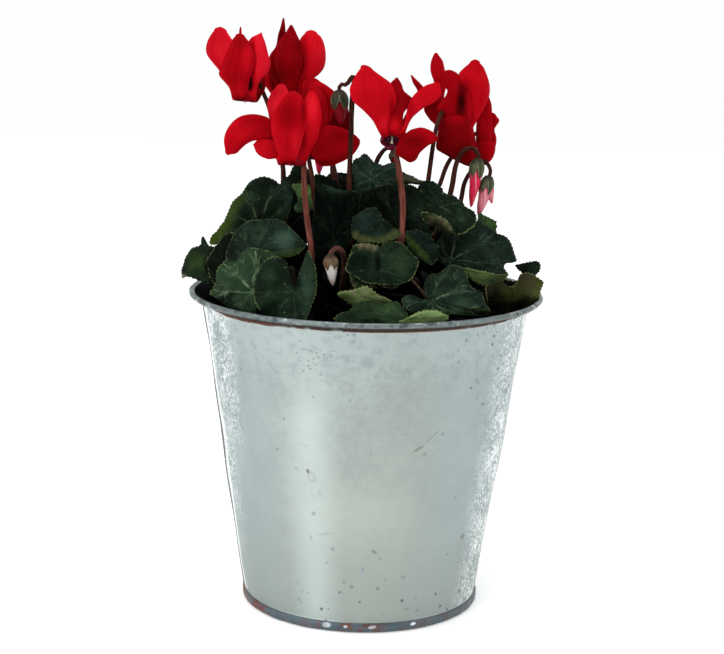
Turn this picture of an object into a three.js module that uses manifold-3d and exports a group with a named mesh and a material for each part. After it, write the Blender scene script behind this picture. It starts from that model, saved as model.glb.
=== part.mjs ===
// A potted cyclamen: reflexed red flowers and buds on hooked stems, a mound of
// rounded marbled leaves, the corm half sunk in its soil, and a tapered
// galvanised pot with a rolled rim and a seamed foot. Millimetres, +Z up, the
// foot stands on z = 0 and the pot's axis is the Z axis.
import * as THREE from 'three';
import { mergeVertices } from 'three/addons/utils/BufferGeometryUtils.js';
import Module from 'manifold-3d';

const wasm = await Module();
wasm.setup();
const { Manifold, Mesh: SolidMesh } = wasm;

// ---- driving dimensions, mm ----
const POT_HEIGHT = 121.2;       // foot to the top of the rim bead
const RIM_RADIUS = 67.5;        // outside of the rim bead
const BEAD_RADIUS = 1.05;       // section of the rolled rim
const WALL_TOP_RADIUS = 62.1;   // outside of the wall just under the rim's flare
const FOOT_RADIUS = 45.8;       // outside of the foot seam
const FOOT_HEIGHT = 3.4;        // height of the foot seam
const SHEET = 0.6;              // thickness of the sheet metal
const BASE_RISE = 2.2;          // underside of the base plate above the table
const POT_SIDES = 40;           // facets round the pot
const SOIL_TOP = 103.0;         // height of the soil
const CORM_RADIUS = 13.0;
const CORM_HALF_HEIGHT = 8.0;
const CORM_CENTRE = 100.0;
const GAP = 0.3;                // clearance kept between neighbouring pieces
const FINEST = 0.12;            // smallest detail left by a cut
const LEAF_THICKNESS = 0.7;
const PETAL_THICKNESS = 0.7;
const CALYX_RADIUS = 2.4;
const TUBE_HEIGHT = 5.0;        // corolla tube, mouth to calyx

// ---- layout of the plant, mm ----
// leaves: where the stalk meets the blade (c), the outline (b), the stalk down to the soil (path)
// flowers: the mouth and its axis, petals as rows of left and right edge points, the stem from the calyx down
const PLANT = {
  leaves: [
    {"name":"leaf_left_rim","c":[-61.4,-8.0,129.4],"b":[[-59.8,-8.3,131.1],[-60.2,-6.5,133.8],[-59.1,-6.2,135.7],[-58.2,-5.8,137.4],[-60.2,-4.1,137.6],[-61.6,-1.9,139.2],[-62.5,-0.4,140.3],[-63.5,0.4,140.3],[-63.8,-0.9,138.2],[-65.1,-0.6,137.0],[-67.9,0.8,135.4],[-69.5,1.1,133.6],[-70.6,1.0,131.6],[-70.9,-0.3,128.7],[-70.3,-2.0,126.3],[-69.6,-3.5,124.4],[-66.5,-5.8,125.1],[-63.6,-8.4,124.8],[-61.5,-10.2,124.4],[-59.9,-11.4,124.5],[-58.9,-11.5,125.9],[-58.8,-10.8,127.7]],"path":[[-61.4,-8.0,129.4],[-51.3,-9.0,121.0],[-40.6,-6.0,117.3],[-31.0,-1.1,115.2],[-24.0,3.4,111.6],[-21.3,5.3,103.4]],"rad":0.95,"tone":0.35,"wave":0.5,"kind":"upper"},
    {"name":"leaf_left_inner","c":[-53.2,-16.0,133.2],"b":[[-51.0,-18.9,127.0],[-49.9,-18.8,129.2],[-48.9,-18.1,133.6],[-48.7,-16.8,138.0],[-48.8,-15.4,141.5],[-50.0,-13.9,143.9],[-52.7,-12.9,142.9],[-55.4,-12.2,140.9],[-57.7,-11.9,138.5],[-59.5,-11.7,135.8],[-60.3,-11.9,133.9],[-60.4,-12.7,131.0],[-59.5,-14.2,127.5],[-56.4,-16.5,124.9],[-52.9,-18.3,125.3]],"path":[[-53.2,-16.0,133.2],[-41.6,-16.1,130.9],[-30.1,-14.7,129.2],[-19.9,-12.5,125.6],[-12.8,-10.6,117.8],[-10.1,-9.8,103.4]],"rad":0.95,"tone":-0.4,"wave":0.5,"kind":"under"},
    {"name":"leaf_upper_left","c":[-40.5,-12.0,146.5],"b":[[-34.7,-14.5,144.7],[-31.5,-12.1,147.8],[-29.5,-8.7,151.5],[-28.6,-4.5,155.6],[-28.7,0.1,159.5],[-29.8,3.3,162.2],[-31.4,4.3,163.0],[-33.3,3.3,162.1],[-34.4,3.1,161.9],[-35.6,4.3,162.7],[-37.2,5.1,163.2],[-39.1,5.7,163.4],[-41.0,5.8,163.2],[-43.3,5.0,162.1],[-45.1,3.8,160.6],[-46.5,2.3,158.9],[-47.9,0.8,157.1],[-49.7,-0.1,155.7],[-51.5,-1.1,153.8],[-52.5,-2.4,152.1],[-53.5,-4.6,149.3],[-54.0,-6.4,146.9],[-55.5,-6.5,145.7],[-57.0,-7.2,143.9],[-58.8,-7.5,142.0],[-59.4,-8.8,139.5],[-54.3,-11.7,139.7],[-49.2,-14.3,139.4],[-44.3,-15.2,140.8],[-39.1,-15.5,142.5]],"path":[[-40.5,-12.0,146.5],[-36.5,-11.4,138.8],[-30.9,-5.5,130.6],[-25.0,2.4,121.9],[-20.5,9.5,112.7],[-18.6,12.5,103.4]],"rad":0.95,"tone":0.05,"wave":0.4,"kind":"upper"},
    {"name":"leaf_left_front_high","c":[-41.0,-31.0,138.1],"b":[[-40.1,-33.2,136.3],[-35.1,-33.5,137.6],[-32.2,-33.3,138.3],[-29.3,-33.6,138.4],[-26.4,-33.0,139.2],[-24.3,-32.0,140.0],[-22.9,-30.9,140.9],[-21.9,-29.3,142.2],[-23.0,-28.1,143.2],[-24.6,-26.6,144.5],[-26.5,-24.6,146.0],[-28.4,-22.5,147.5],[-30.4,-20.2,149.0],[-32.7,-18.2,150.1],[-36.2,-16.8,150.6],[-39.2,-16.2,150.5],[-42.5,-15.7,149.9],[-45.1,-16.1,148.8],[-47.2,-17.0,147.4],[-48.9,-18.8,145.4],[-50.2,-20.9,143.0],[-51.1,-23.1,140.7],[-51.7,-24.9,138.8],[-51.5,-27.0,136.9],[-49.9,-29.1,135.8],[-46.1,-31.1,135.8]],"path":[[-41.0,-31.0,138.1],[-32.5,-30.7,135.5],[-25.1,-27.3,131.5],[-19.3,-22.6,125.3],[-15.4,-18.5,116.1],[-14.0,-16.7,103.4]],"rad":0.95,"tone":0.1,"wave":0.3,"kind":"upper"},
    {"name":"leaf_left_front_low","c":[-40.0,-45.0,127.4],"b":[[-39.4,-43.3,129.6],[-39.0,-39.6,133.7],[-36.2,-38.2,137.2],[-33.4,-37.4,139.9],[-35.4,-34.9,140.7],[-37.7,-32.6,141.0],[-40.4,-30.4,141.0],[-43.0,-28.5,140.7],[-46.1,-26.6,139.9],[-48.3,-26.0,138.7],[-50.5,-26.0,136.8],[-52.3,-27.0,134.3],[-54.1,-27.1,132.4],[-55.1,-28.1,130.3],[-56.1,-29.1,128.2],[-57.5,-29.4,126.4],[-58.5,-30.1,124.4],[-56.0,-33.5,123.5],[-52.6,-30.8,120.4],[-46.8,-38.9,119.5],[-42.1,-44.0,119.1],[-39.1,-46.6,120.1],[-38.7,-48.2,125.1]],"path":[[-40.0,-45.0,127.4],[-37.3,-36.7,122.2],[-33.2,-27.3,118.2],[-28.9,-18.5,114.4],[-25.6,-11.9,109.8],[-24.2,-9.4,103.4]],"rad":0.95,"tone":0.3,"wave":0.4,"kind":"upper"},
    {"name":"leaf_front_left","c":[-25.3,-54.5,129.8],"b":[[-25.9,-53.4,131.7],[-26.5,-52.0,134.0],[-27.4,-50.3,136.5],[-28.5,-48.4,139.0],[-30.4,-47.2,140.4],[-32.6,-46.4,140.8],[-35.4,-46.5,139.7],[-37.8,-47.2,137.6],[-39.1,-48.5,134.9],[-40.1,-49.7,132.2],[-40.3,-51.1,129.5],[-39.5,-52.8,126.6],[-37.9,-54.6,123.8],[-36.0,-51.2,119.9],[-31.9,-53.7,118.0],[-26.5,-56.6,117.6],[-22.5,-58.2,118.4],[-20.8,-59.0,120.7],[-19.8,-57.7,124.1],[-18.5,-56.6,126.7],[-17.5,-55.5,129.1],[-17.3,-53.7,132.3],[-17.9,-51.8,135.5],[-18.6,-49.9,138.4],[-19.7,-48.1,141.0],[-20.9,-46.5,143.0],[-21.9,-47.8,141.2],[-22.8,-49.3,139.0],[-23.8,-51.1,136.0],[-24.7,-53.1,132.4]],"path":[[-25.3,-54.5,129.8],[-25.4,-53.5,133.2],[-26.1,-50.0,137.2],[-30.4,-35.9,127.3],[-28.2,-20.2,121.6],[-22.7,-5.7,117.5],[-17.1,5.0,112.3],[-14.5,9.2,103.4]],"rad":0.95,"tone":0.05,"wave":0.35,"kind":"upper"},
    {"name":"leaf_centre_left_deep","c":[-12.2,-22.0,144.1],"b":[[-8.4,-23.8,139.6],[-6.3,-22.3,142.4],[-4.6,-19.8,146.9],[-3.6,-16.9,151.7],[-3.0,-13.7,156.5],[-4.2,-11.7,159.6],[-6.8,-11.4,160.5],[-9.8,-11.6,160.6],[-12.0,-11.4,161.1],[-14.3,-10.9,161.9],[-16.5,-10.7,162.2],[-18.8,-10.8,162.0],[-19.8,-11.9,160.4],[-20.0,-14.3,157.0],[-19.9,-16.6,153.6],[-20.2,-18.7,150.1],[-20.4,-20.6,146.7],[-20.1,-22.4,143.2],[-20.2,-24.0,139.7],[-19.0,-24.9,137.7],[-15.3,-25.2,137.1],[-10.6,-24.8,137.8]],"path":[[-12.2,-22.0,144.1],[-11.6,-22.1,138.9],[-11.6,-20.2,131.5],[-12.0,-17.3,122.6],[-12.5,-14.7,113.0],[-12.7,-13.5,103.4]],"rad":0.95,"tone":-0.45,"wave":0.5,"kind":"upper"},
    {"name":"leaf_behind_stems_right","c":[-15.2,-1.0,159.2],"b":[[-11.3,-3.6,155.1],[-8.3,-2.5,156.5],[-8.4,-1.0,159.0],[-10.3,-0.6,159.7],[-11.5,0.5,161.4],[-13.1,1.4,162.8],[-15.4,2.4,164.1],[-17.7,2.9,164.8],[-20.0,3.3,165.1],[-21.1,2.4,163.8],[-21.7,0.6,161.1],[-22.0,-1.2,158.3],[-20.4,-3.1,155.6],[-16.2,-3.6,155.0]],"path":[[-15.2,-1.0,159.2],[-14.5,0.0,141.7],[-13.5,3.6,130.1],[-12.4,8.2,121.6],[-11.5,12.1,113.6],[-11.2,13.8,103.4]],"rad":0.95,"tone":-0.15,"wave":0.5,"kind":"upper"},
    {"name":"leaf_behind_stems_left","c":[-27.8,9.5,159.2],"b":[[-23.8,4.7,151.0],[-22.2,7.0,155.0],[-21.6,9.7,159.3],[-22.1,11.6,162.2],[-23.0,13.3,164.7],[-24.2,14.0,165.7],[-25.4,14.7,166.8],[-27.0,15.2,167.5],[-28.9,14.8,166.9],[-30.0,13.4,164.9],[-30.6,12.2,163.1],[-31.8,11.5,162.0],[-31.3,10.3,160.2],[-30.6,8.6,157.7],[-30.6,6.9,154.8],[-30.9,4.9,151.2],[-29.1,3.5,148.8],[-26.2,3.5,148.8]],"path":[[-27.8,9.5,159.2],[-27.3,6.2,157.0],[-24.8,1.0,150.9],[-21.5,-4.6,140.3],[-18.7,-9.0,124.6],[-17.5,-10.9,103.4]],"rad":0.95,"tone":-0.1,"wave":0.5,"kind":"upper"},
    {"name":"leaf_young_bright","c":[-25.3,-4.0,155.6],"b":[[-24.3,-6.4,151.0],[-21.7,-5.7,151.7],[-19.9,-4.7,153.1],[-19.6,-3.2,156.0],[-20.9,-1.9,158.4],[-21.7,-0.8,160.6],[-22.9,-0.4,161.6],[-24.7,-0.5,161.8],[-27.0,-0.8,161.6],[-29.0,-1.3,161.0],[-27.6,-2.5,158.7],[-26.4,-3.7,156.3],[-26.4,-4.7,154.5],[-27.8,-5.6,153.1],[-26.6,-6.4,151.3]],"path":[[-25.3,-4.0,155.6],[-20.7,-1.6,151.4],[-16.9,3.9,141.5],[-14.1,10.4,128.5],[-12.3,15.9,115.0],[-11.7,18.2,103.4]],"rad":0.8,"tone":1.0,"wave":0.3,"kind":"upper"},
    {"name":"leaf_top_centre","c":[0.9,-3.0,163.6],"b":[[0.6,-6.4,160.2],[4.4,-5.5,160.9],[8.1,-4.0,162.0],[11.1,-2.7,162.9],[13.8,-1.7,163.4],[16.4,-0.8,163.8],[19.5,-0.2,163.6],[22.5,0.6,163.5],[21.4,1.1,164.3],[18.7,1.1,165.0],[16.4,1.3,165.7],[14.9,0.9,165.7],[13.0,1.1,166.2],[11.8,2.1,167.4],[9.9,4.4,169.8],[8.0,4.5,170.1],[5.7,3.5,169.4],[3.4,3.8,169.9],[1.5,3.9,170.1],[-0.0,5.3,171.4],[-1.2,6.7,172.6],[-2.5,6.8,172.7],[-3.8,5.3,171.3],[-5.3,4.5,170.6],[-6.4,3.4,169.5],[-7.1,2.3,168.5],[-6.7,-0.2,166.1],[-5.4,-3.8,162.8],[-4.6,-6.6,159.9],[-2.3,-6.8,159.8]],"path":[[0.9,-3.0,163.6],[5.5,1.6,157.1],[11.9,3.5,145.5],[18.5,3.7,131.2],[23.7,3.1,116.4],[25.8,2.7,103.4]],"rad":0.95,"tone":0.15,"wave":1.1,"kind":"upper"},
    {"name":"leaf_centre_dark","c":[11.2,-24.0,149.3],"b":[[16.3,-30.6,143.1],[22.1,-30.8,145.0],[25.3,-29.1,148.2],[25.0,-26.4,151.5],[23.9,-24.2,153.7],[22.8,-22.3,155.6],[22.1,-20.4,157.6],[21.7,-18.8,159.2],[20.8,-17.1,160.9],[19.1,-15.8,161.8],[16.9,-14.0,163.0],[14.7,-12.4,163.9],[11.7,-11.4,163.9],[8.8,-10.9,163.2],[4.3,-10.2,162.1],[0.6,-9.0,161.5],[-2.3,-8.9,160.1],[-3.3,-12.1,156.0],[-2.5,-16.7,151.0],[0.2,-21.6,146.5],[4.7,-25.9,143.5],[10.2,-28.8,142.6]],"path":[[11.2,-24.0,149.3],[10.5,-24.2,142.5],[10.0,-23.0,135.6],[9.6,-21.3,127.5],[9.3,-19.7,117.1],[9.3,-19.0,103.4]],"rad":0.95,"tone":-0.3,"wave":0.5,"kind":"upper"},
    {"name":"leaf_centre_grey","c":[-0.9,-32.0,150.2],"b":[[3.2,-37.6,144.7],[7.5,-37.1,145.7],[11.4,-36.0,147.1],[12.1,-34.5,148.7],[8.9,-33.3,149.9],[5.9,-31.0,152.0],[4.1,-28.4,154.6],[2.6,-26.3,156.4],[0.0,-25.8,156.7],[-2.5,-26.1,155.9],[-3.9,-27.3,154.6],[-5.0,-29.0,152.6],[-5.6,-31.1,150.3],[-5.7,-33.2,148.1],[-4.4,-35.5,145.9],[-1.8,-36.7,145.0]],"path":[[-0.9,-32.0,150.2],[-1.8,-24.4,141.6],[-5.6,-17.2,136.3],[-10.6,-11.2,130.7],[-14.9,-7.0,120.9],[-16.8,-5.5,103.4]],"rad":0.95,"tone":0.2,"wave":0.5,"kind":"upper"},
    {"name":"leaf_centre_right_small","c":[18.6,-40.0,143.8],"b":[[19.0,-43.5,140.0],[21.5,-44.0,138.9],[23.7,-43.3,139.0],[25.3,-41.4,140.6],[25.5,-39.2,142.8],[24.8,-37.6,144.7],[23.0,-36.2,146.6],[21.2,-35.0,148.2],[19.3,-34.4,149.2],[17.5,-34.3,149.7],[15.4,-34.9,149.5],[14.3,-35.6,149.0],[13.9,-37.1,147.6],[15.0,-39.8,144.8],[16.8,-41.9,142.3]],"path":[[18.6,-40.0,143.8],[16.2,-39.1,139.5],[11.9,-33.6,131.6],[7.1,-26.4,121.8],[3.3,-20.0,111.8],[1.7,-17.3,103.4]],"rad":0.95,"tone":0.1,"wave":0.5,"kind":"upper"},
    {"name":"leaf_front_centre","c":[4.4,-51.0,137.0],"b":[[3.3,-47.2,140.6],[2.2,-45.7,142.0],[0.4,-44.6,142.9],[-2.1,-44.0,143.2],[-4.2,-44.1,142.9],[-6.0,-45.3,141.6],[-7.0,-47.5,139.4],[-7.3,-49.4,137.5],[-6.1,-51.1,136.1],[-4.0,-52.3,135.2],[-1.5,-53.4,134.4],[1.3,-54.0,133.9],[4.1,-54.2,133.6],[7.0,-54.3,133.3],[9.4,-54.3,133.0],[11.9,-53.6,133.3],[14.7,-52.2,134.0],[16.5,-50.7,135.1],[17.9,-48.5,136.9],[18.3,-46.5,138.7],[17.5,-44.7,140.6],[16.5,-43.0,142.4],[15.0,-41.2,144.3],[13.2,-40.4,145.4],[11.1,-40.2,145.9],[8.9,-40.4,146.0],[6.8,-41.2,145.6],[5.0,-42.5,144.6],[3.9,-44.2,143.2],[3.8,-46.1,141.6],[4.0,-48.5,139.4]],"path":[[4.4,-51.0,137.0],[4.5,-51.0,133.8],[5.3,-49.5,129.2],[12.4,-45.1,126.9],[14.9,-36.8,125.1],[14.6,-27.4,121.9],[13.2,-19.6,115.3],[12.4,-16.5,103.4]],"rad":0.95,"tone":0.25,"wave":0.3,"kind":"upper"},
    {"name":"leaf_front_centre_lower","c":[2.3,-44.0,136.5],"b":[[-2.9,-47.7,129.6],[-0.7,-47.5,129.8],[1.4,-47.5,129.7],[3.5,-47.2,130.0],[6.4,-46.9,130.4],[9.6,-46.7,130.4],[11.7,-46.1,131.3],[12.7,-45.0,133.3],[11.6,-43.5,136.3],[9.4,-42.0,139.6],[6.8,-40.4,142.9],[4.7,-39.8,144.2],[2.5,-39.6,144.7],[-0.0,-39.5,145.0],[-2.2,-39.6,145.1],[-4.5,-40.0,144.4],[-6.0,-41.7,141.4],[-7.0,-43.1,138.7],[-7.7,-44.3,136.5],[-6.6,-44.7,135.7],[-5.8,-45.7,133.7],[-5.4,-46.7,131.7],[-4.3,-47.3,130.4]],"path":[[2.3,-44.0,136.5],[-0.5,-39.7,133.3],[-0.5,-35.0,128.4],[1.1,-30.8,121.8],[3.0,-27.7,113.5],[3.9,-26.5,103.4]],"rad":0.95,"tone":0.2,"wave":0.5,"kind":"upper"},
    {"name":"leaf_front_curl","c":[0.0,-54.0,128.1],"b":[[-9.5,-53.7,127.8],[-7.0,-52.9,125.6],[-3.0,-52.1,123.4],[1.6,-51.8,122.7],[5.8,-51.7,122.8],[9.7,-51.8,123.6],[11.0,-52.5,125.6],[9.2,-53.1,126.7],[7.1,-53.5,127.5],[5.0,-53.9,128.2],[2.8,-54.7,130.1],[1.0,-55.2,131.2],[-0.7,-55.3,131.6],[-3.2,-55.2,131.2],[-4.9,-55.0,130.7],[-7.4,-54.8,130.4],[-9.8,-54.4,129.6]],"path":[[0.0,-54.0,128.1],[-2.9,-48.2,123.9],[-5.3,-40.7,122.4],[-7.1,-33.3,120.5],[-8.2,-27.5,115.1],[-8.6,-25.2,103.4]],"rad":0.95,"tone":0.7,"wave":0.25,"kind":"under"},
    {"name":"leaf_front_low","c":[2.3,-61.0,122.7],"b":[[-0.1,-62.4,118.9],[5.2,-62.2,118.9],[10.0,-61.8,119.5],[13.5,-61.1,120.5],[15.2,-60.7,122.1],[14.7,-59.9,123.5],[13.8,-58.6,124.6],[12.4,-57.3,125.8],[11.0,-56.3,126.6],[8.5,-56.0,126.9],[6.4,-56.6,126.4],[4.3,-55.9,127.0],[1.5,-55.6,127.2],[-2.0,-56.4,126.4],[-4.4,-57.1,125.7],[-5.5,-58.1,124.8],[-7.9,-58.7,124.2],[-9.6,-60.0,123.0],[-10.9,-61.4,121.1],[-8.5,-61.9,119.8],[-4.6,-62.3,119.3]],"path":[[2.3,-61.0,122.7],[1.5,-51.7,116.7],[-0.2,-39.6,114.0],[-2.1,-27.3,112.4],[-3.7,-17.9,109.5],[-4.4,-14.1,103.4]],"rad":0.95,"tone":0.35,"wave":0.3,"kind":"upper"},
    {"name":"leaf_on_rim","c":[20.5,-59.8,121.8],"b":[[12.9,-60.5,118.9],[17.5,-58.9,118.0],[22.8,-57.7,118.2],[26.3,-57.3,119.3],[28.4,-56.4,120.6],[29.2,-56.0,122.2],[27.5,-59.0,123.6],[25.7,-59.8,124.4],[23.5,-60.6,124.8],[20.7,-61.2,124.6],[18.3,-61.6,124.1],[15.9,-61.8,123.2],[13.5,-61.6,122.0],[11.0,-61.8,120.8]],"path":[[20.5,-59.8,121.8],[18.5,-52.8,122.8],[15.5,-43.1,122.8],[12.3,-33.1,120.3],[9.9,-25.3,114.3],[8.9,-22.1,103.4]],"rad":0.95,"tone":0.9,"wave":0.25,"kind":"under"},
    {"name":"leaf_front_right","c":[22.9,-55.0,127.4],"b":[[19.0,-55.2,128.8],[15.8,-55.6,129.5],[13.4,-57.5,128.7],[12.1,-58.9,127.9],[12.7,-60.6,126.3],[14.8,-61.1,125.2],[19.0,-60.2,124.5],[23.6,-58.7,123.9],[28.3,-56.9,123.2],[34.3,-50.0,121.6],[40.3,-45.2,120.5],[43.9,-41.7,120.5],[44.6,-46.2,122.8],[43.7,-45.0,124.6],[43.0,-43.4,126.4],[42.4,-41.4,128.6],[40.2,-41.3,130.0],[38.7,-40.8,131.3],[37.6,-39.9,132.6],[36.6,-37.9,134.8],[35.1,-37.1,136.1],[33.3,-37.0,137.1],[30.7,-38.3,137.3],[28.5,-40.2,136.8],[26.3,-42.8,135.8],[24.1,-43.9,135.8],[22.6,-45.6,135.1],[21.6,-47.6,133.9],[21.0,-50.1,132.2],[21.2,-52.2,130.4],[21.7,-54.1,128.6]],"path":[[22.9,-55.0,127.4],[19.3,-53.5,131.0],[15.8,-49.8,134.2],[13.3,-46.0,136.7],[18.3,-40.0,131.9],[19.2,-30.7,129.2],[17.8,-20.6,125.6],[15.7,-12.6,118.0],[14.6,-9.3,103.4]],"rad":0.62,"tone":0.1,"wave":0.4,"kind":"upper"},
    {"name":"leaf_right_strip","c":[42.7,-34.0,132.8],"b":[[38.7,-34.2,130.9],[42.9,-32.9,129.3],[46.9,-32.2,129.6],[50.5,-31.8,131.1],[51.9,-32.1,133.2],[49.7,-32.6,133.1],[46.7,-33.4,133.5],[44.1,-34.1,134.3],[41.1,-35.0,135.1],[38.5,-35.7,135.7],[36.3,-36.3,136.4],[34.8,-36.5,136.4]],"path":[[42.7,-34.0,132.8],[35.2,-30.5,127.4],[28.6,-26.0,123.8],[23.3,-21.5,119.8],[19.9,-18.0,113.7],[18.6,-16.6,103.4]],"rad":0.8,"tone":0.8,"wave":0.2,"kind":"under"},
    {"name":"leaf_right_rim","c":[55.1,-19.0,122.2],"b":[[51.9,-20.9,116.4],[56.2,-17.4,116.3],[61.8,-13.1,117.5],[64.9,-10.8,119.4],[65.8,-10.3,121.6],[65.9,-10.5,124.0],[66.4,-10.2,125.8],[66.5,-10.3,127.4],[65.2,-11.4,128.7],[63.6,-12.9,130.1],[61.5,-14.7,131.3],[59.9,-16.1,131.5],[58.3,-17.3,131.3],[57.5,-17.9,130.4],[56.8,-18.3,128.5],[55.3,-19.4,127.6],[53.7,-20.7,127.2],[52.1,-22.0,127.8],[50.5,-23.5,129.1],[48.9,-24.8,129.7],[46.9,-26.4,129.7],[45.4,-27.6,129.3],[44.3,-28.3,128.2],[44.0,-28.3,125.5],[44.5,-27.5,122.4],[46.2,-25.8,119.5],[48.7,-23.6,117.7]],"path":[[55.1,-19.0,122.2],[50.3,-17.6,124.1],[42.5,-15.4,122.8],[34.2,-13.2,118.6],[27.5,-11.4,112.0],[24.8,-10.7,103.4]],"rad":0.95,"tone":0.2,"wave":0.3,"kind":"olive"},
    {"name":"leaf_far_right","c":[63.5,14.0,128.0],"b":[[59.3,11.7,128.2],[60.5,12.6,127.0],[62.3,13.8,125.8],[64.0,15.0,124.9],[66.4,16.2,125.3],[67.7,16.6,126.7],[68.3,16.5,128.5],[67.9,15.9,130.2],[66.4,14.9,131.0],[64.4,13.8,130.7],[62.0,12.6,130.3],[60.0,11.6,129.9],[58.6,10.9,129.7]],"path":[[63.5,14.0,128.0],[60.2,7.9,124.6],[49.8,3.7,123.4],[36.8,1.1,121.5],[25.7,-0.2,115.8],[21.0,-0.6,103.4]],"rad":0.8,"tone":-0.1,"wave":0.15,"kind":"upper"},
    {"name":"leaf_right","c":[30.3,-31.5,138.0],"b":[[33.2,-32.8,135.3],[37.7,-30.7,134.7],[41.5,-28.9,133.9],[45.3,-27.3,132.8],[48.3,-26.0,131.7],[51.5,-23.9,131.3],[52.7,-21.7,132.4],[51.2,-20.6,134.8],[52.4,-18.2,136.2],[55.2,-15.6,136.4],[57.1,-13.1,137.1],[56.2,-11.8,139.2],[55.1,-10.8,140.9],[53.5,-10.1,142.7],[51.2,-9.9,144.5],[48.9,-10.0,145.9],[47.4,-9.6,147.2],[45.1,-9.7,148.4],[42.8,-10.3,149.2],[40.1,-11.3,149.9],[36.2,-13.9,149.8],[32.4,-17.3,148.9],[29.4,-19.9,148.0],[27.1,-23.7,145.9],[25.5,-27.8,143.2],[25.1,-31.6,140.1],[26.6,-33.8,137.6],[29.1,-34.4,135.9]],"path":[[30.3,-31.5,138.0],[30.7,-28.8,137.9],[28.4,-22.8,133.3],[24.7,-15.6,125.2],[21.4,-9.7,114.8],[19.9,-7.2,103.4]],"rad":0.95,"tone":0.05,"wave":0.5,"kind":"upper"},
    {"name":"leaf_upper_right","c":[26.5,-20.0,156.5],"b":[[26.1,-22.8,153.4],[27.6,-23.4,152.8],[29.1,-24.6,151.3],[30.2,-25.9,149.7],[31.2,-26.9,148.4],[33.1,-27.4,147.4],[35.3,-27.3,147.2],[36.8,-26.5,148.1],[38.6,-25.4,149.0],[39.7,-23.6,151.0],[39.9,-21.9,153.0],[39.0,-20.6,154.7],[37.2,-19.7,156.0],[35.6,-19.1,157.0],[35.0,-17.9,158.3],[33.2,-17.1,159.3],[31.7,-16.0,160.6],[29.1,-15.9,160.7],[26.5,-16.2,160.5],[23.9,-16.8,159.8],[21.7,-17.1,159.2],[22.1,-18.9,157.4],[23.0,-20.8,155.5],[24.3,-22.5,153.7]],"path":[[26.5,-20.0,156.5],[20.4,-18.0,148.5],[14.8,-16.9,141.5],[10.1,-16.5,133.3],[7.0,-16.5,121.4],[5.8,-16.5,103.4]],"rad":0.95,"tone":0.05,"wave":0.4,"kind":"upper"},
    {"name":"leaf_folded_right","c":[25.4,-33.0,152.8],"b":[[20.0,-34.3,153.2],[21.5,-33.5,152.0],[23.7,-32.8,151.4],[25.9,-31.9,150.4],[27.8,-30.9,149.0],[29.3,-30.0,147.8],[30.9,-29.8,148.0],[30.7,-30.6,149.8],[29.7,-31.7,151.7],[28.1,-32.8,153.5],[26.1,-33.7,154.7],[23.9,-34.4,155.2],[21.7,-34.8,155.1],[19.5,-34.9,154.5]],"path":[[25.4,-33.0,152.8],[22.8,-29.0,149.2],[23.2,-24.6,141.6],[20.1,-20.5,134.5],[15.6,-17.1,126.6],[11.5,-14.7,116.7],[9.7,-13.8,103.4]],"rad":0.8,"tone":0.45,"wave":0.2,"kind":"under"},
    {"name":"leaf_right_top_small","c":[23.9,-8.0,160.2],"b":[[24.2,-12.1,155.5],[27.2,-10.6,156.4],[27.6,-8.4,158.8],[28.1,-6.4,160.8],[27.3,-5.7,161.9],[25.7,-5.1,162.9],[23.5,-5.0,163.5],[21.2,-5.0,164.0],[19.7,-6.0,163.2],[18.6,-7.6,161.7],[19.0,-9.8,159.2],[21.2,-11.5,156.8]],"path":[[23.9,-8.0,160.2],[23.0,-11.6,147.8],[20.0,-12.0,135.9],[16.2,-10.6,124.5],[13.0,-8.8,113.7],[11.6,-8.0,103.4]],"rad":0.95,"tone":-0.1,"wave":0.5,"kind":"upper"},
    {"name":"leaf_right_back_small","c":[44.5,-8.0,147.8],"b":[[41.0,-11.2,144.4],[43.7,-11.6,142.6],[47.1,-10.3,142.9],[48.7,-8.0,145.6],[48.5,-6.5,148.1],[47.4,-5.7,149.8],[45.3,-5.8,150.7],[43.8,-5.6,151.6],[42.2,-5.5,152.5],[41.1,-7.4,150.3],[40.7,-9.6,147.2]],"path":[[44.5,-8.0,147.8],[36.4,-3.3,137.3],[26.3,4.1,131.4],[16.3,12.1,126.4],[8.7,18.4,118.3],[5.7,21.0,103.4]],"rad":0.95,"tone":0.6,"wave":0.5,"kind":"upper"},
    {"name":"leaf_back_right_low","c":[39.0,18.2,134.0],"b":[[38.0,18.5,134.5],[33.9,18.0,137.2],[29.1,19.2,139.3],[25.8,22.7,139.3],[25.4,27.2,137.2],[28.3,31.6,133.3],[32.9,34.6,128.6],[38.1,35.1,124.7],[43.6,33.6,121.3],[48.9,30.2,118.9],[53.0,26.2,117.5],[54.9,23.5,117.1],[55.7,20.4,118.2],[55.9,15.2,120.8],[54.8,9.4,124.3],[52.0,5.1,128.4],[47.9,2.3,132.6],[42.3,1.6,137.0],[36.7,3.0,140.2],[33.3,6.5,141.3],[32.9,11.2,140.3],[35.3,15.1,137.6],[38.5,17.3,134.7]],"path":[[39.0,18.2,134.0],[36.6,11.6,131.1],[31.4,6.0,128.1],[25.2,1.5,123.5],[20.0,-1.4,115.8],[17.9,-2.4,103.4]],"rad":0.95,"tone":0.1,"wave":0.6,"kind":"upper"},
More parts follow.
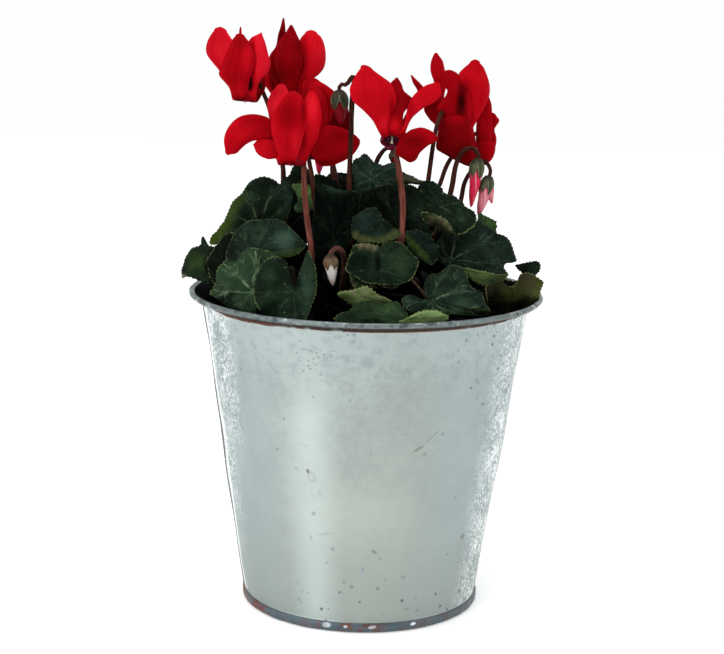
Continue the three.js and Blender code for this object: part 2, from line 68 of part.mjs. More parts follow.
    {"name":"leaf_back_middle_right_low","c":[28.3,33.7,131.0],"b":[[27.3,33.5,131.8],[24.3,30.8,135.3],[19.6,29.5,138.6],[14.9,31.3,140.0],[12.0,35.9,138.8],[11.9,42.0,135.0],[13.9,47.6,129.9],[17.7,50.9,124.9],[22.8,52.5,120.0],[28.9,51.8,115.7],[34.2,50.0,112.6],[37.2,48.3,111.3],[39.5,45.5,111.7],[42.6,40.2,113.3],[45.0,33.6,116.0],[45.2,27.6,119.9],[43.5,22.4,124.6],[39.4,18.6,130.1],[34.3,17.0,134.8],[29.7,18.8,137.3],[27.0,23.3,137.3],[26.9,28.6,134.8],[28.4,32.6,131.6]],"path":[[28.3,33.7,131.0],[27.6,30.1,125.5],[26.0,24.8,120.5],[24.1,19.3,115.5],[22.5,14.9,109.9],[21.8,13.2,103.4]],"rad":0.95,"tone":-0.1,"wave":0.6,"kind":"upper"},
    {"name":"leaf_back_middle_left_low","c":[1.6,45.0,132.0],"b":[[0.8,44.2,132.6],[-0.8,40.0,135.8],[-4.5,36.0,138.4],[-9.7,34.5,138.6],[-14.4,36.4,136.3],[-17.4,41.5,131.7],[-18.0,47.4,126.3],[-15.9,52.7,121.7],[-11.7,57.3,117.7],[-5.5,60.7,114.9],[0.6,62.7,113.1],[4.3,63.3,112.6],[7.7,62.4,113.8],[13.1,59.9,116.7],[18.4,56.0,120.7],[21.3,51.1,125.4],[22.0,45.7,130.3],[19.8,39.9,135.4],[15.6,35.1,139.3],[10.4,33.6,140.6],[5.5,35.5,139.4],[2.7,39.8,136.2],[2.2,44.1,132.8]],"path":[[1.6,45.0,132.0],[1.0,41.2,126.4],[-1.0,36.2,122.4],[-3.4,31.2,118.3],[-5.4,27.3,112.5],[-6.3,25.8,103.4]],"rad":0.95,"tone":0.25,"wave":0.6,"kind":"upper"},
    {"name":"leaf_back_left_low","c":[-25.9,35.6,131.0],"b":[[-25.9,34.6,131.8],[-23.9,31.0,135.3],[-23.7,26.2,138.6],[-26.5,22.0,140.0],[-31.5,20.2,138.8],[-37.5,21.4,135.0],[-42.5,24.6,129.9],[-45.0,29.0,124.8],[-45.4,34.3,120.0],[-43.4,40.2,115.8],[-40.5,45.0,112.6],[-38.2,47.5,111.3],[-35.0,49.1,111.7],[-29.0,51.0,113.3],[-22.2,51.9,116.0],[-16.2,50.8,119.9],[-11.5,48.0,124.6],[-8.7,43.2,130.1],[-8.3,37.8,134.8],[-11.0,33.7,137.3],[-15.9,32.1,137.2],[-21.1,33.1,134.8],[-24.8,35.4,131.6]],"path":[[-25.9,35.6,131.0],[-23.0,31.9,127.6],[-20.4,27.7,123.2],[-18.3,23.8,117.7],[-16.9,20.9,111.1],[-16.4,19.7,103.4]],"rad":0.95,"tone":0.0,"wave":0.6,"kind":"upper"},
    {"name":"leaf_back_far_left_low","c":[-39.2,12.0,133.0],"b":[[-38.5,11.3,133.6],[-34.5,10.0,136.5],[-30.9,6.7,139.0],[-29.7,2.0,139.7],[-31.8,-2.5,138.2],[-36.7,-5.5,134.6],[-42.5,-6.3,130.0],[-47.5,-4.6,125.8],[-51.7,-1.0,121.9],[-54.7,4.5,118.8],[-56.4,9.9,116.6],[-56.7,13.2,115.8],[-55.8,16.5,116.4],[-53.1,21.6,118.4],[-49.1,26.6,121.3],[-44.2,29.5,125.0],[-39.0,30.4,129.1],[-33.5,28.7,133.7],[-29.2,25.1,137.5],[-27.9,20.3,139.2],[-30.0,15.9,138.8],[-34.2,13.3,136.4],[-38.4,12.6,133.6]],"path":[[-39.2,12.0,133.0],[-32.4,14.7,128.8],[-22.9,16.7,126.8],[-13.0,17.9,124.0],[-5.3,18.7,117.2],[-2.2,18.9,103.4]],"rad":0.95,"tone":0.2,"wave":0.6,"kind":"upper"},
    {"name":"leaf_back_right_high","c":[18.8,19.4,152.0],"b":[[17.7,19.3,152.5],[14.0,16.8,155.0],[8.9,15.8,156.9],[4.3,17.5,156.9],[2.1,21.7,155.0],[3.0,27.4,151.3],[6.1,32.4,146.9],[10.8,35.4,143.2],[16.6,36.7,139.9],[23.2,35.9,137.5],[28.8,34.1,136.0],[31.8,32.4,135.6],[33.8,29.8,136.6],[36.2,24.8,139.0],[37.6,18.7,142.3],[36.7,13.2,146.1],[34.0,8.5,150.1],[28.9,5.1,154.3],[23.0,3.8,157.4],[18.3,5.5,158.5],[15.9,9.8,157.7],[16.5,14.7,155.3],[18.7,18.4,152.6]],"path":[[18.8,19.4,152.0],[18.2,20.4,141.2],[14.5,22.3,130.8],[9.7,24.3,120.9],[5.4,26.0,111.7],[3.6,26.7,103.4]],"rad":0.95,"tone":0.0,"wave":0.6,"kind":"upper"},
    {"name":"leaf_back_middle_high","c":[-0.9,27.0,158.0],"b":[[-1.6,26.1,158.5],[-2.5,21.6,161.0],[-5.4,17.2,163.1],[-10.1,15.4,163.7],[-15.0,17.3,162.6],[-18.6,22.6,159.6],[-20.2,28.9,155.7],[-19.0,34.7,152.1],[-15.8,39.9,148.6],[-10.5,43.8,145.6],[-5.2,46.3,143.4],[-1.9,47.1,142.5],[1.6,46.3,143.0],[7.1,43.8,144.5],[12.7,39.9,146.8],[16.3,34.7,149.9],[17.9,28.9,153.4],[16.7,22.6,157.5],[13.5,17.3,160.8],[8.9,15.4,162.6],[4.1,17.2,162.5],[0.9,21.6,160.8],[-0.2,26.1,158.5]],"path":[[-0.9,27.0,158.0],[0.1,31.2,148.7],[-2.5,30.6,139.1],[-6.8,27.5,128.5],[-10.8,23.9,116.8],[-12.6,22.3,103.4]],"rad":0.95,"tone":0.15,"wave":0.6,"kind":"upper"},
    {"name":"leaf_back_left_high","c":[-19.7,22.6,150.0],"b":[[-19.6,21.6,150.5],[-17.7,18.1,153.0],[-17.2,13.3,154.9],[-19.2,9.1,155.1],[-23.4,7.3,153.2],[-28.5,8.5,149.6],[-32.9,11.8,145.4],[-35.2,16.3,141.6],[-35.8,21.8,138.3],[-34.4,27.7,135.9],[-32.2,32.7,134.3],[-30.4,35.4,133.8],[-27.7,37.0,134.7],[-22.9,38.9,137.0],[-17.1,39.8,140.2],[-12.0,38.6,143.9],[-8.0,35.8,147.8],[-5.3,30.9,151.9],[-4.7,25.3,155.1],[-6.8,21.1,156.3],[-11.0,19.3,155.5],[-15.5,20.2,153.2],[-18.7,22.5,150.6]],"path":[[-19.7,22.6,150.0],[-13.5,20.4,144.2],[-7.3,18.3,139.1],[-1.9,16.5,132.1],[2.0,15.2,121.0],[3.5,14.8,103.4]],"rad":0.95,"tone":-0.05,"wave":0.6,"kind":"upper"},
  ],
  flowers: [
    {"name":"flower_1","mouth":[-46.7,-4.0,192.9],"axis":[0.05,0.099,0.994],"ring":4.2,"rad":0.95,"petals":[{"name":"left","rows":[[-49.6,-5.0,192.9,-47.0,-5.0,193.0],[-53.2,-3.0,198.3,-49.4,-3.0,198.4],[-56.7,-1.0,203.3,-50.7,-2.0,203.5],[-61.2,1.0,209.0,-51.1,-1.0,208.6],[-61.3,2.0,213.0,-50.9,0.0,213.0],[-60.3,2.0,215.5,-52.5,1.0,215.1],[-58.9,2.0,217.6,-54.1,2.0,217.3]]},{"name":"front","rows":[[-50.9,-8.0,192.8,-45.7,-8.0,193.6],[-52.4,-10.5,197.7,-45.2,-9.5,197.4],[-55.6,-12.0,201.9,-44.3,-10.0,201.5],[-55.0,-12.0,204.6,-43.1,-10.0,204.8],[-53.6,-11.5,208.6,-42.8,-9.5,208.4],[-52.4,-10.0,212.2,-43.8,-8.0,212.0],[-51.2,-8.0,214.9,-45.2,-7.0,214.4],[-50.2,-6.5,216.3,-46.7,-6.5,216.0]]},{"name":"right","rows":[[-45.8,-6.0,193.5,-42.7,-6.0,193.9],[-45.7,-7.5,196.5,-41.9,-6.5,197.5],[-45.9,-8.0,199.5,-40.5,-6.0,200.2],[-45.6,-8.2,202.4,-38.1,-5.8,202.8],[-45.3,-7.8,206.1,-37.1,-5.2,206.5],[-45.3,-7.5,210.1,-38.0,-4.5,209.7],[-45.8,-6.5,213.3,-39.3,-3.5,213.7],[-44.3,-4.8,215.7,-40.3,-3.2,215.9],[-41.8,-3.5,216.8,-40.7,-3.5,217.3]]},{"name":"back_right","rows":[[-44.2,-2.0,193.2,-42.4,-2.0,193.3],[-43.2,-0.5,195.0,-39.9,0.5,195.8],[-43.0,0.5,199.0,-39.6,1.5,199.8],[-43.1,2.0,203.4,-39.3,2.0,204.2],[-42.4,2.0,207.1,-40.1,2.0,207.2]]},{"name":"back","rows":[[-47.7,-1.0,193.5,-46.2,-1.0,193.5],[-49.1,2.0,199.6,-45.3,2.0,199.6],[-50.8,4.0,206.9,-45.5,4.0,207.0],[-50.1,4.0,212.4,-46.7,4.0,212.5],[-49.7,3.5,215.4,-48.6,3.5,215.6],[-49.5,3.0,218.0,-48.8,3.0,218.1],[-49.3,3.0,219.0,-49.0,3.0,219.0]]}],"stem":[[-45.7,-3.0,198.1],[-44.4,-1.0,200.2],[-42.2,0.0,199.8],[-40.7,1.0,196.1],[-38.5,2.0,190.8],[-35.3,2.5,179.2],[-32.8,5.0,167.6],[-32.5,6.5,162.5],[-32.6,6.5,157.9],[-30.5,6.3,143.5],[-24.8,5.9,133.0],[-17.7,5.4,124.4],[-11.8,5.0,115.4],[-9.3,4.9,103.9]]},
    {"name":"flower_2","mouth":[-31.3,10.0,191.6],"axis":[-0.05,0.099,0.994],"ring":3.9,"rad":0.95,"petals":[{"name":"spike","rows":[[-33.1,8.0,192.8,-31.2,8.0,192.8],[-36.5,6.5,198.1,-32.0,7.5,198.1],[-38.7,6.5,203.3,-32.5,7.5,203.4],[-38.3,7.5,208.5,-33.0,8.5,208.2],[-36.1,9.0,212.2,-32.3,9.0,212.3],[-35.4,10.0,216.3,-32.6,10.0,216.0],[-34.4,10.0,219.6,-32.8,10.0,219.3],[-33.8,10.0,222.3,-33.2,10.0,222.3]]},{"name":"left","rows":[[-33.2,9.0,192.3,-32.0,9.0,192.4],[-38.3,9.0,194.9,-34.3,9.0,193.4],[-41.0,9.0,199.0,-35.9,9.0,197.9],[-40.4,10.0,201.5,-36.4,10.0,202.4],[-38.7,10.0,204.6,-36.1,10.0,206.1]]},{"name":"front","rows":[[-32.1,10.0,192.7,-29.8,10.0,192.7],[-34.8,6.0,199.6,-27.3,6.0,199.8],[-36.7,5.0,206.4,-25.8,5.0,206.2],[-36.0,6.0,211.4,-26.1,6.0,211.0],[-34.0,7.0,215.5,-27.1,7.0,214.7],[-32.2,8.0,217.9,-28.5,8.0,217.4],[-31.1,8.0,219.5,-29.8,8.0,219.7]]},{"name":"right","rows":[[-30.6,10.0,192.7,-28.7,10.0,192.7],[-29.0,7.5,196.7,-24.5,8.5,198.0],[-28.1,7.0,200.9,-19.6,9.0,201.7],[-27.6,6.8,205.7,-17.4,9.2,204.9],[-27.5,6.8,210.6,-17.1,9.2,209.6],[-27.4,8.0,213.7,-18.0,10.0,213.5],[-26.5,9.5,215.7,-19.2,10.5,215.8],[-25.3,11.0,216.9,-20.7,11.0,217.0]]},{"name":"back","rows":[[-32.3,14.0,192.4,-30.4,14.0,192.4],[-33.2,16.0,199.1,-27.1,16.0,199.2],[-33.4,18.0,206.6,-25.8,18.0,206.7],[-32.7,18.0,211.9,-27.4,18.0,212.0],[-31.2,17.0,213.5,-29.3,17.0,213.5]]}],"stem":[[-31.0,11.0,196.8],[-29.3,13.0,199.4],[-27.0,14.0,197.4],[-22.3,16.0,187.9],[-17.1,14.0,176.7],[-14.2,10.0,169.4],[-12.8,6.0,164.2],[-11.9,2.0,158.2],[-8.9,-4.6,147.0],[-4.8,-8.2,137.5],[-0.6,-9.8,128.3],[2.6,-10.0,117.5],[4.0,-9.9,103.7]]},
    {"name":"flower_3","mouth":[-28.7,-16.0,170.7],"axis":[0.02,0.119,0.993],"ring":4.4,"rad":1.1,"petals":[{"name":"left_back","rows":[[-31.7,-16.0,171.8,-30.2,-16.0,171.8],[-34.4,-14.0,177.0,-30.7,-14.0,177.1],[-36.3,-13.0,182.1,-30.8,-13.0,182.2],[-37.1,-12.0,186.7,-30.9,-12.0,186.9],[-37.7,-11.0,191.1,-30.6,-12.0,191.3],[-37.3,-10.5,194.0,-30.1,-11.5,194.2],[-36.1,-11.0,196.4,-30.1,-11.0,196.0],[-34.6,-11.0,198.1,-31.1,-11.0,198.0]]},{"name":"front","rows":[[-32.0,-20.0,171.1,-26.7,-20.0,170.6],[-33.8,-22.5,176.4,-25.6,-21.5,175.8],[-35.1,-23.8,181.2,-24.2,-22.2,180.2],[-35.7,-24.0,186.3,-23.0,-22.0,185.3],[-34.4,-23.0,190.2,-23.0,-21.0,189.6],[-32.4,-21.5,193.7,-23.7,-19.5,193.1],[-30.6,-19.5,196.1,-25.1,-18.5,195.5],[-29.0,-18.0,196.7,-26.6,-18.0,196.2]]},{"name":"right","rows":[[-27.5,-17.0,170.8,-24.6,-17.0,171.3],[-26.4,-18.5,175.1,-21.3,-17.5,175.5],[-25.7,-20.0,178.9,-19.4,-18.0,179.4],[-25.0,-20.0,182.6,-18.5,-18.0,183.3],[-24.7,-19.5,186.2,-17.9,-17.5,186.5],[-24.6,-19.0,189.4,-18.0,-17.0,189.4],[-24.3,-18.0,192.2,-18.3,-16.0,192.2],[-23.9,-16.5,194.5,-18.8,-15.5,194.6],[-23.0,-15.5,196.2,-19.8,-15.5,196.4]]},{"name":"drooping","rows":[[-32.4,-15.0,171.6,-30.6,-15.0,171.3],[-34.4,-15.0,179.0,-31.8,-15.0,175.3],[-36.1,-16.0,186.3,-34.3,-16.0,178.7],[-39.5,-17.0,188.0,-37.9,-17.0,178.6],[-43.8,-18.0,188.4,-41.9,-18.0,178.8],[-48.1,-19.0,187.1,-44.8,-19.0,177.6],[-51.4,-20.0,183.7,-46.9,-20.0,175.9],[-53.0,-21.0,179.5,-48.6,-21.0,174.3],[-52.5,-21.0,175.3,-50.8,-21.0,174.0]]},{"name":"left_low","rows":[[-31.3,-15.0,172.4,-32.1,-15.0,170.5],[-33.6,-16.0,177.6,-34.1,-16.0,172.2],[-36.8,-17.0,179.3,-37.1,-17.0,172.0],[-39.4,-17.0,179.3,-40.1,-17.0,173.2],[-41.4,-17.0,178.7,-41.6,-17.0,174.8],[-42.2,-17.0,177.6,-42.3,-17.0,176.8]]}],"stem":[[-28.7,-14.0,176.1],[-27.9,-12.0,178.8],[-26.1,-9.5,179.0],[-24.6,-9.5,176.1],[-24.1,-12.0,172.3],[-23.8,-17.0,168.4],[-23.5,-20.0,163.2],[-22.6,-24.0,154.5],[-21.3,-28.0,147.0],[-20.3,-32.0,142.1],[-19.9,-35.0,137.1],[-20.1,-34.0,131.4],[-17.1,-28.8,121.3],[-9.5,-19.9,116.2],[-0.3,-10.0,113.4],[7.4,-2.0,110.1],[10.6,1.3,103.7]]},
    {"name":"flower_4","mouth":[-20.1,4.0,170.9],"axis":[0.099,0.099,0.99],"ring":3.2,"rad":0.95,"petals":[{"name":"back_top","rows":[[-21.6,4.0,170.7,-19.4,4.0,170.7],[-23.2,2.0,177.6,-17.1,2.0,177.8],[-24.0,1.5,185.2,-14.6,2.5,185.3],[-24.4,2.0,191.9,-12.9,4.0,191.3],[-25.4,3.0,196.3,-12.0,5.0,194.6],[-25.6,4.5,198.8,-14.9,5.5,197.1],[-24.2,6.0,200.1,-19.0,6.0,199.4]]},{"name":"right_low","rows":[[-22.6,0.0,171.1,-21.1,0.0,169.2],[-21.7,-1.0,174.6,-18.8,-1.0,168.4],[-19.1,-1.5,179.6,-14.2,-1.5,168.4],[-16.4,-1.5,183.4,-9.4,-1.5,170.3],[-12.1,-1.0,183.3,-6.2,-1.0,172.5],[-8.1,-0.5,181.7,-4.3,-0.5,175.1],[-5.5,0.0,180.1,-3.5,0.0,177.3],[-4.1,0.0,178.7,-3.7,0.0,178.0]]},{"name":"right","rows":[[-20.1,5.0,169.8,-17.8,5.0,169.9],[-16.8,6.0,175.5,-11.9,6.0,175.6],[-15.4,6.0,182.0,-6.8,6.0,179.9],[-14.8,7.0,188.0,-7.8,7.0,186.6],[-13.4,7.0,192.5,-8.8,7.0,191.1],[-12.7,7.0,194.8,-10.0,7.0,194.1]]},{"name":"left","rows":[[-21.9,1.0,170.2,-20.0,1.0,169.1],[-24.2,0.0,174.0,-18.9,0.0,173.0],[-25.2,-1.0,178.6,-17.1,-1.0,177.7],[-25.6,-1.5,184.7,-15.9,-0.5,183.7],[-25.7,-1.0,190.6,-15.8,0.0,190.0],[-26.0,-0.5,194.3,-16.8,0.5,194.0],[-25.1,1.0,196.8,-18.9,1.0,196.6],[-23.3,2.0,198.2,-20.9,2.0,198.2]]},{"name":"back","rows":[[-21.0,8.0,170.3,-19.1,8.0,170.3],[-21.9,10.0,176.9,-16.6,10.0,177.0],[-22.5,12.0,184.4,-16.0,12.0,184.5],[-21.8,12.0,190.5,-16.5,12.0,190.6],[-20.3,11.0,192.9,-18.4,11.0,192.9]]}],"stem":[[-19.5,6.0,174.7],[-20.0,9.0,177.8],[-22.3,8.0,177.1],[-23.2,3.0,173.8],[-22.6,-1.0,170.4],[-21.6,-5.0,166.3],[-20.7,-8.0,161.1],[-19.8,-9.0,154.8],[-17.9,-9.3,146.1],[-15.2,-7.9,138.6],[-12.5,-5.6,130.3],[-10.4,-3.4,119.6],[-9.6,-2.5,104.6]]},
    {"name":"flower_5","mouth":[8.4,-14.0,179.6],"axis":[0.05,0.75,0.66],"ring":3.9,"rad":1.12,"petals":[{"name":"left","rows":[[4.5,-16.0,179.6,7.2,-16.0,181.8],[3.2,-17.5,183.3,7.3,-16.5,184.8],[1.1,-19.0,187.2,7.9,-17.0,188.1],[-2.6,-20.0,191.2,9.2,-17.0,192.2],[-6.2,-20.0,194.6,9.6,-17.0,195.1],[-7.3,-19.5,198.3,9.1,-16.5,197.6],[-6.7,-18.0,201.1,7.6,-16.0,200.7],[-5.3,-16.5,203.8,4.3,-15.5,203.2],[-3.8,-15.0,205.8,0.7,-15.0,205.5]]},{"name":"back","rows":[[6.8,-17.0,181.9,11.2,-17.0,182.0],[6.1,-16.5,185.5,12.2,-16.5,185.6],[6.8,-15.5,189.8,12.3,-15.5,189.6],[7.3,-13.0,192.9,14.6,-13.0,192.9],[7.2,-11.5,195.4,15.5,-11.5,195.3],[7.2,-10.0,198.6,12.4,-10.0,197.7],[7.5,-9.0,200.4,11.4,-9.0,200.0],[8.8,-8.0,201.4,10.3,-8.0,201.5]]},{"name":"right","rows":[[10.9,-15.0,181.1,12.5,-15.0,181.8],[12.6,-16.5,185.2,13.9,-15.5,184.7],[13.4,-16.5,188.9,16.1,-15.5,188.5],[14.0,-15.5,192.4,19.5,-14.5,191.8],[15.6,-14.5,195.8,23.3,-13.5,193.9],[19.5,-13.5,199.6,26.1,-12.5,196.9],[23.1,-12.0,200.9,25.6,-12.0,199.6]]},{"name":"right_low","rows":[[12.0,-15.5,180.8,8.8,-15.5,176.8],[13.7,-16.5,183.1,9.6,-16.5,175.4],[15.3,-17.5,184.2,12.1,-17.5,173.4],[17.3,-18.5,184.8,14.7,-18.5,172.1],[19.3,-18.5,184.9,17.0,-18.5,172.8],[21.5,-18.5,184.3,18.6,-18.5,175.6],[23.6,-18.0,183.1,21.7,-18.0,178.4],[24.5,-17.5,181.8,24.1,-17.5,179.9]]},{"name":"thin","rows":[[11.3,-11.0,181.8,12.4,-11.0,182.2],[12.6,-9.0,187.6,14.5,-9.0,186.9],[15.5,-7.0,193.4,18.5,-7.0,192.7],[17.5,-6.0,197.4,20.0,-6.0,197.9],[15.8,-6.0,200.2,18.9,-6.0,199.7],[14.8,-6.0,203.1,15.4,-6.0,202.9]]}],"stem":[[8.8,-9.0,183.8],[9.9,-6.0,186.2],[11.6,-4.5,186.1],[12.5,-5.5,183.2],[11.8,-7.0,178.9],[10.4,-9.0,175.7],[10.1,-12.0,173.8],[10.8,-15.0,170.8],[11.9,-18.0,164.5],[12.8,-23.0,157.0],[12.7,-28.0,150.3],[12.1,-33.0,144.1],[10.0,-32.6,137.8],[5.7,-25.2,130.3],[0.9,-14.9,122.3],[-3.1,-5.8,114.5],[-4.8,-1.8,107.4]]},
    {"name":"flower_6","mouth":[31.9,6.0,174.7],"axis":[0.03,0.099,0.995],"ring":3.8,"rad":0.85,"petals":[{"name":"top_left","rows":[[29.7,8.0,175.2,31.2,8.0,175.2],[26.8,9.0,183.8,30.6,9.0,183.9],[25.0,10.0,193.2,28.0,10.0,193.2],[24.4,10.0,196.6,28.2,10.0,196.3],[24.0,10.0,199.9,29.0,10.0,199.7],[22.6,10.0,204.1,27.9,10.0,204.9],[22.7,10.0,207.6,27.0,10.0,208.1],[23.7,10.0,210.3,25.5,10.0,210.0]]},{"name":"front","rows":[[29.1,3.0,174.9,33.6,3.0,175.0],[27.3,1.0,181.9,36.3,1.0,181.3],[26.7,1.0,186.7,38.0,1.0,186.6],[25.1,1.5,190.8,38.3,1.5,191.1],[28.0,2.0,194.9,37.8,2.0,195.1],[28.9,2.5,197.3,36.6,2.5,197.3],[27.0,4.0,199.4,35.9,4.0,199.6],[27.2,5.0,203.1,33.4,5.0,202.5]]},{"name":"left_low","rows":[[29.2,8.0,178.3,31.1,8.0,178.3],[25.4,9.0,183.0,30.2,9.0,182.7],[22.7,10.0,185.9,29.4,10.0,186.4],[20.5,10.0,189.7,28.9,10.0,190.2],[22.0,10.0,192.5,28.0,10.0,192.7],[25.0,10.0,194.3,26.9,10.0,194.4]]},{"name":"right","rows":[[33.0,6.0,174.7,34.9,6.0,174.8],[34.3,6.0,183.1,39.2,6.0,183.2],[34.3,4.5,190.0,42.7,5.5,189.4],[33.8,4.0,195.7,45.0,6.0,194.6],[33.0,4.0,200.5,45.0,6.0,199.9],[33.3,5.5,203.8,43.3,6.5,204.4],[35.3,6.0,206.0,42.2,6.0,206.3],[36.9,6.0,207.4,41.0,6.0,207.6]]},{"name":"low","rows":[[29.2,4.0,183.9,34.1,4.0,184.0],[26.7,0.0,186.8,37.8,0.0,186.7],[25.8,-1.5,182.8,39.2,-1.5,182.7],[25.3,-2.0,179.3,40.2,-2.0,177.9],[25.5,-2.0,175.3,40.3,-2.0,172.7],[29.7,-1.5,173.2,39.8,-1.5,169.3],[34.1,-1.0,171.9,38.7,-1.0,168.6]]}],"stem":[[31.8,8.0,180.2],[30.6,9.0,183.9],[27.9,4.0,188.8],[26.3,-3.0,188.4],[24.8,-5.0,183.5],[23.6,-6.0,175.7],[22.9,-5.0,168.8],[22.1,-3.0,161.8],[18.8,-0.7,149.1],[13.3,-0.8,137.9],[7.2,-2.2,127.6],[2.3,-3.8,117.7],[0.2,-4.6,107.6]]},
    {"name":"flower_7","mouth":[44.4,14.0,172.3],"axis":[0.03,0.099,0.995],"ring":2.7,"rad":0.9,"petals":[{"name":"front","rows":[[42.6,12.0,172.0,44.9,12.0,172.1],[40.9,10.0,177.6,46.5,10.0,176.9],[40.8,10.0,183.3,46.9,10.0,183.0],[41.2,10.5,188.6,46.5,10.5,188.7],[41.6,11.0,192.1,46.2,11.0,191.9],[42.9,12.0,193.9,45.5,12.0,193.6]]},{"name":"right","rows":[[44.3,14.0,171.5,46.6,14.0,171.2],[44.2,14.0,174.2,48.4,14.0,174.7],[44.0,14.0,178.0,48.8,14.0,178.7],[44.3,15.0,181.8,48.0,15.0,182.2],[44.2,15.0,185.0,49.7,15.0,185.5],[44.5,15.0,187.1,48.4,15.0,187.4]]},{"name":"low","rows":[[42.9,12.0,173.6,45.2,12.0,173.6],[41.2,9.0,177.7,47.9,9.0,177.8],[41.1,8.5,174.3,48.1,8.5,174.4],[41.8,8.7,171.4,47.0,8.7,171.3],[42.9,9.0,170.1,45.7,9.0,170.0]]},{"name":"back","rows":[[43.8,18.0,170.7,45.7,18.0,170.7],[42.5,21.0,177.3,48.0,21.0,177.5],[42.4,22.0,184.2,47.8,22.0,184.3],[43.3,22.0,190.4,46.4,22.0,190.5],[44.4,21.0,192.1,45.1,21.0,192.1]]},{"name":"back_left","rows":[[42.8,16.0,171.6,44.4,16.0,170.9],[41.3,19.0,177.5,44.4,19.0,177.6],[41.3,20.0,183.6,44.2,20.0,183.7],[41.7,20.0,188.2,44.0,20.0,188.3],[42.4,20.0,189.8,43.2,20.0,189.8]]}],"stem":[[44.2,16.0,175.5],[43.7,18.5,179.9],[41.6,20.0,180.1],[38.5,19.0,177.8],[34.6,15.0,174.3],[31.1,10.5,170.6],[29.0,5.5,167.1],[26.7,0.0,161.5],[21.8,-4.8,153.6],[15.0,-4.5,145.2],[8.0,-1.4,135.4],[2.5,2.2,123.3],[0.3,3.9,107.8]]},
  ],
  buds: [
    {"name":"bud_1","top":[-11.6,-8.0,196.8],"tip":[-10.7,-8.0,184.4],"sep":6.3,"rs":3.3,"rp":2.4,"tone":-0.6,"rad":0.95,"stem":[[-11.6,-8.0,196.6],[-11.5,-8.0,198.5],[-10.4,-8.0,199.6],[-9.1,-8.0,199.2],[-7.7,-8.0,201.1],[-6.5,-6.6,202.3],[-6.1,-5.0,200.6],[-6.6,-4.5,196.4],[-6.9,-4.5,189.0],[-6.9,-5.0,180.5],[-7.1,-5.5,171.2],[-7.2,-6.0,159.2],[-5.6,-6.2,151.1],[-1.7,-6.3,143.0],[3.0,-6.2,133.5],[7.0,-6.1,121.0],[8.6,-6.0,103.9]]},
    {"name":"bud_2","top":[40.8,-6.0,172.5],"tip":[38.7,-6.0,154.6],"sep":6.5,"rs":2.8,"rp":2.1,"tone":0.4,"rad":0.95,"stem":[[40.9,-6.0,172.3],[40.5,-6.0,174.8],[38.6,-6.0,176.7],[36.0,-6.0,176.3],[33.8,-6.0,173.9],[32.4,-6.0,169.5],[31.4,-7.0,162.9],[30.3,-8.0,158.1],[25.1,-9.1,144.6],[17.9,-7.2,134.2],[10.5,-3.9,125.5],[4.7,-0.7,117.3],[2.4,0.8,108.1]]},
    {"name":"bud_3","top":[45.3,-3.0,165.6],"tip":[41.8,-3.0,150.9],"sep":6.0,"rs":2.7,"rp":2.2,"tone":0.6,"rad":0.85,"stem":[[45.3,-3.0,165.5],[45.9,-1.5,167.8],[45.0,1.0,170.0],[43.3,4.0,171.0],[41.1,4.0,169.4],[38.5,4.0,166.3],[36.5,3.0,162.6],[34.9,0.0,155.3],[29.3,-3.3,141.4],[21.0,-1.8,130.4],[12.3,2.1,121.4],[5.4,6.2,113.5],[2.6,8.1,105.8]]},
    {"name":"bud_4","top":[-13.0,-47.0,141.3],"tip":[-11.8,-47.0,130.7],"sep":4.6,"rs":2.6,"rp":1.9,"tone":1.0,"rad":1.1,"stem":[[-13.0,-47.0,141.0],[-12.4,-46.0,142.8],[-10.7,-44.0,143.7],[-9.1,-41.0,142.3],[-8.2,-38.0,138.7],[-8.1,-35.0,132.9],[-8.9,-31.0,125.9],[-8.7,-24.5,122.1],[-7.0,-14.5,121.7],[-4.6,-3.8,121.3],[-2.5,4.7,117.2],[-1.6,8.2,106.0]]},
    {"name":"bud_5","top":[-18.8,9.0,172.9],"tip":[-19.0,9.0,163.9],"sep":3.5,"rs":1.7,"rp":1.7,"tone":0.5,"rad":0.8,"stem":[[-18.8,9.0,172.5],[-18.1,11.0,175.4],[-15.9,13.5,176.0],[-14.7,14.3,172.1],[-14.1,13.2,165.3],[-14.0,11.5,157.0],[-13.0,10.1,147.4],[-10.8,9.2,135.8],[-8.4,8.7,123.9],[-6.3,8.5,113.0],[-5.5,8.4,104.7]]},
    {"name":"bud_6","top":[9.5,9.0,173.1],"tip":[9.2,9.0,168.7],"sep":2.7,"rs":1.8,"rp":1.4,"tone":-0.6,"rad":0.9,"stem":[[9.5,9.0,172.8],[8.3,9.0,174.5],[6.4,9.0,174.4],[4.2,9.0,171.9],[2.7,9.0,168.4],[2.2,9.0,160.3],[0.8,8.4,150.8],[-1.4,7.0,142.0],[-3.8,5.3,132.6],[-5.7,4.0,121.3],[-6.5,3.4,106.6]]},
  ],
};

// ---- helpers ----
const V = (p) => new THREE.Vector3(p[0], p[1], p[2]);

// A closed three.js geometry as a solid, with its shared vertices merged.
function solid(geometry, near = 1e-4) {
  let g = geometry.clone();
  g.deleteAttribute('normal');
  if (g.attributes.uv) g.deleteAttribute('uv');
  g = mergeVertices(g, near);
  const index = g.index.array;
  const keep = [];
  for (let i = 0; i < index.length; i += 3) {
    const [a, b, c] = [index[i], index[i + 1], index[i + 2]];
    if (a !== b && b !== c && a !== c) keep.push(a, b, c);
  }
  return new Manifold(new SolidMesh({
    numProp: 3,
    vertProperties: new Float32Array(g.attributes.position.array),
    triVerts: new Uint32Array(keep),
  }));
}

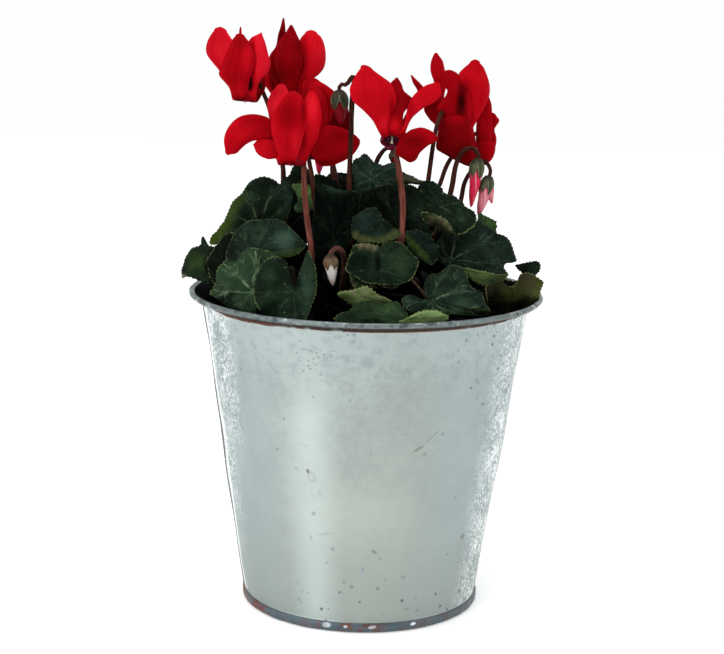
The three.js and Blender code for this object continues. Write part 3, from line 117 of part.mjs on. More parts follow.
// One connected solid that stays so once vertices a micrometre apart are merged.
function settled(body, finest = FINEST, clear = () => true) {
  let one = largest(body);
  for (const more of [1, 0.7, 1.4, 0.5, 0.35, 1.9, 0.2, 2.4]) {
    let last = one;
    for (let i = 0; i < 5; i++) {
      const g = geometryOf(last);
      g.deleteAttribute('normal');
      const again = solid(mergeVertices(g, 1e-3), 1e-3);
      if (i > 1 && again.decompose().length === 1 && unpinched(again) && clear(again)) return again;
      last = largest(again.simplify(finest * more));
    }
  }
  return one;
}

// True where every edge of the surface is shared by two faces, also once points that lie together are one.
function unpinched(body) {
  const m = body.getMesh();
  const ids = new Map(), edges = new Map(), id = [];
  for (let i = 0; i < m.vertProperties.length / 3; i++) {
    const key = [0, 1, 2].map((k) => Math.round(m.vertProperties[3 * i + k] * 5e3)).join();
    if (!ids.has(key)) ids.set(key, ids.size);
    id.push(ids.get(key));
  }
  for (let i = 0; i < m.triVerts.length; i += 3) {
    const f = [0, 1, 2].map((k) => id[m.triVerts[i + k]]);
    if (f[0] === f[1] || f[1] === f[2] || f[0] === f[2]) return false;
    for (let k = 0; k < 3; k++) {
      const p = f[k], q = f[(k + 1) % 3];
      const key = p < q ? p * 1e6 + q : q * 1e6 + p;
      edges.set(key, (edges.get(key) ?? 0) + 1);
    }
  }
  for (const n of edges.values()) if (n !== 2) return false;
  return true;
}

// Back to a three.js geometry.
function geometryOf(body) {
  const m = body.getMesh();
  const g = new THREE.BufferGeometry();
  g.setAttribute('position', new THREE.BufferAttribute(new Float32Array(m.vertProperties), 3));
  g.setIndex(new THREE.BufferAttribute(new Uint32Array(m.triVerts), 1));
  g.computeVertexNormals();
  return g;
}

// The largest connected piece of a solid.
function largest(body) {
  const parts = body.decompose();
  if (parts.length < 2) return body;
  return parts.reduce((a, b) => (volumeOf(b) > volumeOf(a) ? b : a));
}

function volumeOf(body) {
  const m = body.getMesh();
  const p = m.vertProperties, t = m.triVerts;
  let v = 0;
  for (let i = 0; i < t.length; i += 3) {
    const [a, b, c] = [t[i] * 3, t[i + 1] * 3, t[i + 2] * 3];
    v += p[a] * (p[b + 1] * p[c + 2] - p[b + 2] * p[c + 1])
       - p[a + 1] * (p[b] * p[c + 2] - p[b + 2] * p[c])
       + p[a + 2] * (p[b] * p[c + 1] - p[b + 1] * p[c]);
  }
  return v / 6;
}

// A round tube along a smooth curve.
function tube(points, radius, sides, steps) {
  const ring = new THREE.Shape();
  for (let i = 0; i < sides; i++) {
    const a = (i / sides) * Math.PI * 2;
    if (i === 0) ring.moveTo(radius, 0);
    else ring.lineTo(radius * Math.cos(a), radius * Math.sin(a));
  }
  ring.closePath();
  const path = new THREE.CatmullRomCurve3(points, false, 'centripetal');
  return new THREE.ExtrudeGeometry(ring, { steps, bevelEnabled: false, extrudePath: path });
}

// A lathe whose axis runs from one point along a direction.
function turned(profile, sides, origin, axis) {
  const g = new THREE.LatheGeometry(profile.map(([r, h]) => new THREE.Vector2(r, h)), sides);
  const q = new THREE.Quaternion().setFromUnitVectors(new THREE.Vector3(0, 1, 0), axis.clone().normalize());
  g.applyQuaternion(q);
  g.translate(origin.x, origin.y, origin.z);
  return g;
}

// A thin sheet from rows of points, given as its two faces and closed round the edge.
function sheet(top, bottom) {
  const rows = top.length, cols = top[0].length;
  const position = [], index = [];
  for (const face of [top, bottom]) for (const row of face) for (const p of row) position.push(p.x, p.y, p.z);
  const at = (f, i, j) => f * rows * cols + i * cols + j;
  for (let i = 0; i < rows - 1; i++) {
    for (let j = 0; j < cols - 1; j++) {
      index.push(at(0, i, j), at(0, i + 1, j), at(0, i + 1, j + 1), at(0, i, j), at(0, i + 1, j + 1), at(0, i, j + 1));
      index.push(at(1, i, j), at(1, i + 1, j + 1), at(1, i + 1, j), at(1, i, j), at(1, i, j + 1), at(1, i + 1, j + 1));
    }
  }
  const edge = [];
  for (let j = 0; j < cols; j++) edge.push([0, j]);
  for (let i = 1; i < rows; i++) edge.push([i, cols - 1]);
  for (let j = cols - 2; j >= 0; j--) edge.push([rows - 1, j]);
  for (let i = rows - 2; i > 0; i--) edge.push([i, 0]);
  for (let k = 0; k < edge.length; k++) {
    const [a, b] = edge[k], [c, d] = edge[(k + 1) % edge.length];
    index.push(at(0, a, b), at(0, c, d), at(1, c, d), at(0, a, b), at(1, c, d), at(1, a, b));
  }
  const g = new THREE.BufferGeometry();
  g.setAttribute('position', new THREE.Float32BufferAttribute(position, 3));
  g.setIndex(index);
  return g;
}

// Turns a solid's faces out if they point in.
function outward(geometry) {
  const p = geometry.attributes.position.array, t = geometry.index.array;
  let v = 0;
  for (let i = 0; i < t.length; i += 3) {
    const [a, b, c] = [t[i] * 3, t[i + 1] * 3, t[i + 2] * 3];
    v += p[a] * (p[b + 1] * p[c + 2] - p[b + 2] * p[c + 1])
       - p[a + 1] * (p[b] * p[c + 2] - p[b + 2] * p[c])
       + p[a + 2] * (p[b] * p[c + 1] - p[b + 1] * p[c]);
  }
  if (v < 0) {
    const flipped = [];
    for (let i = 0; i < t.length; i += 3) flipped.push(t[i], t[i + 2], t[i + 1]);
    geometry.setIndex(flipped);
  }
  return geometry;
}

// ---- leaves ----
// A blade spans from the point where its stalk meets it to its outline; the
// part of the outline out of the blade's plane comes in with a rounder rise.
const LEAF_SIDES = 11;
function blade(leaf, grow) {
  const centre = V(leaf.c);
  const outline = new THREE.CatmullRomCurve3(leaf.b.map(V), true, 'centripetal');
  const edge = outline.getSpacedPoints(LEAF_SIDES).slice(0, LEAF_SIDES);
  const normal = new THREE.Vector3();
  edge.forEach((p, i) => normal.add(new THREE.Vector3().crossVectors(
    p.clone().sub(centre), edge[(i + 1) % LEAF_SIDES].clone().sub(centre))));
  normal.normalize();
  const half = LEAF_THICKNESS / 2 + grow;
  const point = (p, rho) => {
    const d = p.clone().sub(centre);
    const out = d.dot(normal);
    const flat = d.clone().addScaledVector(normal, -out);
    const reach = flat.length() || 1;
    const s = rho === 1 ? (reach + grow) / reach : rho;
    return centre.clone().addScaledVector(flat, s).addScaledVector(normal, out * Math.pow(rho, 1.7));
  };
  const position = [], index = [];
  const put = (p, side) => position.push(...p.clone().addScaledVector(normal, side * half).toArray());
  const rings = [0.55, 1];
  for (const side of [1, -1]) {
    put(centre, side);
    for (const rho of rings) edge.forEach((p) => put(point(p, rho), side));
  }
  const n = LEAF_SIDES, base = [0, 1 + 2 * n];
  for (let i = 0; i < n; i++) {
    const j = (i + 1) % n;
    for (const f of [0, 1]) {
      const o = base[f], r1 = o + 1, r2 = o + 1 + n;
      const tri = (a, b, c) => (f === 0 ? index.push(a, b, c) : index.push(a, c, b));
      tri(o, r1 + i, r1 + j);
      tri(r1 + i, r2 + i, r2 + j);
      tri(r1 + i, r2 + j, r1 + j);
    }
    const t = base[0] + 1 + n, b = base[1] + 1 + n;
    index.push(t + i, b + i, b + j, t + i, b + j, t + j);
  }
  const g = new THREE.BufferGeometry();
  g.setAttribute('position', new THREE.Float32BufferAttribute(position, 3));
  g.setIndex(index);
  return { geometry: outward(g), normal };
}

function leafSolid(leaf, grow) {
  const { geometry, normal } = blade(leaf, grow);
  const path = leaf.path.map(V);
  const stalk = tube(path, leaf.rad + grow, 4, 5);
  return solid(geometry).add(solid(outward(indexed(stalk))));
}

function indexed(geometry) {
  const g = geometry.clone();
  g.deleteAttribute('normal');
  if (g.attributes.uv) g.deleteAttribute('uv');
  return mergeVertices(g, 1e-4);
}

// ---- flowers ----
function petal(flower, rows, grow) {
  const mouth = V(flower.mouth), axis = V(flower.axis).normalize();
  const side = new THREE.Vector3(1, 0, 0).addScaledVector(axis, -axis.x).normalize();
  const front = new THREE.Vector3().crossVectors(axis, side);
  const pairs = rows.map((r) => [V(r.slice(0, 3)), V(r.slice(3, 6))]);
  const aim = pairs[1][0].clone().add(pairs[1][1]).multiplyScalar(0.5).sub(mouth);
  const bearing = Math.atan2(aim.dot(front), aim.dot(side));
  const onRing = (a, radius, drop) => mouth.clone()
    .addScaledVector(side, radius * Math.cos(a)).addScaledVector(front, radius * Math.sin(a)).addScaledVector(axis, -drop);
  const spread = 0.5;
  let ends = [bearing - spread, bearing + spread];
  if (onRing(ends[0], flower.ring, 0).distanceTo(pairs[1][0]) > onRing(ends[1], flower.ring, 0).distanceTo(pairs[1][0])) ends.reverse();
  const lip = [
    [onRing(ends[0], flower.ring - 0.45, -0.9), onRing(ends[1], flower.ring - 0.45, -0.9)],
    [onRing(ends[0], flower.ring + 0.5, 0.9), onRing(ends[1], flower.ring + 0.5, 0.9)],
  ];
  const rest = pairs.slice(1);
  const picked = rest.filter((_, i) => (rest.length - 1 - i) % 2 === 0);
  const all = [...lip, ...picked];
  const half = PETAL_THICKNESS / 2 + grow;
  const centreline = all.map(([a, b]) => a.clone().add(b).multiplyScalar(0.5));
  const top = [], bottom = [];
  all.forEach(([a, b], i) => {
    const along = centreline[Math.min(i + 1, all.length - 1)].clone().sub(centreline[Math.max(i - 1, 0)]).normalize();
    const across = b.clone().sub(a);
    const width = across.length();
    const n = new THREE.Vector3().crossVectors(along, across).normalize();
    const lineup = [a.clone().addScaledVector(across, -grow / width), b.clone().addScaledVector(across, grow / width)];
    if (grow > 0 && i === all.length - 1) lineup.forEach((p) => p.addScaledVector(along, grow));
    top.push(lineup.map((p) => p.clone().addScaledVector(n, half)));
    bottom.push(lineup.map((p) => p.clone().addScaledVector(n, -half)));
  });
  return outward(sheet(top, bottom));
}

function corolla(flower, grow) {
  const mouth = V(flower.mouth), axis = V(flower.axis).normalize();
  const R = flower.ring;
  let body = solid(outward(indexed(turned([
    [0, TUBE_HEIGHT - 0.9], [1.6, TUBE_HEIGHT - 0.9], [R - 0.9, 0], [R + grow, -grow], [2.5 + grow, TUBE_HEIGHT + grow], [0, TUBE_HEIGHT + grow],
  ], 8, mouth, axis))));
  for (const p of flower.petals) body = body.add(solid(petal(flower, p.rows, grow)));
  return body;
}

function flowerStem(flower, grow) {
  const mouth = V(flower.mouth), axis = V(flower.axis).normalize();
  const top = mouth.clone().addScaledVector(axis, TUBE_HEIGHT + GAP + 0.1);
  const path = [top.clone().addScaledVector(axis, 1.6), ...flower.stem.slice(1).map(V)];
  const stalk = solid(outward(indexed(tube(path, flower.rad + grow, 5, 13))));
  const calyx = solid(outward(indexed(turned([[0, 0 - grow], [CALYX_RADIUS + grow, 0 - grow], [CALYX_RADIUS - 0.2 + grow, 1.2], [1.2 + grow, 3 + grow], [0, 3 + grow]], 6, top, axis))));
  return stalk.add(calyx);
}

function bud(b, grow) {
  const top = V(b.top), tip = V(b.tip);
  const axis = top.clone().sub(tip);
  const length = axis.length();
  axis.normalize();
  const s = length - b.sep;
  const body = solid(outward(indexed(turned([
    [0, -grow], [0.5 + grow, 0.2 - grow], [b.rp * 0.75 + grow, s * 0.45], [b.rp + grow, s * 0.9], [b.rs + grow, s + b.sep * 0.35], [b.rs * 0.8 + grow, s + b.sep * 0.75], [1.4 + grow, length + 0.4 + grow], [0, length + 0.4 + grow],
  ], 7, tip, axis))));
  const path = [top.clone().addScaledVector(axis, -1.2), ...b.stem.slice(1).map(V)];
  const stalk = solid(outward(indexed(tube(path, b.rad + grow, 5, 11))));
  return body.add(stalk);
}

// ---- the pot and what it holds ----
function lathe(profile, sides) {
  return outward(indexed(turned(profile, sides, new THREE.Vector3(), new THREE.Vector3(0, 0, 1))));
}

function potWall(grow) {
  const bead = { r: RIM_RADIUS - BEAD_RADIUS, z: POT_HEIGHT - BEAD_RADIUS };
  const b = BEAD_RADIUS + grow;
  const profile = [];
  const flare = POT_HEIGHT - 4.7;
  // outside, foot to bead
  profile.push([FOOT_RADIUS - 1.5 - grow, -grow], [FOOT_RADIUS - 0.3 + grow, -grow], [FOOT_RADIUS + grow, 0.5], [FOOT_RADIUS + grow, FOOT_HEIGHT - 0.5], [FOOT_RADIUS - 0.5 + grow, FOOT_HEIGHT + grow]);
  profile.push([WALL_TOP_RADIUS + grow, flare], [WALL_TOP_RADIUS + 0.7 + grow, flare + 1.3], [bead.r - BEAD_RADIUS + 0.35 + grow, bead.z - BEAD_RADIUS * 0.85 - grow * 0.4]);
  for (const a of [-60, -5, 45, 95, 150]) {
    const t = THREE.MathUtils.degToRad(a);
    profile.push([bead.r + b * Math.cos(t), bead.z + b * Math.sin(t)]);
  }
  // inside, bead to foot
  profile.push([WALL_TOP_RADIUS + 0.9 - SHEET - grow, flare + 1.2], [WALL_TOP_RADIUS - SHEET - grow, flare - 0.2], [FOOT_RADIUS - 0.5 - SHEET - grow, FOOT_HEIGHT + 0.3], [FOOT_RADIUS - 1.5 - grow, FOOT_HEIGHT - 0.2]);
  profile.push(profile[0]);
  return lathe(profile, POT_SIDES);
}

const bodies = [];
function add(name, body, colour, roughness, metalness) {
  bodies.push({ name, body, colour, roughness, metalness });
}

const innerAt = (z) => FOOT_RADIUS - 0.5 - SHEET + (WALL_TOP_RADIUS - FOOT_RADIUS + 0.5) * (z - FOOT_HEIGHT) / (POT_HEIGHT - 4.7 - FOOT_HEIGHT);
const facet = Math.cos(Math.PI / POT_SIDES);
const wall = solid(potWall(0));
const baseR = (FOOT_RADIUS - 1.5 - GAP) * facet;
const base = solid(lathe([[0, BASE_RISE], [baseR - 1.5, BASE_RISE], [baseR - 0.4, BASE_RISE - 0.6], [baseR, BASE_RISE - 0.6], [baseR, BASE_RISE], [baseR - 1.2, BASE_RISE + SHEET], [0, BASE_RISE + SHEET]], 24));
const corm = (grow) => {
  const g = new THREE.SphereGeometry(1, 10, 7);
  g.rotateX(Math.PI / 2);
  g.scale(CORM_RADIUS + grow, CORM_RADIUS + grow, CORM_HALF_HEIGHT + grow);
  g.translate(0, 0, CORM_CENTRE);
  return solid(outward(indexed(g)));
};
const soilTopR = innerAt(SOIL_TOP) * facet - GAP;
const soilLowR = Math.min(baseR - 1.0, innerAt(4) * facet - GAP);
const soil = solid(lathe([[0, BASE_RISE + SHEET + GAP], [soilLowR, BASE_RISE + SHEET + GAP + 0.6], [innerAt(9) * facet - GAP, 9], [soilTopR, SOIL_TOP - 1.2], [soilTopR - 2, SOIL_TOP], [0, SOIL_TOP]], 24)).subtract(corm(GAP));
add('pot_wall', wall, 0xaeb8b6, 0.42, 0.85);
add('pot_base', base, 0xa4aeac, 0.45, 0.85);
add('soil', settled(soil), 0x1d1611, 0.95, 0);
add('corm', corm(0), 0x4a3628, 0.85, 0);

const soilGuard = solid(lathe([[0, SOIL_TOP - 8], [soilTopR - 1, SOIL_TOP - 8], [soilTopR, SOIL_TOP + GAP], [0, SOIL_TOP + GAP]], 24));
const rimGuard = solid(potWall(GAP)).add(corm(GAP)).add(soilGuard);
const taken = [{ body: rimGuard, box: rimGuard.boundingBox() }];
const placed = [];
const meets = (a, b) => [0, 1, 2].every((i) => a.min[i] <= b.max[i] && b.min[i] <= a.max[i]);
function place(name, make, colour, roughness, finest = FINEST) {
  let body = make(0);
  const box = body.boundingBox();
  for (const t of taken) if (meets(box, t.box)) body = body.subtract(t.body);
  const clear = (b) => placed.every((o) => !meets(b.boundingBox(), o.box) || volumeOf(b.intersect(o.body)) < 0.004);
  body = settled(body, finest, clear);
  placed.push({ body, box: body.boundingBox() });
  const grown = make(GAP);
  taken.push({ body: grown, box: grown.boundingBox() });
  add(name, body, colour, roughness, 0);
}

for (const f of PLANT.flowers) place(`${f.name}_stem`, (g) => flowerStem(f, g), 0x6b3a2c, 0.6);
for (const b of PLANT.buds) place(b.name, (g) => bud(b, g), b.tone < 0 ? 0x3b4636 : 0xc45a66, 0.6);
for (const f of PLANT.flowers) place(`${f.name}_petals`, (g) => corolla(f, g), 0xc01622, 0.55, 0.22);
const tone = (t) => new THREE.Color().setRGB(0.07 + 0.05 * t, 0.13 + 0.08 * t, 0.08 + 0.03 * t).getHex();
for (const l of PLANT.leaves) place(l.name, (g) => leafSolid(l, g), tone(Math.max(0, l.tone)), 0.55);

// ---- the scene graph ----
const pottedCyclamen = new THREE.Group();
const pot = new THREE.Group();
const plant = new THREE.Group();
pottedCyclamen.add(pot, plant);
for (const { name, body, colour, roughness, metalness } of bodies) {
  const mesh = new THREE.Mesh(geometryOf(body), new THREE.MeshStandardMaterial({ color: colour, roughness, metalness }));
  mesh.name = name;
  (name.startsWith('pot_') ? pot : plant).add(mesh);
}

export default pottedCyclamen;
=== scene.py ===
# Potted cyclamen: a red mini cyclamen in a tapered galvanised pot.
# Lengths in the tables are millimetres in the row frame: +Z up, origin at the centre of the pot's foot, -Y to the camera.
import bpy
import math
import numpy as np
from mathutils import Matrix, Vector


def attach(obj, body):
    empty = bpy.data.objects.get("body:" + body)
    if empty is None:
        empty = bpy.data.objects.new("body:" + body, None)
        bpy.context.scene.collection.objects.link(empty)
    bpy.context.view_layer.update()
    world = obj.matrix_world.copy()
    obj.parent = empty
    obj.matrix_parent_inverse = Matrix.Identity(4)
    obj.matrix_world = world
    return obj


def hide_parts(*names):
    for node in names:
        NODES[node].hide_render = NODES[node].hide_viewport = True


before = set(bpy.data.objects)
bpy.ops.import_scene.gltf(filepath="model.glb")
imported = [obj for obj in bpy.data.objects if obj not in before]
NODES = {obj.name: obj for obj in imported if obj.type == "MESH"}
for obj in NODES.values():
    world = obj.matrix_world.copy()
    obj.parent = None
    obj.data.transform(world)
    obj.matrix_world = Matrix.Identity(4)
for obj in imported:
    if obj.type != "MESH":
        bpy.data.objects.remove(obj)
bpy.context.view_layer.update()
MM = 0.001

# ---------------------------------------------------------------- layout of the plant
# c: where the stalk meets the blade; b: outline of the blade, so that it turns round the upper face's normal; path: stalk
# rows of a petal: left edge x, y, z and right edge x, y, z from the mouth to the tip
PLANT = {
    "leaves": [
        {'name': 'leaf_left_rim', 'c': [-61.4, -8.0, 129.4], 'b': [[-59.8, -8.3, 131.1], [-60.2, -6.5, 133.8], [-59.1, -6.2, 135.7], [-58.2, -5.8, 137.4], [-60.2, -4.1, 137.6], [-61.6, -1.9, 139.2], [-62.5, -0.4, 140.3], [-63.5, 0.4, 140.3], [-63.8, -0.9, 138.2], [-65.1, -0.6, 137.0], [-67.9, 0.8, 135.4], [-69.5, 1.1, 133.6], [-70.6, 1.0, 131.6], [-70.9, -0.3, 128.7], [-70.3, -2.0, 126.3], [-69.6, -3.5, 124.4], [-66.5, -5.8, 125.1], [-63.6, -8.4, 124.8], [-61.5, -10.2, 124.4], [-59.9, -11.4, 124.5], [-58.9, -11.5, 125.9], [-58.8, -10.8, 127.7]], 'wave': 0.5, 'tone': 0.35, 'kind': 'upper', 'rad': 0.95, 'path': [[-61.4, -8.0, 129.4], [-51.3, -9.0, 121.0], [-40.6, -6.0, 117.3], [-31.0, -1.1, 115.2], [-24.0, 3.4, 111.6], [-21.3, 5.3, 103.4]]},
        {'name': 'leaf_left_inner', 'c': [-53.2, -16.0, 133.2], 'b': [[-51.0, -18.9, 127.0], [-49.9, -18.8, 129.2], [-48.9, -18.1, 133.6], [-48.7, -16.8, 138.0], [-48.8, -15.4, 141.5], [-50.0, -13.9, 143.9], [-52.7, -12.9, 142.9], [-55.4, -12.2, 140.9], [-57.7, -11.9, 138.5], [-59.5, -11.7, 135.8], [-60.3, -11.9, 133.9], [-60.4, -12.7, 131.0], [-59.5, -14.2, 127.5], [-56.4, -16.5, 124.9], [-52.9, -18.3, 125.3]], 'wave': 0.5, 'tone': -0.4, 'kind': 'under', 'rad': 0.95, 'path': [[-53.2, -16.0, 133.2], [-41.6, -16.1, 130.9], [-30.1, -14.7, 129.2], [-19.9, -12.5, 125.6], [-12.8, -10.6, 117.8], [-10.1, -9.8, 103.4]]},
        {'name': 'leaf_upper_left', 'c': [-40.5, -12.0, 146.5], 'b': [[-34.7, -14.5, 144.7], [-31.5, -12.1, 147.8], [-29.5, -8.7, 151.5], [-28.6, -4.5, 155.6], [-28.7, 0.1, 159.5], [-29.8, 3.3, 162.2], [-31.4, 4.3, 163.0], [-33.3, 3.3, 162.1], [-34.4, 3.1, 161.9], [-35.6, 4.3, 162.7], [-37.2, 5.1, 163.2], [-39.1, 5.7, 163.4], [-41.0, 5.8, 163.2], [-43.3, 5.0, 162.1], [-45.1, 3.8, 160.6], [-46.5, 2.3, 158.9], [-47.9, 0.8, 157.1], [-49.7, -0.1, 155.7], [-51.5, -1.1, 153.8], [-52.5, -2.4, 152.1], [-53.5, -4.6, 149.3], [-54.0, -6.4, 146.9], [-55.5, -6.5, 145.7], [-57.0, -7.2, 143.9], [-58.8, -7.5, 142.0], [-59.4, -8.8, 139.5], [-54.3, -11.7, 139.7], [-49.2, -14.3, 139.4], [-44.3, -15.2, 140.8], [-39.1, -15.5, 142.5]], 'wave': 0.4, 'tone': 0.05, 'kind': 'upper', 'rad': 0.95, 'path': [[-40.5, -12.0, 146.5], [-36.5, -11.4, 138.8], [-30.9, -5.5, 130.6], [-25.0, 2.4, 121.9], [-20.5, 9.5, 112.7], [-18.6, 12.5, 103.4]]},
        {'name': 'leaf_left_front_high', 'c': [-41.0, -31.0, 138.1], 'b': [[-40.1, -33.2, 136.3], [-35.1, -33.5, 137.6], [-32.2, -33.3, 138.3], [-29.3, -33.6, 138.4], [-26.4, -33.0, 139.2], [-24.3, -32.0, 140.0], [-22.9, -30.9, 140.9], [-21.9, -29.3, 142.2], [-23.0, -28.1, 143.2], [-24.6, -26.6, 144.5], [-26.5, -24.6, 146.0], [-28.4, -22.5, 147.5], [-30.4, -20.2, 149.0], [-32.7, -18.2, 150.1], [-36.2, -16.8, 150.6], [-39.2, -16.2, 150.5], [-42.5, -15.7, 149.9], [-45.1, -16.1, 148.8], [-47.2, -17.0, 147.4], [-48.9, -18.8, 145.4], [-50.2, -20.9, 143.0], [-51.1, -23.1, 140.7], [-51.7, -24.9, 138.8], [-51.5, -27.0, 136.9], [-49.9, -29.1, 135.8], [-46.1, -31.1, 135.8]], 'wave': 0.3, 'tone': 0.1, 'kind': 'upper', 'rad': 0.95, 'path': [[-41.0, -31.0, 138.1], [-32.5, -30.7, 135.5], [-25.1, -27.3, 131.5], [-19.3, -22.6, 125.3], [-15.4, -18.5, 116.1], [-14.0, -16.7, 103.4]]},
        {'name': 'leaf_left_front_low', 'c': [-40.0, -45.0, 127.4], 'b': [[-39.4, -43.3, 129.6], [-39.0, -39.6, 133.7], [-36.2, -38.2, 137.2], [-33.4, -37.4, 139.9], [-35.4, -34.9, 140.7], [-37.7, -32.6, 141.0], [-40.4, -30.4, 141.0], [-43.0, -28.5, 140.7], [-46.1, -26.6, 139.9], [-48.3, -26.0, 138.7], [-50.5, -26.0, 136.8], [-52.3, -27.0, 134.3], [-54.1, -27.1, 132.4], [-55.1, -28.1, 130.3], [-56.1, -29.1, 128.2], [-57.5, -29.4, 126.4], [-58.5, -30.1, 124.4], [-56.0, -33.5, 123.5], [-52.6, -30.8, 120.4], [-46.8, -38.9, 119.5], [-42.1, -44.0, 119.1], [-39.1, -46.6, 120.1], [-38.7, -48.2, 125.1]], 'wave': 0.4, 'tone': 0.3, 'kind': 'upper', 'rad': 0.95, 'path': [[-40.0, -45.0, 127.4], [-37.3, -36.7, 122.2], [-33.2, -27.3, 118.2], [-28.9, -18.5, 114.4], [-25.6, -11.9, 109.8], [-24.2, -9.4, 103.4]]},
        {'name': 'leaf_front_left', 'c': [-25.3, -54.5, 129.8], 'b': [[-25.9, -53.4, 131.7], [-26.5, -52.0, 134.0], [-27.4, -50.3, 136.5], [-28.5, -48.4, 139.0], [-30.4, -47.2, 140.4], [-32.6, -46.4, 140.8], [-35.4, -46.5, 139.7], [-37.8, -47.2, 137.6], [-39.1, -48.5, 134.9], [-40.1, -49.7, 132.2], [-40.3, -51.1, 129.5], [-39.5, -52.8, 126.6], [-37.9, -54.6, 123.8], [-36.0, -51.2, 119.9], [-31.9, -53.7, 118.0], [-26.5, -56.6, 117.6], [-22.5, -58.2, 118.4], [-20.8, -59.0, 120.7], [-19.8, -57.7, 124.1], [-18.5, -56.6, 126.7], [-17.5, -55.5, 129.1], [-17.3, -53.7, 132.3], [-17.9, -51.8, 135.5], [-18.6, -49.9, 138.4], [-19.7, -48.1, 141.0], [-20.9, -46.5, 143.0], [-21.9, -47.8, 141.2], [-22.8, -49.3, 139.0], [-23.8, -51.1, 136.0], [-24.7, -53.1, 132.4]], 'wave': 0.35, 'tone': 0.05, 'kind': 'upper', 'rad': 0.95, 'path': [[-25.3, -54.5, 129.8], [-25.4, -53.5, 133.2], [-26.1, -50.0, 137.2], [-30.4, -35.9, 127.3], [-28.2, -20.2, 121.6], [-22.7, -5.7, 117.5], [-17.1, 5.0, 112.3], [-14.5, 9.2, 103.4]]},
        {'name': 'leaf_centre_left_deep', 'c': [-12.2, -22.0, 144.1], 'b': [[-8.4, -23.8, 139.6], [-6.3, -22.3, 142.4], [-4.6, -19.8, 146.9], [-3.6, -16.9, 151.7], [-3.0, -13.7, 156.5], [-4.2, -11.7, 159.6], [-6.8, -11.4, 160.5], [-9.8, -11.6, 160.6], [-12.0, -11.4, 161.1], [-14.3, -10.9, 161.9], [-16.5, -10.7, 162.2], [-18.8, -10.8, 162.0], [-19.8, -11.9, 160.4], [-20.0, -14.3, 157.0], [-19.9, -16.6, 153.6], [-20.2, -18.7, 150.1], [-20.4, -20.6, 146.7], [-20.1, -22.4, 143.2], [-20.2, -24.0, 139.7], [-19.0, -24.9, 137.7], [-15.3, -25.2, 137.1], [-10.6, -24.8, 137.8]], 'wave': 0.5, 'tone': -0.45, 'kind': 'upper', 'rad': 0.95, 'path': [[-12.2, -22.0, 144.1], [-11.6, -22.1, 138.9], [-11.6, -20.2, 131.5], [-12.0, -17.3, 122.6], [-12.5, -14.7, 113.0], [-12.7, -13.5, 103.4]]},
        {'name': 'leaf_behind_stems_right', 'c': [-15.2, -1.0, 159.2], 'b': [[-11.3, -3.6, 155.1], [-8.3, -2.5, 156.5], [-8.4, -1.0, 159.0], [-10.3, -0.6, 159.7], [-11.5, 0.5, 161.4], [-13.1, 1.4, 162.8], [-15.4, 2.4, 164.1], [-17.7, 2.9, 164.8], [-20.0, 3.3, 165.1], [-21.1, 2.4, 163.8], [-21.7, 0.6, 161.1], [-22.0, -1.2, 158.3], [-20.4, -3.1, 155.6], [-16.2, -3.6, 155.0]], 'wave': 0.5, 'tone': -0.15, 'kind': 'upper', 'rad': 0.95, 'path': [[-15.2, -1.0, 159.2], [-14.5, 0.0, 141.7], [-13.5, 3.6, 130.1], [-12.4, 8.2, 121.6], [-11.5, 12.1, 113.6], [-11.2, 13.8, 103.4]]},
        {'name': 'leaf_behind_stems_left', 'c': [-27.8, 9.5, 159.2], 'b': [[-23.8, 4.7, 151.0], [-22.2, 7.0, 155.0], [-21.6, 9.7, 159.3], [-22.1, 11.6, 162.2], [-23.0, 13.3, 164.7], [-24.2, 14.0, 165.7], [-25.4, 14.7, 166.8], [-27.0, 15.2, 167.5], [-28.9, 14.8, 166.9], [-30.0, 13.4, 164.9], [-30.6, 12.2, 163.1], [-31.8, 11.5, 162.0], [-31.3, 10.3, 160.2], [-30.6, 8.6, 157.7], [-30.6, 6.9, 154.8], [-30.9, 4.9, 151.2], [-29.1, 3.5, 148.8], [-26.2, 3.5, 148.8]], 'wave': 0.5, 'tone': -0.1, 'kind': 'upper', 'rad': 0.95, 'path': [[-27.8, 9.5, 159.2], [-27.3, 6.2, 157.0], [-24.8, 1.0, 150.9], [-21.5, -4.6, 140.3], [-18.7, -9.0, 124.6], [-17.5, -10.9, 103.4]]},
        {'name': 'leaf_young_bright', 'c': [-25.3, -4.0, 155.6], 'b': [[-24.3, -6.4, 151.0], [-21.7, -5.7, 151.7], [-19.9, -4.7, 153.1], [-19.6, -3.2, 156.0], [-20.9, -1.9, 158.4], [-21.7, -0.8, 160.6], [-22.9, -0.4, 161.6], [-24.7, -0.5, 161.8], [-27.0, -0.8, 161.6], [-29.0, -1.3, 161.0], [-27.6, -2.5, 158.7], [-26.4, -3.7, 156.3], [-26.4, -4.7, 154.5], [-27.8, -5.6, 153.1], [-26.6, -6.4, 151.3]], 'wave': 0.3, 'tone': 1.0, 'kind': 'upper', 'rad': 0.8, 'path': [[-25.3, -4.0, 155.6], [-20.7, -1.6, 151.4], [-16.9, 3.9, 141.5], [-14.1, 10.4, 128.5], [-12.3, 15.9, 115.0], [-11.7, 18.2, 103.4]]},
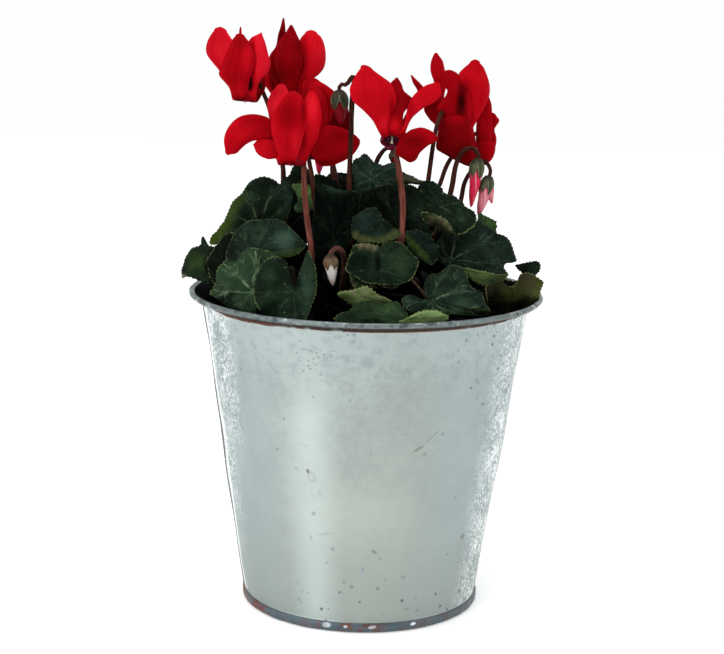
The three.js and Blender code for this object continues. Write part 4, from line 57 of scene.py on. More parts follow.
        {'name': 'leaf_top_centre', 'c': [0.9, -3.0, 163.6], 'b': [[0.6, -6.4, 160.2], [4.4, -5.5, 160.9], [8.1, -4.0, 162.0], [11.1, -2.7, 162.9], [13.8, -1.7, 163.4], [16.4, -0.8, 163.8], [19.5, -0.2, 163.6], [22.5, 0.6, 163.5], [21.4, 1.1, 164.3], [18.7, 1.1, 165.0], [16.4, 1.3, 165.7], [14.9, 0.9, 165.7], [13.0, 1.1, 166.2], [11.8, 2.1, 167.4], [9.9, 4.4, 169.8], [8.0, 4.5, 170.1], [5.7, 3.5, 169.4], [3.4, 3.8, 169.9], [1.5, 3.9, 170.1], [-0.0, 5.3, 171.4], [-1.2, 6.7, 172.6], [-2.5, 6.8, 172.7], [-3.8, 5.3, 171.3], [-5.3, 4.5, 170.6], [-6.4, 3.4, 169.5], [-7.1, 2.3, 168.5], [-6.7, -0.2, 166.1], [-5.4, -3.8, 162.8], [-4.6, -6.6, 159.9], [-2.3, -6.8, 159.8]], 'wave': 1.1, 'tone': 0.15, 'kind': 'upper', 'rad': 0.95, 'path': [[0.9, -3.0, 163.6], [5.5, 1.6, 157.1], [11.9, 3.5, 145.5], [18.5, 3.7, 131.2], [23.7, 3.1, 116.4], [25.8, 2.7, 103.4]]},
        {'name': 'leaf_centre_dark', 'c': [11.2, -24.0, 149.3], 'b': [[16.3, -30.6, 143.1], [22.1, -30.8, 145.0], [25.3, -29.1, 148.2], [25.0, -26.4, 151.5], [23.9, -24.2, 153.7], [22.8, -22.3, 155.6], [22.1, -20.4, 157.6], [21.7, -18.8, 159.2], [20.8, -17.1, 160.9], [19.1, -15.8, 161.8], [16.9, -14.0, 163.0], [14.7, -12.4, 163.9], [11.7, -11.4, 163.9], [8.8, -10.9, 163.2], [4.3, -10.2, 162.1], [0.6, -9.0, 161.5], [-2.3, -8.9, 160.1], [-3.3, -12.1, 156.0], [-2.5, -16.7, 151.0], [0.2, -21.6, 146.5], [4.7, -25.9, 143.5], [10.2, -28.8, 142.6]], 'wave': 0.5, 'tone': -0.3, 'kind': 'upper', 'rad': 0.95, 'path': [[11.2, -24.0, 149.3], [10.5, -24.2, 142.5], [10.0, -23.0, 135.6], [9.6, -21.3, 127.5], [9.3, -19.7, 117.1], [9.3, -19.0, 103.4]]},
        {'name': 'leaf_centre_grey', 'c': [-0.9, -32.0, 150.2], 'b': [[3.2, -37.6, 144.7], [7.5, -37.1, 145.7], [11.4, -36.0, 147.1], [12.1, -34.5, 148.7], [8.9, -33.3, 149.9], [5.9, -31.0, 152.0], [4.1, -28.4, 154.6], [2.6, -26.3, 156.4], [0.0, -25.8, 156.7], [-2.5, -26.1, 155.9], [-3.9, -27.3, 154.6], [-5.0, -29.0, 152.6], [-5.6, -31.1, 150.3], [-5.7, -33.2, 148.1], [-4.4, -35.5, 145.9], [-1.8, -36.7, 145.0]], 'wave': 0.5, 'tone': 0.2, 'kind': 'upper', 'rad': 0.95, 'path': [[-0.9, -32.0, 150.2], [-1.8, -24.4, 141.6], [-5.6, -17.2, 136.3], [-10.6, -11.2, 130.7], [-14.9, -7.0, 120.9], [-16.8, -5.5, 103.4]]},
        {'name': 'leaf_centre_right_small', 'c': [18.6, -40.0, 143.8], 'b': [[19.0, -43.5, 140.0], [21.5, -44.0, 138.9], [23.7, -43.3, 139.0], [25.3, -41.4, 140.6], [25.5, -39.2, 142.8], [24.8, -37.6, 144.7], [23.0, -36.2, 146.6], [21.2, -35.0, 148.2], [19.3, -34.4, 149.2], [17.5, -34.3, 149.7], [15.4, -34.9, 149.5], [14.3, -35.6, 149.0], [13.9, -37.1, 147.6], [15.0, -39.8, 144.8], [16.8, -41.9, 142.3]], 'wave': 0.5, 'tone': 0.1, 'kind': 'upper', 'rad': 0.95, 'path': [[18.6, -40.0, 143.8], [16.2, -39.1, 139.5], [11.9, -33.6, 131.6], [7.1, -26.4, 121.8], [3.3, -20.0, 111.8], [1.7, -17.3, 103.4]]},
        {'name': 'leaf_front_centre', 'c': [4.4, -51.0, 137.0], 'b': [[3.3, -47.2, 140.6], [2.2, -45.7, 142.0], [0.4, -44.6, 142.9], [-2.1, -44.0, 143.2], [-4.2, -44.1, 142.9], [-6.0, -45.3, 141.6], [-7.0, -47.5, 139.4], [-7.3, -49.4, 137.5], [-6.1, -51.1, 136.1], [-4.0, -52.3, 135.2], [-1.5, -53.4, 134.4], [1.3, -54.0, 133.9], [4.1, -54.2, 133.6], [7.0, -54.3, 133.3], [9.4, -54.3, 133.0], [11.9, -53.6, 133.3], [14.7, -52.2, 134.0], [16.5, -50.7, 135.1], [17.9, -48.5, 136.9], [18.3, -46.5, 138.7], [17.5, -44.7, 140.6], [16.5, -43.0, 142.4], [15.0, -41.2, 144.3], [13.2, -40.4, 145.4], [11.1, -40.2, 145.9], [8.9, -40.4, 146.0], [6.8, -41.2, 145.6], [5.0, -42.5, 144.6], [3.9, -44.2, 143.2], [3.8, -46.1, 141.6], [4.0, -48.5, 139.4]], 'wave': 0.3, 'tone': 0.25, 'kind': 'upper', 'rad': 0.95, 'path': [[4.4, -51.0, 137.0], [4.5, -51.0, 133.8], [5.3, -49.5, 129.2], [12.4, -45.1, 126.9], [14.9, -36.8, 125.1], [14.6, -27.4, 121.9], [13.2, -19.6, 115.3], [12.4, -16.5, 103.4]]},
        {'name': 'leaf_front_centre_lower', 'c': [2.3, -44.0, 136.5], 'b': [[-2.9, -47.7, 129.6], [-0.7, -47.5, 129.8], [1.4, -47.5, 129.7], [3.5, -47.2, 130.0], [6.4, -46.9, 130.4], [9.6, -46.7, 130.4], [11.7, -46.1, 131.3], [12.7, -45.0, 133.3], [11.6, -43.5, 136.3], [9.4, -42.0, 139.6], [6.8, -40.4, 142.9], [4.7, -39.8, 144.2], [2.5, -39.6, 144.7], [-0.0, -39.5, 145.0], [-2.2, -39.6, 145.1], [-4.5, -40.0, 144.4], [-6.0, -41.7, 141.4], [-7.0, -43.1, 138.7], [-7.7, -44.3, 136.5], [-6.6, -44.7, 135.7], [-5.8, -45.7, 133.7], [-5.4, -46.7, 131.7], [-4.3, -47.3, 130.4]], 'wave': 0.5, 'tone': 0.2, 'kind': 'upper', 'rad': 0.95, 'path': [[2.3, -44.0, 136.5], [-0.5, -39.7, 133.3], [-0.5, -35.0, 128.4], [1.1, -30.8, 121.8], [3.0, -27.7, 113.5], [3.9, -26.5, 103.4]]},
        {'name': 'leaf_front_curl', 'c': [0.0, -54.0, 128.1], 'b': [[-9.5, -53.7, 127.8], [-7.0, -52.9, 125.6], [-3.0, -52.1, 123.4], [1.6, -51.8, 122.7], [5.8, -51.7, 122.8], [9.7, -51.8, 123.6], [11.0, -52.5, 125.6], [9.2, -53.1, 126.7], [7.1, -53.5, 127.5], [5.0, -53.9, 128.2], [2.8, -54.7, 130.1], [1.0, -55.2, 131.2], [-0.7, -55.3, 131.6], [-3.2, -55.2, 131.2], [-4.9, -55.0, 130.7], [-7.4, -54.8, 130.4], [-9.8, -54.4, 129.6]], 'wave': 0.25, 'tone': 0.7, 'kind': 'under', 'rad': 0.95, 'path': [[0.0, -54.0, 128.1], [-2.9, -48.2, 123.9], [-5.3, -40.7, 122.4], [-7.1, -33.3, 120.5], [-8.2, -27.5, 115.1], [-8.6, -25.2, 103.4]]},
        {'name': 'leaf_front_low', 'c': [2.3, -61.0, 122.7], 'b': [[-0.1, -62.4, 118.9], [5.2, -62.2, 118.9], [10.0, -61.8, 119.5], [13.5, -61.1, 120.5], [15.2, -60.7, 122.1], [14.7, -59.9, 123.5], [13.8, -58.6, 124.6], [12.4, -57.3, 125.8], [11.0, -56.3, 126.6], [8.5, -56.0, 126.9], [6.4, -56.6, 126.4], [4.3, -55.9, 127.0], [1.5, -55.6, 127.2], [-2.0, -56.4, 126.4], [-4.4, -57.1, 125.7], [-5.5, -58.1, 124.8], [-7.9, -58.7, 124.2], [-9.6, -60.0, 123.0], [-10.9, -61.4, 121.1], [-8.5, -61.9, 119.8], [-4.6, -62.3, 119.3]], 'wave': 0.3, 'tone': 0.35, 'kind': 'upper', 'rad': 0.95, 'path': [[2.3, -61.0, 122.7], [1.5, -51.7, 116.7], [-0.2, -39.6, 114.0], [-2.1, -27.3, 112.4], [-3.7, -17.9, 109.5], [-4.4, -14.1, 103.4]]},
        {'name': 'leaf_on_rim', 'c': [20.5, -59.8, 121.8], 'b': [[12.9, -60.5, 118.9], [17.5, -58.9, 118.0], [22.8, -57.7, 118.2], [26.3, -57.3, 119.3], [28.4, -56.4, 120.6], [29.2, -56.0, 122.2], [27.5, -59.0, 123.6], [25.7, -59.8, 124.4], [23.5, -60.6, 124.8], [20.7, -61.2, 124.6], [18.3, -61.6, 124.1], [15.9, -61.8, 123.2], [13.5, -61.6, 122.0], [11.0, -61.8, 120.8]], 'wave': 0.25, 'tone': 0.9, 'kind': 'under', 'rad': 0.95, 'path': [[20.5, -59.8, 121.8], [18.5, -52.8, 122.8], [15.5, -43.1, 122.8], [12.3, -33.1, 120.3], [9.9, -25.3, 114.3], [8.9, -22.1, 103.4]]},
        {'name': 'leaf_front_right', 'c': [22.9, -55.0, 127.4], 'b': [[19.0, -55.2, 128.8], [15.8, -55.6, 129.5], [13.4, -57.5, 128.7], [12.1, -58.9, 127.9], [12.7, -60.6, 126.3], [14.8, -61.1, 125.2], [19.0, -60.2, 124.5], [23.6, -58.7, 123.9], [28.3, -56.9, 123.2], [34.3, -50.0, 121.6], [40.3, -45.2, 120.5], [43.9, -41.7, 120.5], [44.6, -46.2, 122.8], [43.7, -45.0, 124.6], [43.0, -43.4, 126.4], [42.4, -41.4, 128.6], [40.2, -41.3, 130.0], [38.7, -40.8, 131.3], [37.6, -39.9, 132.6], [36.6, -37.9, 134.8], [35.1, -37.1, 136.1], [33.3, -37.0, 137.1], [30.7, -38.3, 137.3], [28.5, -40.2, 136.8], [26.3, -42.8, 135.8], [24.1, -43.9, 135.8], [22.6, -45.6, 135.1], [21.6, -47.6, 133.9], [21.0, -50.1, 132.2], [21.2, -52.2, 130.4], [21.7, -54.1, 128.6]], 'wave': 0.4, 'tone': 0.1, 'kind': 'upper', 'rad': 0.62, 'path': [[22.9, -55.0, 127.4], [19.3, -53.5, 131.0], [15.8, -49.8, 134.2], [13.3, -46.0, 136.7], [18.3, -40.0, 131.9], [19.2, -30.7, 129.2], [17.8, -20.6, 125.6], [15.7, -12.6, 118.0], [14.6, -9.3, 103.4]]},
        {'name': 'leaf_right_strip', 'c': [42.7, -34.0, 132.8], 'b': [[38.7, -34.2, 130.9], [42.9, -32.9, 129.3], [46.9, -32.2, 129.6], [50.5, -31.8, 131.1], [51.9, -32.1, 133.2], [49.7, -32.6, 133.1], [46.7, -33.4, 133.5], [44.1, -34.1, 134.3], [41.1, -35.0, 135.1], [38.5, -35.7, 135.7], [36.3, -36.3, 136.4], [34.8, -36.5, 136.4]], 'wave': 0.2, 'tone': 0.8, 'kind': 'under', 'rad': 0.8, 'path': [[42.7, -34.0, 132.8], [35.2, -30.5, 127.4], [28.6, -26.0, 123.8], [23.3, -21.5, 119.8], [19.9, -18.0, 113.7], [18.6, -16.6, 103.4]]},
        {'name': 'leaf_right_rim', 'c': [55.1, -19.0, 122.2], 'b': [[51.9, -20.9, 116.4], [56.2, -17.4, 116.3], [61.8, -13.1, 117.5], [64.9, -10.8, 119.4], [65.8, -10.3, 121.6], [65.9, -10.5, 124.0], [66.4, -10.2, 125.8], [66.5, -10.3, 127.4], [65.2, -11.4, 128.7], [63.6, -12.9, 130.1], [61.5, -14.7, 131.3], [59.9, -16.1, 131.5], [58.3, -17.3, 131.3], [57.5, -17.9, 130.4], [56.8, -18.3, 128.5], [55.3, -19.4, 127.6], [53.7, -20.7, 127.2], [52.1, -22.0, 127.8], [50.5, -23.5, 129.1], [48.9, -24.8, 129.7], [46.9, -26.4, 129.7], [45.4, -27.6, 129.3], [44.3, -28.3, 128.2], [44.0, -28.3, 125.5], [44.5, -27.5, 122.4], [46.2, -25.8, 119.5], [48.7, -23.6, 117.7]], 'wave': 0.3, 'tone': 0.2, 'kind': 'olive', 'rad': 0.95, 'path': [[55.1, -19.0, 122.2], [50.3, -17.6, 124.1], [42.5, -15.4, 122.8], [34.2, -13.2, 118.6], [27.5, -11.4, 112.0], [24.8, -10.7, 103.4]]},
        {'name': 'leaf_far_right', 'c': [63.5, 14.0, 128.0], 'b': [[59.3, 11.7, 128.2], [60.5, 12.6, 127.0], [62.3, 13.8, 125.8], [64.0, 15.0, 124.9], [66.4, 16.2, 125.3], [67.7, 16.6, 126.7], [68.3, 16.5, 128.5], [67.9, 15.9, 130.2], [66.4, 14.9, 131.0], [64.4, 13.8, 130.7], [62.0, 12.6, 130.3], [60.0, 11.6, 129.9], [58.6, 10.9, 129.7]], 'wave': 0.15, 'tone': -0.1, 'kind': 'upper', 'rad': 0.8, 'path': [[63.5, 14.0, 128.0], [60.2, 7.9, 124.6], [49.8, 3.7, 123.4], [36.8, 1.1, 121.5], [25.7, -0.2, 115.8], [21.0, -0.6, 103.4]]},
        {'name': 'leaf_right', 'c': [30.3, -31.5, 138.0], 'b': [[33.2, -32.8, 135.3], [37.7, -30.7, 134.7], [41.5, -28.9, 133.9], [45.3, -27.3, 132.8], [48.3, -26.0, 131.7], [51.5, -23.9, 131.3], [52.7, -21.7, 132.4], [51.2, -20.6, 134.8], [52.4, -18.2, 136.2], [55.2, -15.6, 136.4], [57.1, -13.1, 137.1], [56.2, -11.8, 139.2], [55.1, -10.8, 140.9], [53.5, -10.1, 142.7], [51.2, -9.9, 144.5], [48.9, -10.0, 145.9], [47.4, -9.6, 147.2], [45.1, -9.7, 148.4], [42.8, -10.3, 149.2], [40.1, -11.3, 149.9], [36.2, -13.9, 149.8], [32.4, -17.3, 148.9], [29.4, -19.9, 148.0], [27.1, -23.7, 145.9], [25.5, -27.8, 143.2], [25.1, -31.6, 140.1], [26.6, -33.8, 137.6], [29.1, -34.4, 135.9]], 'wave': 0.5, 'tone': 0.05, 'kind': 'upper', 'rad': 0.95, 'path': [[30.3, -31.5, 138.0], [30.7, -28.8, 137.9], [28.4, -22.8, 133.3], [24.7, -15.6, 125.2], [21.4, -9.7, 114.8], [19.9, -7.2, 103.4]]},
        {'name': 'leaf_upper_right', 'c': [26.5, -20.0, 156.5], 'b': [[26.1, -22.8, 153.4], [27.6, -23.4, 152.8], [29.1, -24.6, 151.3], [30.2, -25.9, 149.7], [31.2, -26.9, 148.4], [33.1, -27.4, 147.4], [35.3, -27.3, 147.2], [36.8, -26.5, 148.1], [38.6, -25.4, 149.0], [39.7, -23.6, 151.0], [39.9, -21.9, 153.0], [39.0, -20.6, 154.7], [37.2, -19.7, 156.0], [35.6, -19.1, 157.0], [35.0, -17.9, 158.3], [33.2, -17.1, 159.3], [31.7, -16.0, 160.6], [29.1, -15.9, 160.7], [26.5, -16.2, 160.5], [23.9, -16.8, 159.8], [21.7, -17.1, 159.2], [22.1, -18.9, 157.4], [23.0, -20.8, 155.5], [24.3, -22.5, 153.7]], 'wave': 0.4, 'tone': 0.05, 'kind': 'upper', 'rad': 0.95, 'path': [[26.5, -20.0, 156.5], [20.4, -18.0, 148.5], [14.8, -16.9, 141.5], [10.1, -16.5, 133.3], [7.0, -16.5, 121.4], [5.8, -16.5, 103.4]]},
        {'name': 'leaf_folded_right', 'c': [25.4, -33.0, 152.8], 'b': [[20.0, -34.3, 153.2], [21.5, -33.5, 152.0], [23.7, -32.8, 151.4], [25.9, -31.9, 150.4], [27.8, -30.9, 149.0], [29.3, -30.0, 147.8], [30.9, -29.8, 148.0], [30.7, -30.6, 149.8], [29.7, -31.7, 151.7], [28.1, -32.8, 153.5], [26.1, -33.7, 154.7], [23.9, -34.4, 155.2], [21.7, -34.8, 155.1], [19.5, -34.9, 154.5]], 'wave': 0.2, 'tone': 0.45, 'kind': 'under', 'rad': 0.8, 'path': [[25.4, -33.0, 152.8], [22.8, -29.0, 149.2], [23.2, -24.6, 141.6], [20.1, -20.5, 134.5], [15.6, -17.1, 126.6], [11.5, -14.7, 116.7], [9.7, -13.8, 103.4]]},
        {'name': 'leaf_right_top_small', 'c': [23.9, -8.0, 160.2], 'b': [[24.2, -12.1, 155.5], [27.2, -10.6, 156.4], [27.6, -8.4, 158.8], [28.1, -6.4, 160.8], [27.3, -5.7, 161.9], [25.7, -5.1, 162.9], [23.5, -5.0, 163.5], [21.2, -5.0, 164.0], [19.7, -6.0, 163.2], [18.6, -7.6, 161.7], [19.0, -9.8, 159.2], [21.2, -11.5, 156.8]], 'wave': 0.5, 'tone': -0.1, 'kind': 'upper', 'rad': 0.95, 'path': [[23.9, -8.0, 160.2], [23.0, -11.6, 147.8], [20.0, -12.0, 135.9], [16.2, -10.6, 124.5], [13.0, -8.8, 113.7], [11.6, -8.0, 103.4]]},
        {'name': 'leaf_right_back_small', 'c': [44.5, -8.0, 147.8], 'b': [[41.0, -11.2, 144.4], [43.7, -11.6, 142.6], [47.1, -10.3, 142.9], [48.7, -8.0, 145.6], [48.5, -6.5, 148.1], [47.4, -5.7, 149.8], [45.3, -5.8, 150.7], [43.8, -5.6, 151.6], [42.2, -5.5, 152.5], [41.1, -7.4, 150.3], [40.7, -9.6, 147.2]], 'wave': 0.5, 'tone': 0.6, 'kind': 'upper', 'rad': 0.95, 'path': [[44.5, -8.0, 147.8], [36.4, -3.3, 137.3], [26.3, 4.1, 131.4], [16.3, 12.1, 126.4], [8.7, 18.4, 118.3], [5.7, 21.0, 103.4]]},
        {'name': 'leaf_back_right_low', 'c': [39.0, 18.2, 134.0], 'b': [[38.0, 18.5, 134.5], [33.9, 18.0, 137.2], [29.1, 19.2, 139.3], [25.8, 22.7, 139.3], [25.4, 27.2, 137.2], [28.3, 31.6, 133.3], [32.9, 34.6, 128.6], [38.1, 35.1, 124.7], [43.6, 33.6, 121.3], [48.9, 30.2, 118.9], [53.0, 26.2, 117.5], [54.9, 23.5, 117.1], [55.7, 20.4, 118.2], [55.9, 15.2, 120.8], [54.8, 9.4, 124.3], [52.0, 5.1, 128.4], [47.9, 2.3, 132.6], [42.3, 1.6, 137.0], [36.7, 3.0, 140.2], [33.3, 6.5, 141.3], [32.9, 11.2, 140.3], [35.3, 15.1, 137.6], [38.5, 17.3, 134.7]], 'wave': 0.6, 'tone': 0.1, 'kind': 'upper', 'rad': 0.95, 'path': [[39.0, 18.2, 134.0], [36.6, 11.6, 131.1], [31.4, 6.0, 128.1], [25.2, 1.5, 123.5], [20.0, -1.4, 115.8], [17.9, -2.4, 103.4]]},
        {'name': 'leaf_back_middle_right_low', 'c': [28.3, 33.7, 131.0], 'b': [[27.3, 33.5, 131.8], [24.3, 30.8, 135.3], [19.6, 29.5, 138.6], [14.9, 31.3, 140.0], [12.0, 35.9, 138.8], [11.9, 42.0, 135.0], [13.9, 47.6, 129.9], [17.7, 50.9, 124.9], [22.8, 52.5, 120.0], [28.9, 51.8, 115.7], [34.2, 50.0, 112.6], [37.2, 48.3, 111.3], [39.5, 45.5, 111.7], [42.6, 40.2, 113.3], [45.0, 33.6, 116.0], [45.2, 27.6, 119.9], [43.5, 22.4, 124.6], [39.4, 18.6, 130.1], [34.3, 17.0, 134.8], [29.7, 18.8, 137.3], [27.0, 23.3, 137.3], [26.9, 28.6, 134.8], [28.4, 32.6, 131.6]], 'wave': 0.6, 'tone': -0.1, 'kind': 'upper', 'rad': 0.95, 'path': [[28.3, 33.7, 131.0], [27.6, 30.1, 125.5], [26.0, 24.8, 120.5], [24.1, 19.3, 115.5], [22.5, 14.9, 109.9], [21.8, 13.2, 103.4]]},
        {'name': 'leaf_back_middle_left_low', 'c': [1.6, 45.0, 132.0], 'b': [[0.8, 44.2, 132.6], [-0.8, 40.0, 135.8], [-4.5, 36.0, 138.4], [-9.7, 34.5, 138.6], [-14.4, 36.4, 136.3], [-17.4, 41.5, 131.7], [-18.0, 47.4, 126.3], [-15.9, 52.7, 121.7], [-11.7, 57.3, 117.7], [-5.5, 60.7, 114.9], [0.6, 62.7, 113.1], [4.3, 63.3, 112.6], [7.7, 62.4, 113.8], [13.1, 59.9, 116.7], [18.4, 56.0, 120.7], [21.3, 51.1, 125.4], [22.0, 45.7, 130.3], [19.8, 39.9, 135.4], [15.6, 35.1, 139.3], [10.4, 33.6, 140.6], [5.5, 35.5, 139.4], [2.7, 39.8, 136.2], [2.2, 44.1, 132.8]], 'wave': 0.6, 'tone': 0.25, 'kind': 'upper', 'rad': 0.95, 'path': [[1.6, 45.0, 132.0], [1.0, 41.2, 126.4], [-1.0, 36.2, 122.4], [-3.4, 31.2, 118.3], [-5.4, 27.3, 112.5], [-6.3, 25.8, 103.4]]},
        {'name': 'leaf_back_left_low', 'c': [-25.9, 35.6, 131.0], 'b': [[-25.9, 34.6, 131.8], [-23.9, 31.0, 135.3], [-23.7, 26.2, 138.6], [-26.5, 22.0, 140.0], [-31.5, 20.2, 138.8], [-37.5, 21.4, 135.0], [-42.5, 24.6, 129.9], [-45.0, 29.0, 124.8], [-45.4, 34.3, 120.0], [-43.4, 40.2, 115.8], [-40.5, 45.0, 112.6], [-38.2, 47.5, 111.3], [-35.0, 49.1, 111.7], [-29.0, 51.0, 113.3], [-22.2, 51.9, 116.0], [-16.2, 50.8, 119.9], [-11.5, 48.0, 124.6], [-8.7, 43.2, 130.1], [-8.3, 37.8, 134.8], [-11.0, 33.7, 137.3], [-15.9, 32.1, 137.2], [-21.1, 33.1, 134.8], [-24.8, 35.4, 131.6]], 'wave': 0.6, 'tone': 0.0, 'kind': 'upper', 'rad': 0.95, 'path': [[-25.9, 35.6, 131.0], [-23.0, 31.9, 127.6], [-20.4, 27.7, 123.2], [-18.3, 23.8, 117.7], [-16.9, 20.9, 111.1], [-16.4, 19.7, 103.4]]},
        {'name': 'leaf_back_far_left_low', 'c': [-39.2, 12.0, 133.0], 'b': [[-38.5, 11.3, 133.6], [-34.5, 10.0, 136.5], [-30.9, 6.7, 139.0], [-29.7, 2.0, 139.7], [-31.8, -2.5, 138.2], [-36.7, -5.5, 134.6], [-42.5, -6.3, 130.0], [-47.5, -4.6, 125.8], [-51.7, -1.0, 121.9], [-54.7, 4.5, 118.8], [-56.4, 9.9, 116.6], [-56.7, 13.2, 115.8], [-55.8, 16.5, 116.4], [-53.1, 21.6, 118.4], [-49.1, 26.6, 121.3], [-44.2, 29.5, 125.0], [-39.0, 30.4, 129.1], [-33.5, 28.7, 133.7], [-29.2, 25.1, 137.5], [-27.9, 20.3, 139.2], [-30.0, 15.9, 138.8], [-34.2, 13.3, 136.4], [-38.4, 12.6, 133.6]], 'wave': 0.6, 'tone': 0.2, 'kind': 'upper', 'rad': 0.95, 'path': [[-39.2, 12.0, 133.0], [-32.4, 14.7, 128.8], [-22.9, 16.7, 126.8], [-13.0, 17.9, 124.0], [-5.3, 18.7, 117.2], [-2.2, 18.9, 103.4]]},
        {'name': 'leaf_back_right_high', 'c': [18.8, 19.4, 152.0], 'b': [[17.7, 19.3, 152.5], [14.0, 16.8, 155.0], [8.9, 15.8, 156.9], [4.3, 17.5, 156.9], [2.1, 21.7, 155.0], [3.0, 27.4, 151.3], [6.1, 32.4, 146.9], [10.8, 35.4, 143.2], [16.6, 36.7, 139.9], [23.2, 35.9, 137.5], [28.8, 34.1, 136.0], [31.8, 32.4, 135.6], [33.8, 29.8, 136.6], [36.2, 24.8, 139.0], [37.6, 18.7, 142.3], [36.7, 13.2, 146.1], [34.0, 8.5, 150.1], [28.9, 5.1, 154.3], [23.0, 3.8, 157.4], [18.3, 5.5, 158.5], [15.9, 9.8, 157.7], [16.5, 14.7, 155.3], [18.7, 18.4, 152.6]], 'wave': 0.6, 'tone': 0.0, 'kind': 'upper', 'rad': 0.95, 'path': [[18.8, 19.4, 152.0], [18.2, 20.4, 141.2], [14.5, 22.3, 130.8], [9.7, 24.3, 120.9], [5.4, 26.0, 111.7], [3.6, 26.7, 103.4]]},
        {'name': 'leaf_back_middle_high', 'c': [-0.9, 27.0, 158.0], 'b': [[-1.6, 26.1, 158.5], [-2.5, 21.6, 161.0], [-5.4, 17.2, 163.1], [-10.1, 15.4, 163.7], [-15.0, 17.3, 162.6], [-18.6, 22.6, 159.6], [-20.2, 28.9, 155.7], [-19.0, 34.7, 152.1], [-15.8, 39.9, 148.6], [-10.5, 43.8, 145.6], [-5.2, 46.3, 143.4], [-1.9, 47.1, 142.5], [1.6, 46.3, 143.0], [7.1, 43.8, 144.5], [12.7, 39.9, 146.8], [16.3, 34.7, 149.9], [17.9, 28.9, 153.4], [16.7, 22.6, 157.5], [13.5, 17.3, 160.8], [8.9, 15.4, 162.6], [4.1, 17.2, 162.5], [0.9, 21.6, 160.8], [-0.2, 26.1, 158.5]], 'wave': 0.6, 'tone': 0.15, 'kind': 'upper', 'rad': 0.95, 'path': [[-0.9, 27.0, 158.0], [0.1, 31.2, 148.7], [-2.5, 30.6, 139.1], [-6.8, 27.5, 128.5], [-10.8, 23.9, 116.8], [-12.6, 22.3, 103.4]]},
        {'name': 'leaf_back_left_high', 'c': [-19.7, 22.6, 150.0], 'b': [[-19.6, 21.6, 150.5], [-17.7, 18.1, 153.0], [-17.2, 13.3, 154.9], [-19.2, 9.1, 155.1], [-23.4, 7.3, 153.2], [-28.5, 8.5, 149.6], [-32.9, 11.8, 145.4], [-35.2, 16.3, 141.6], [-35.8, 21.8, 138.3], [-34.4, 27.7, 135.9], [-32.2, 32.7, 134.3], [-30.4, 35.4, 133.8], [-27.7, 37.0, 134.7], [-22.9, 38.9, 137.0], [-17.1, 39.8, 140.2], [-12.0, 38.6, 143.9], [-8.0, 35.8, 147.8], [-5.3, 30.9, 151.9], [-4.7, 25.3, 155.1], [-6.8, 21.1, 156.3], [-11.0, 19.3, 155.5], [-15.5, 20.2, 153.2], [-18.7, 22.5, 150.6]], 'wave': 0.6, 'tone': -0.05, 'kind': 'upper', 'rad': 0.95, 'path': [[-19.7, 22.6, 150.0], [-13.5, 20.4, 144.2], [-7.3, 18.3, 139.1], [-1.9, 16.5, 132.1], [2.0, 15.2, 121.0], [3.5, 14.8, 103.4]]},
    ],
    "flowers": [
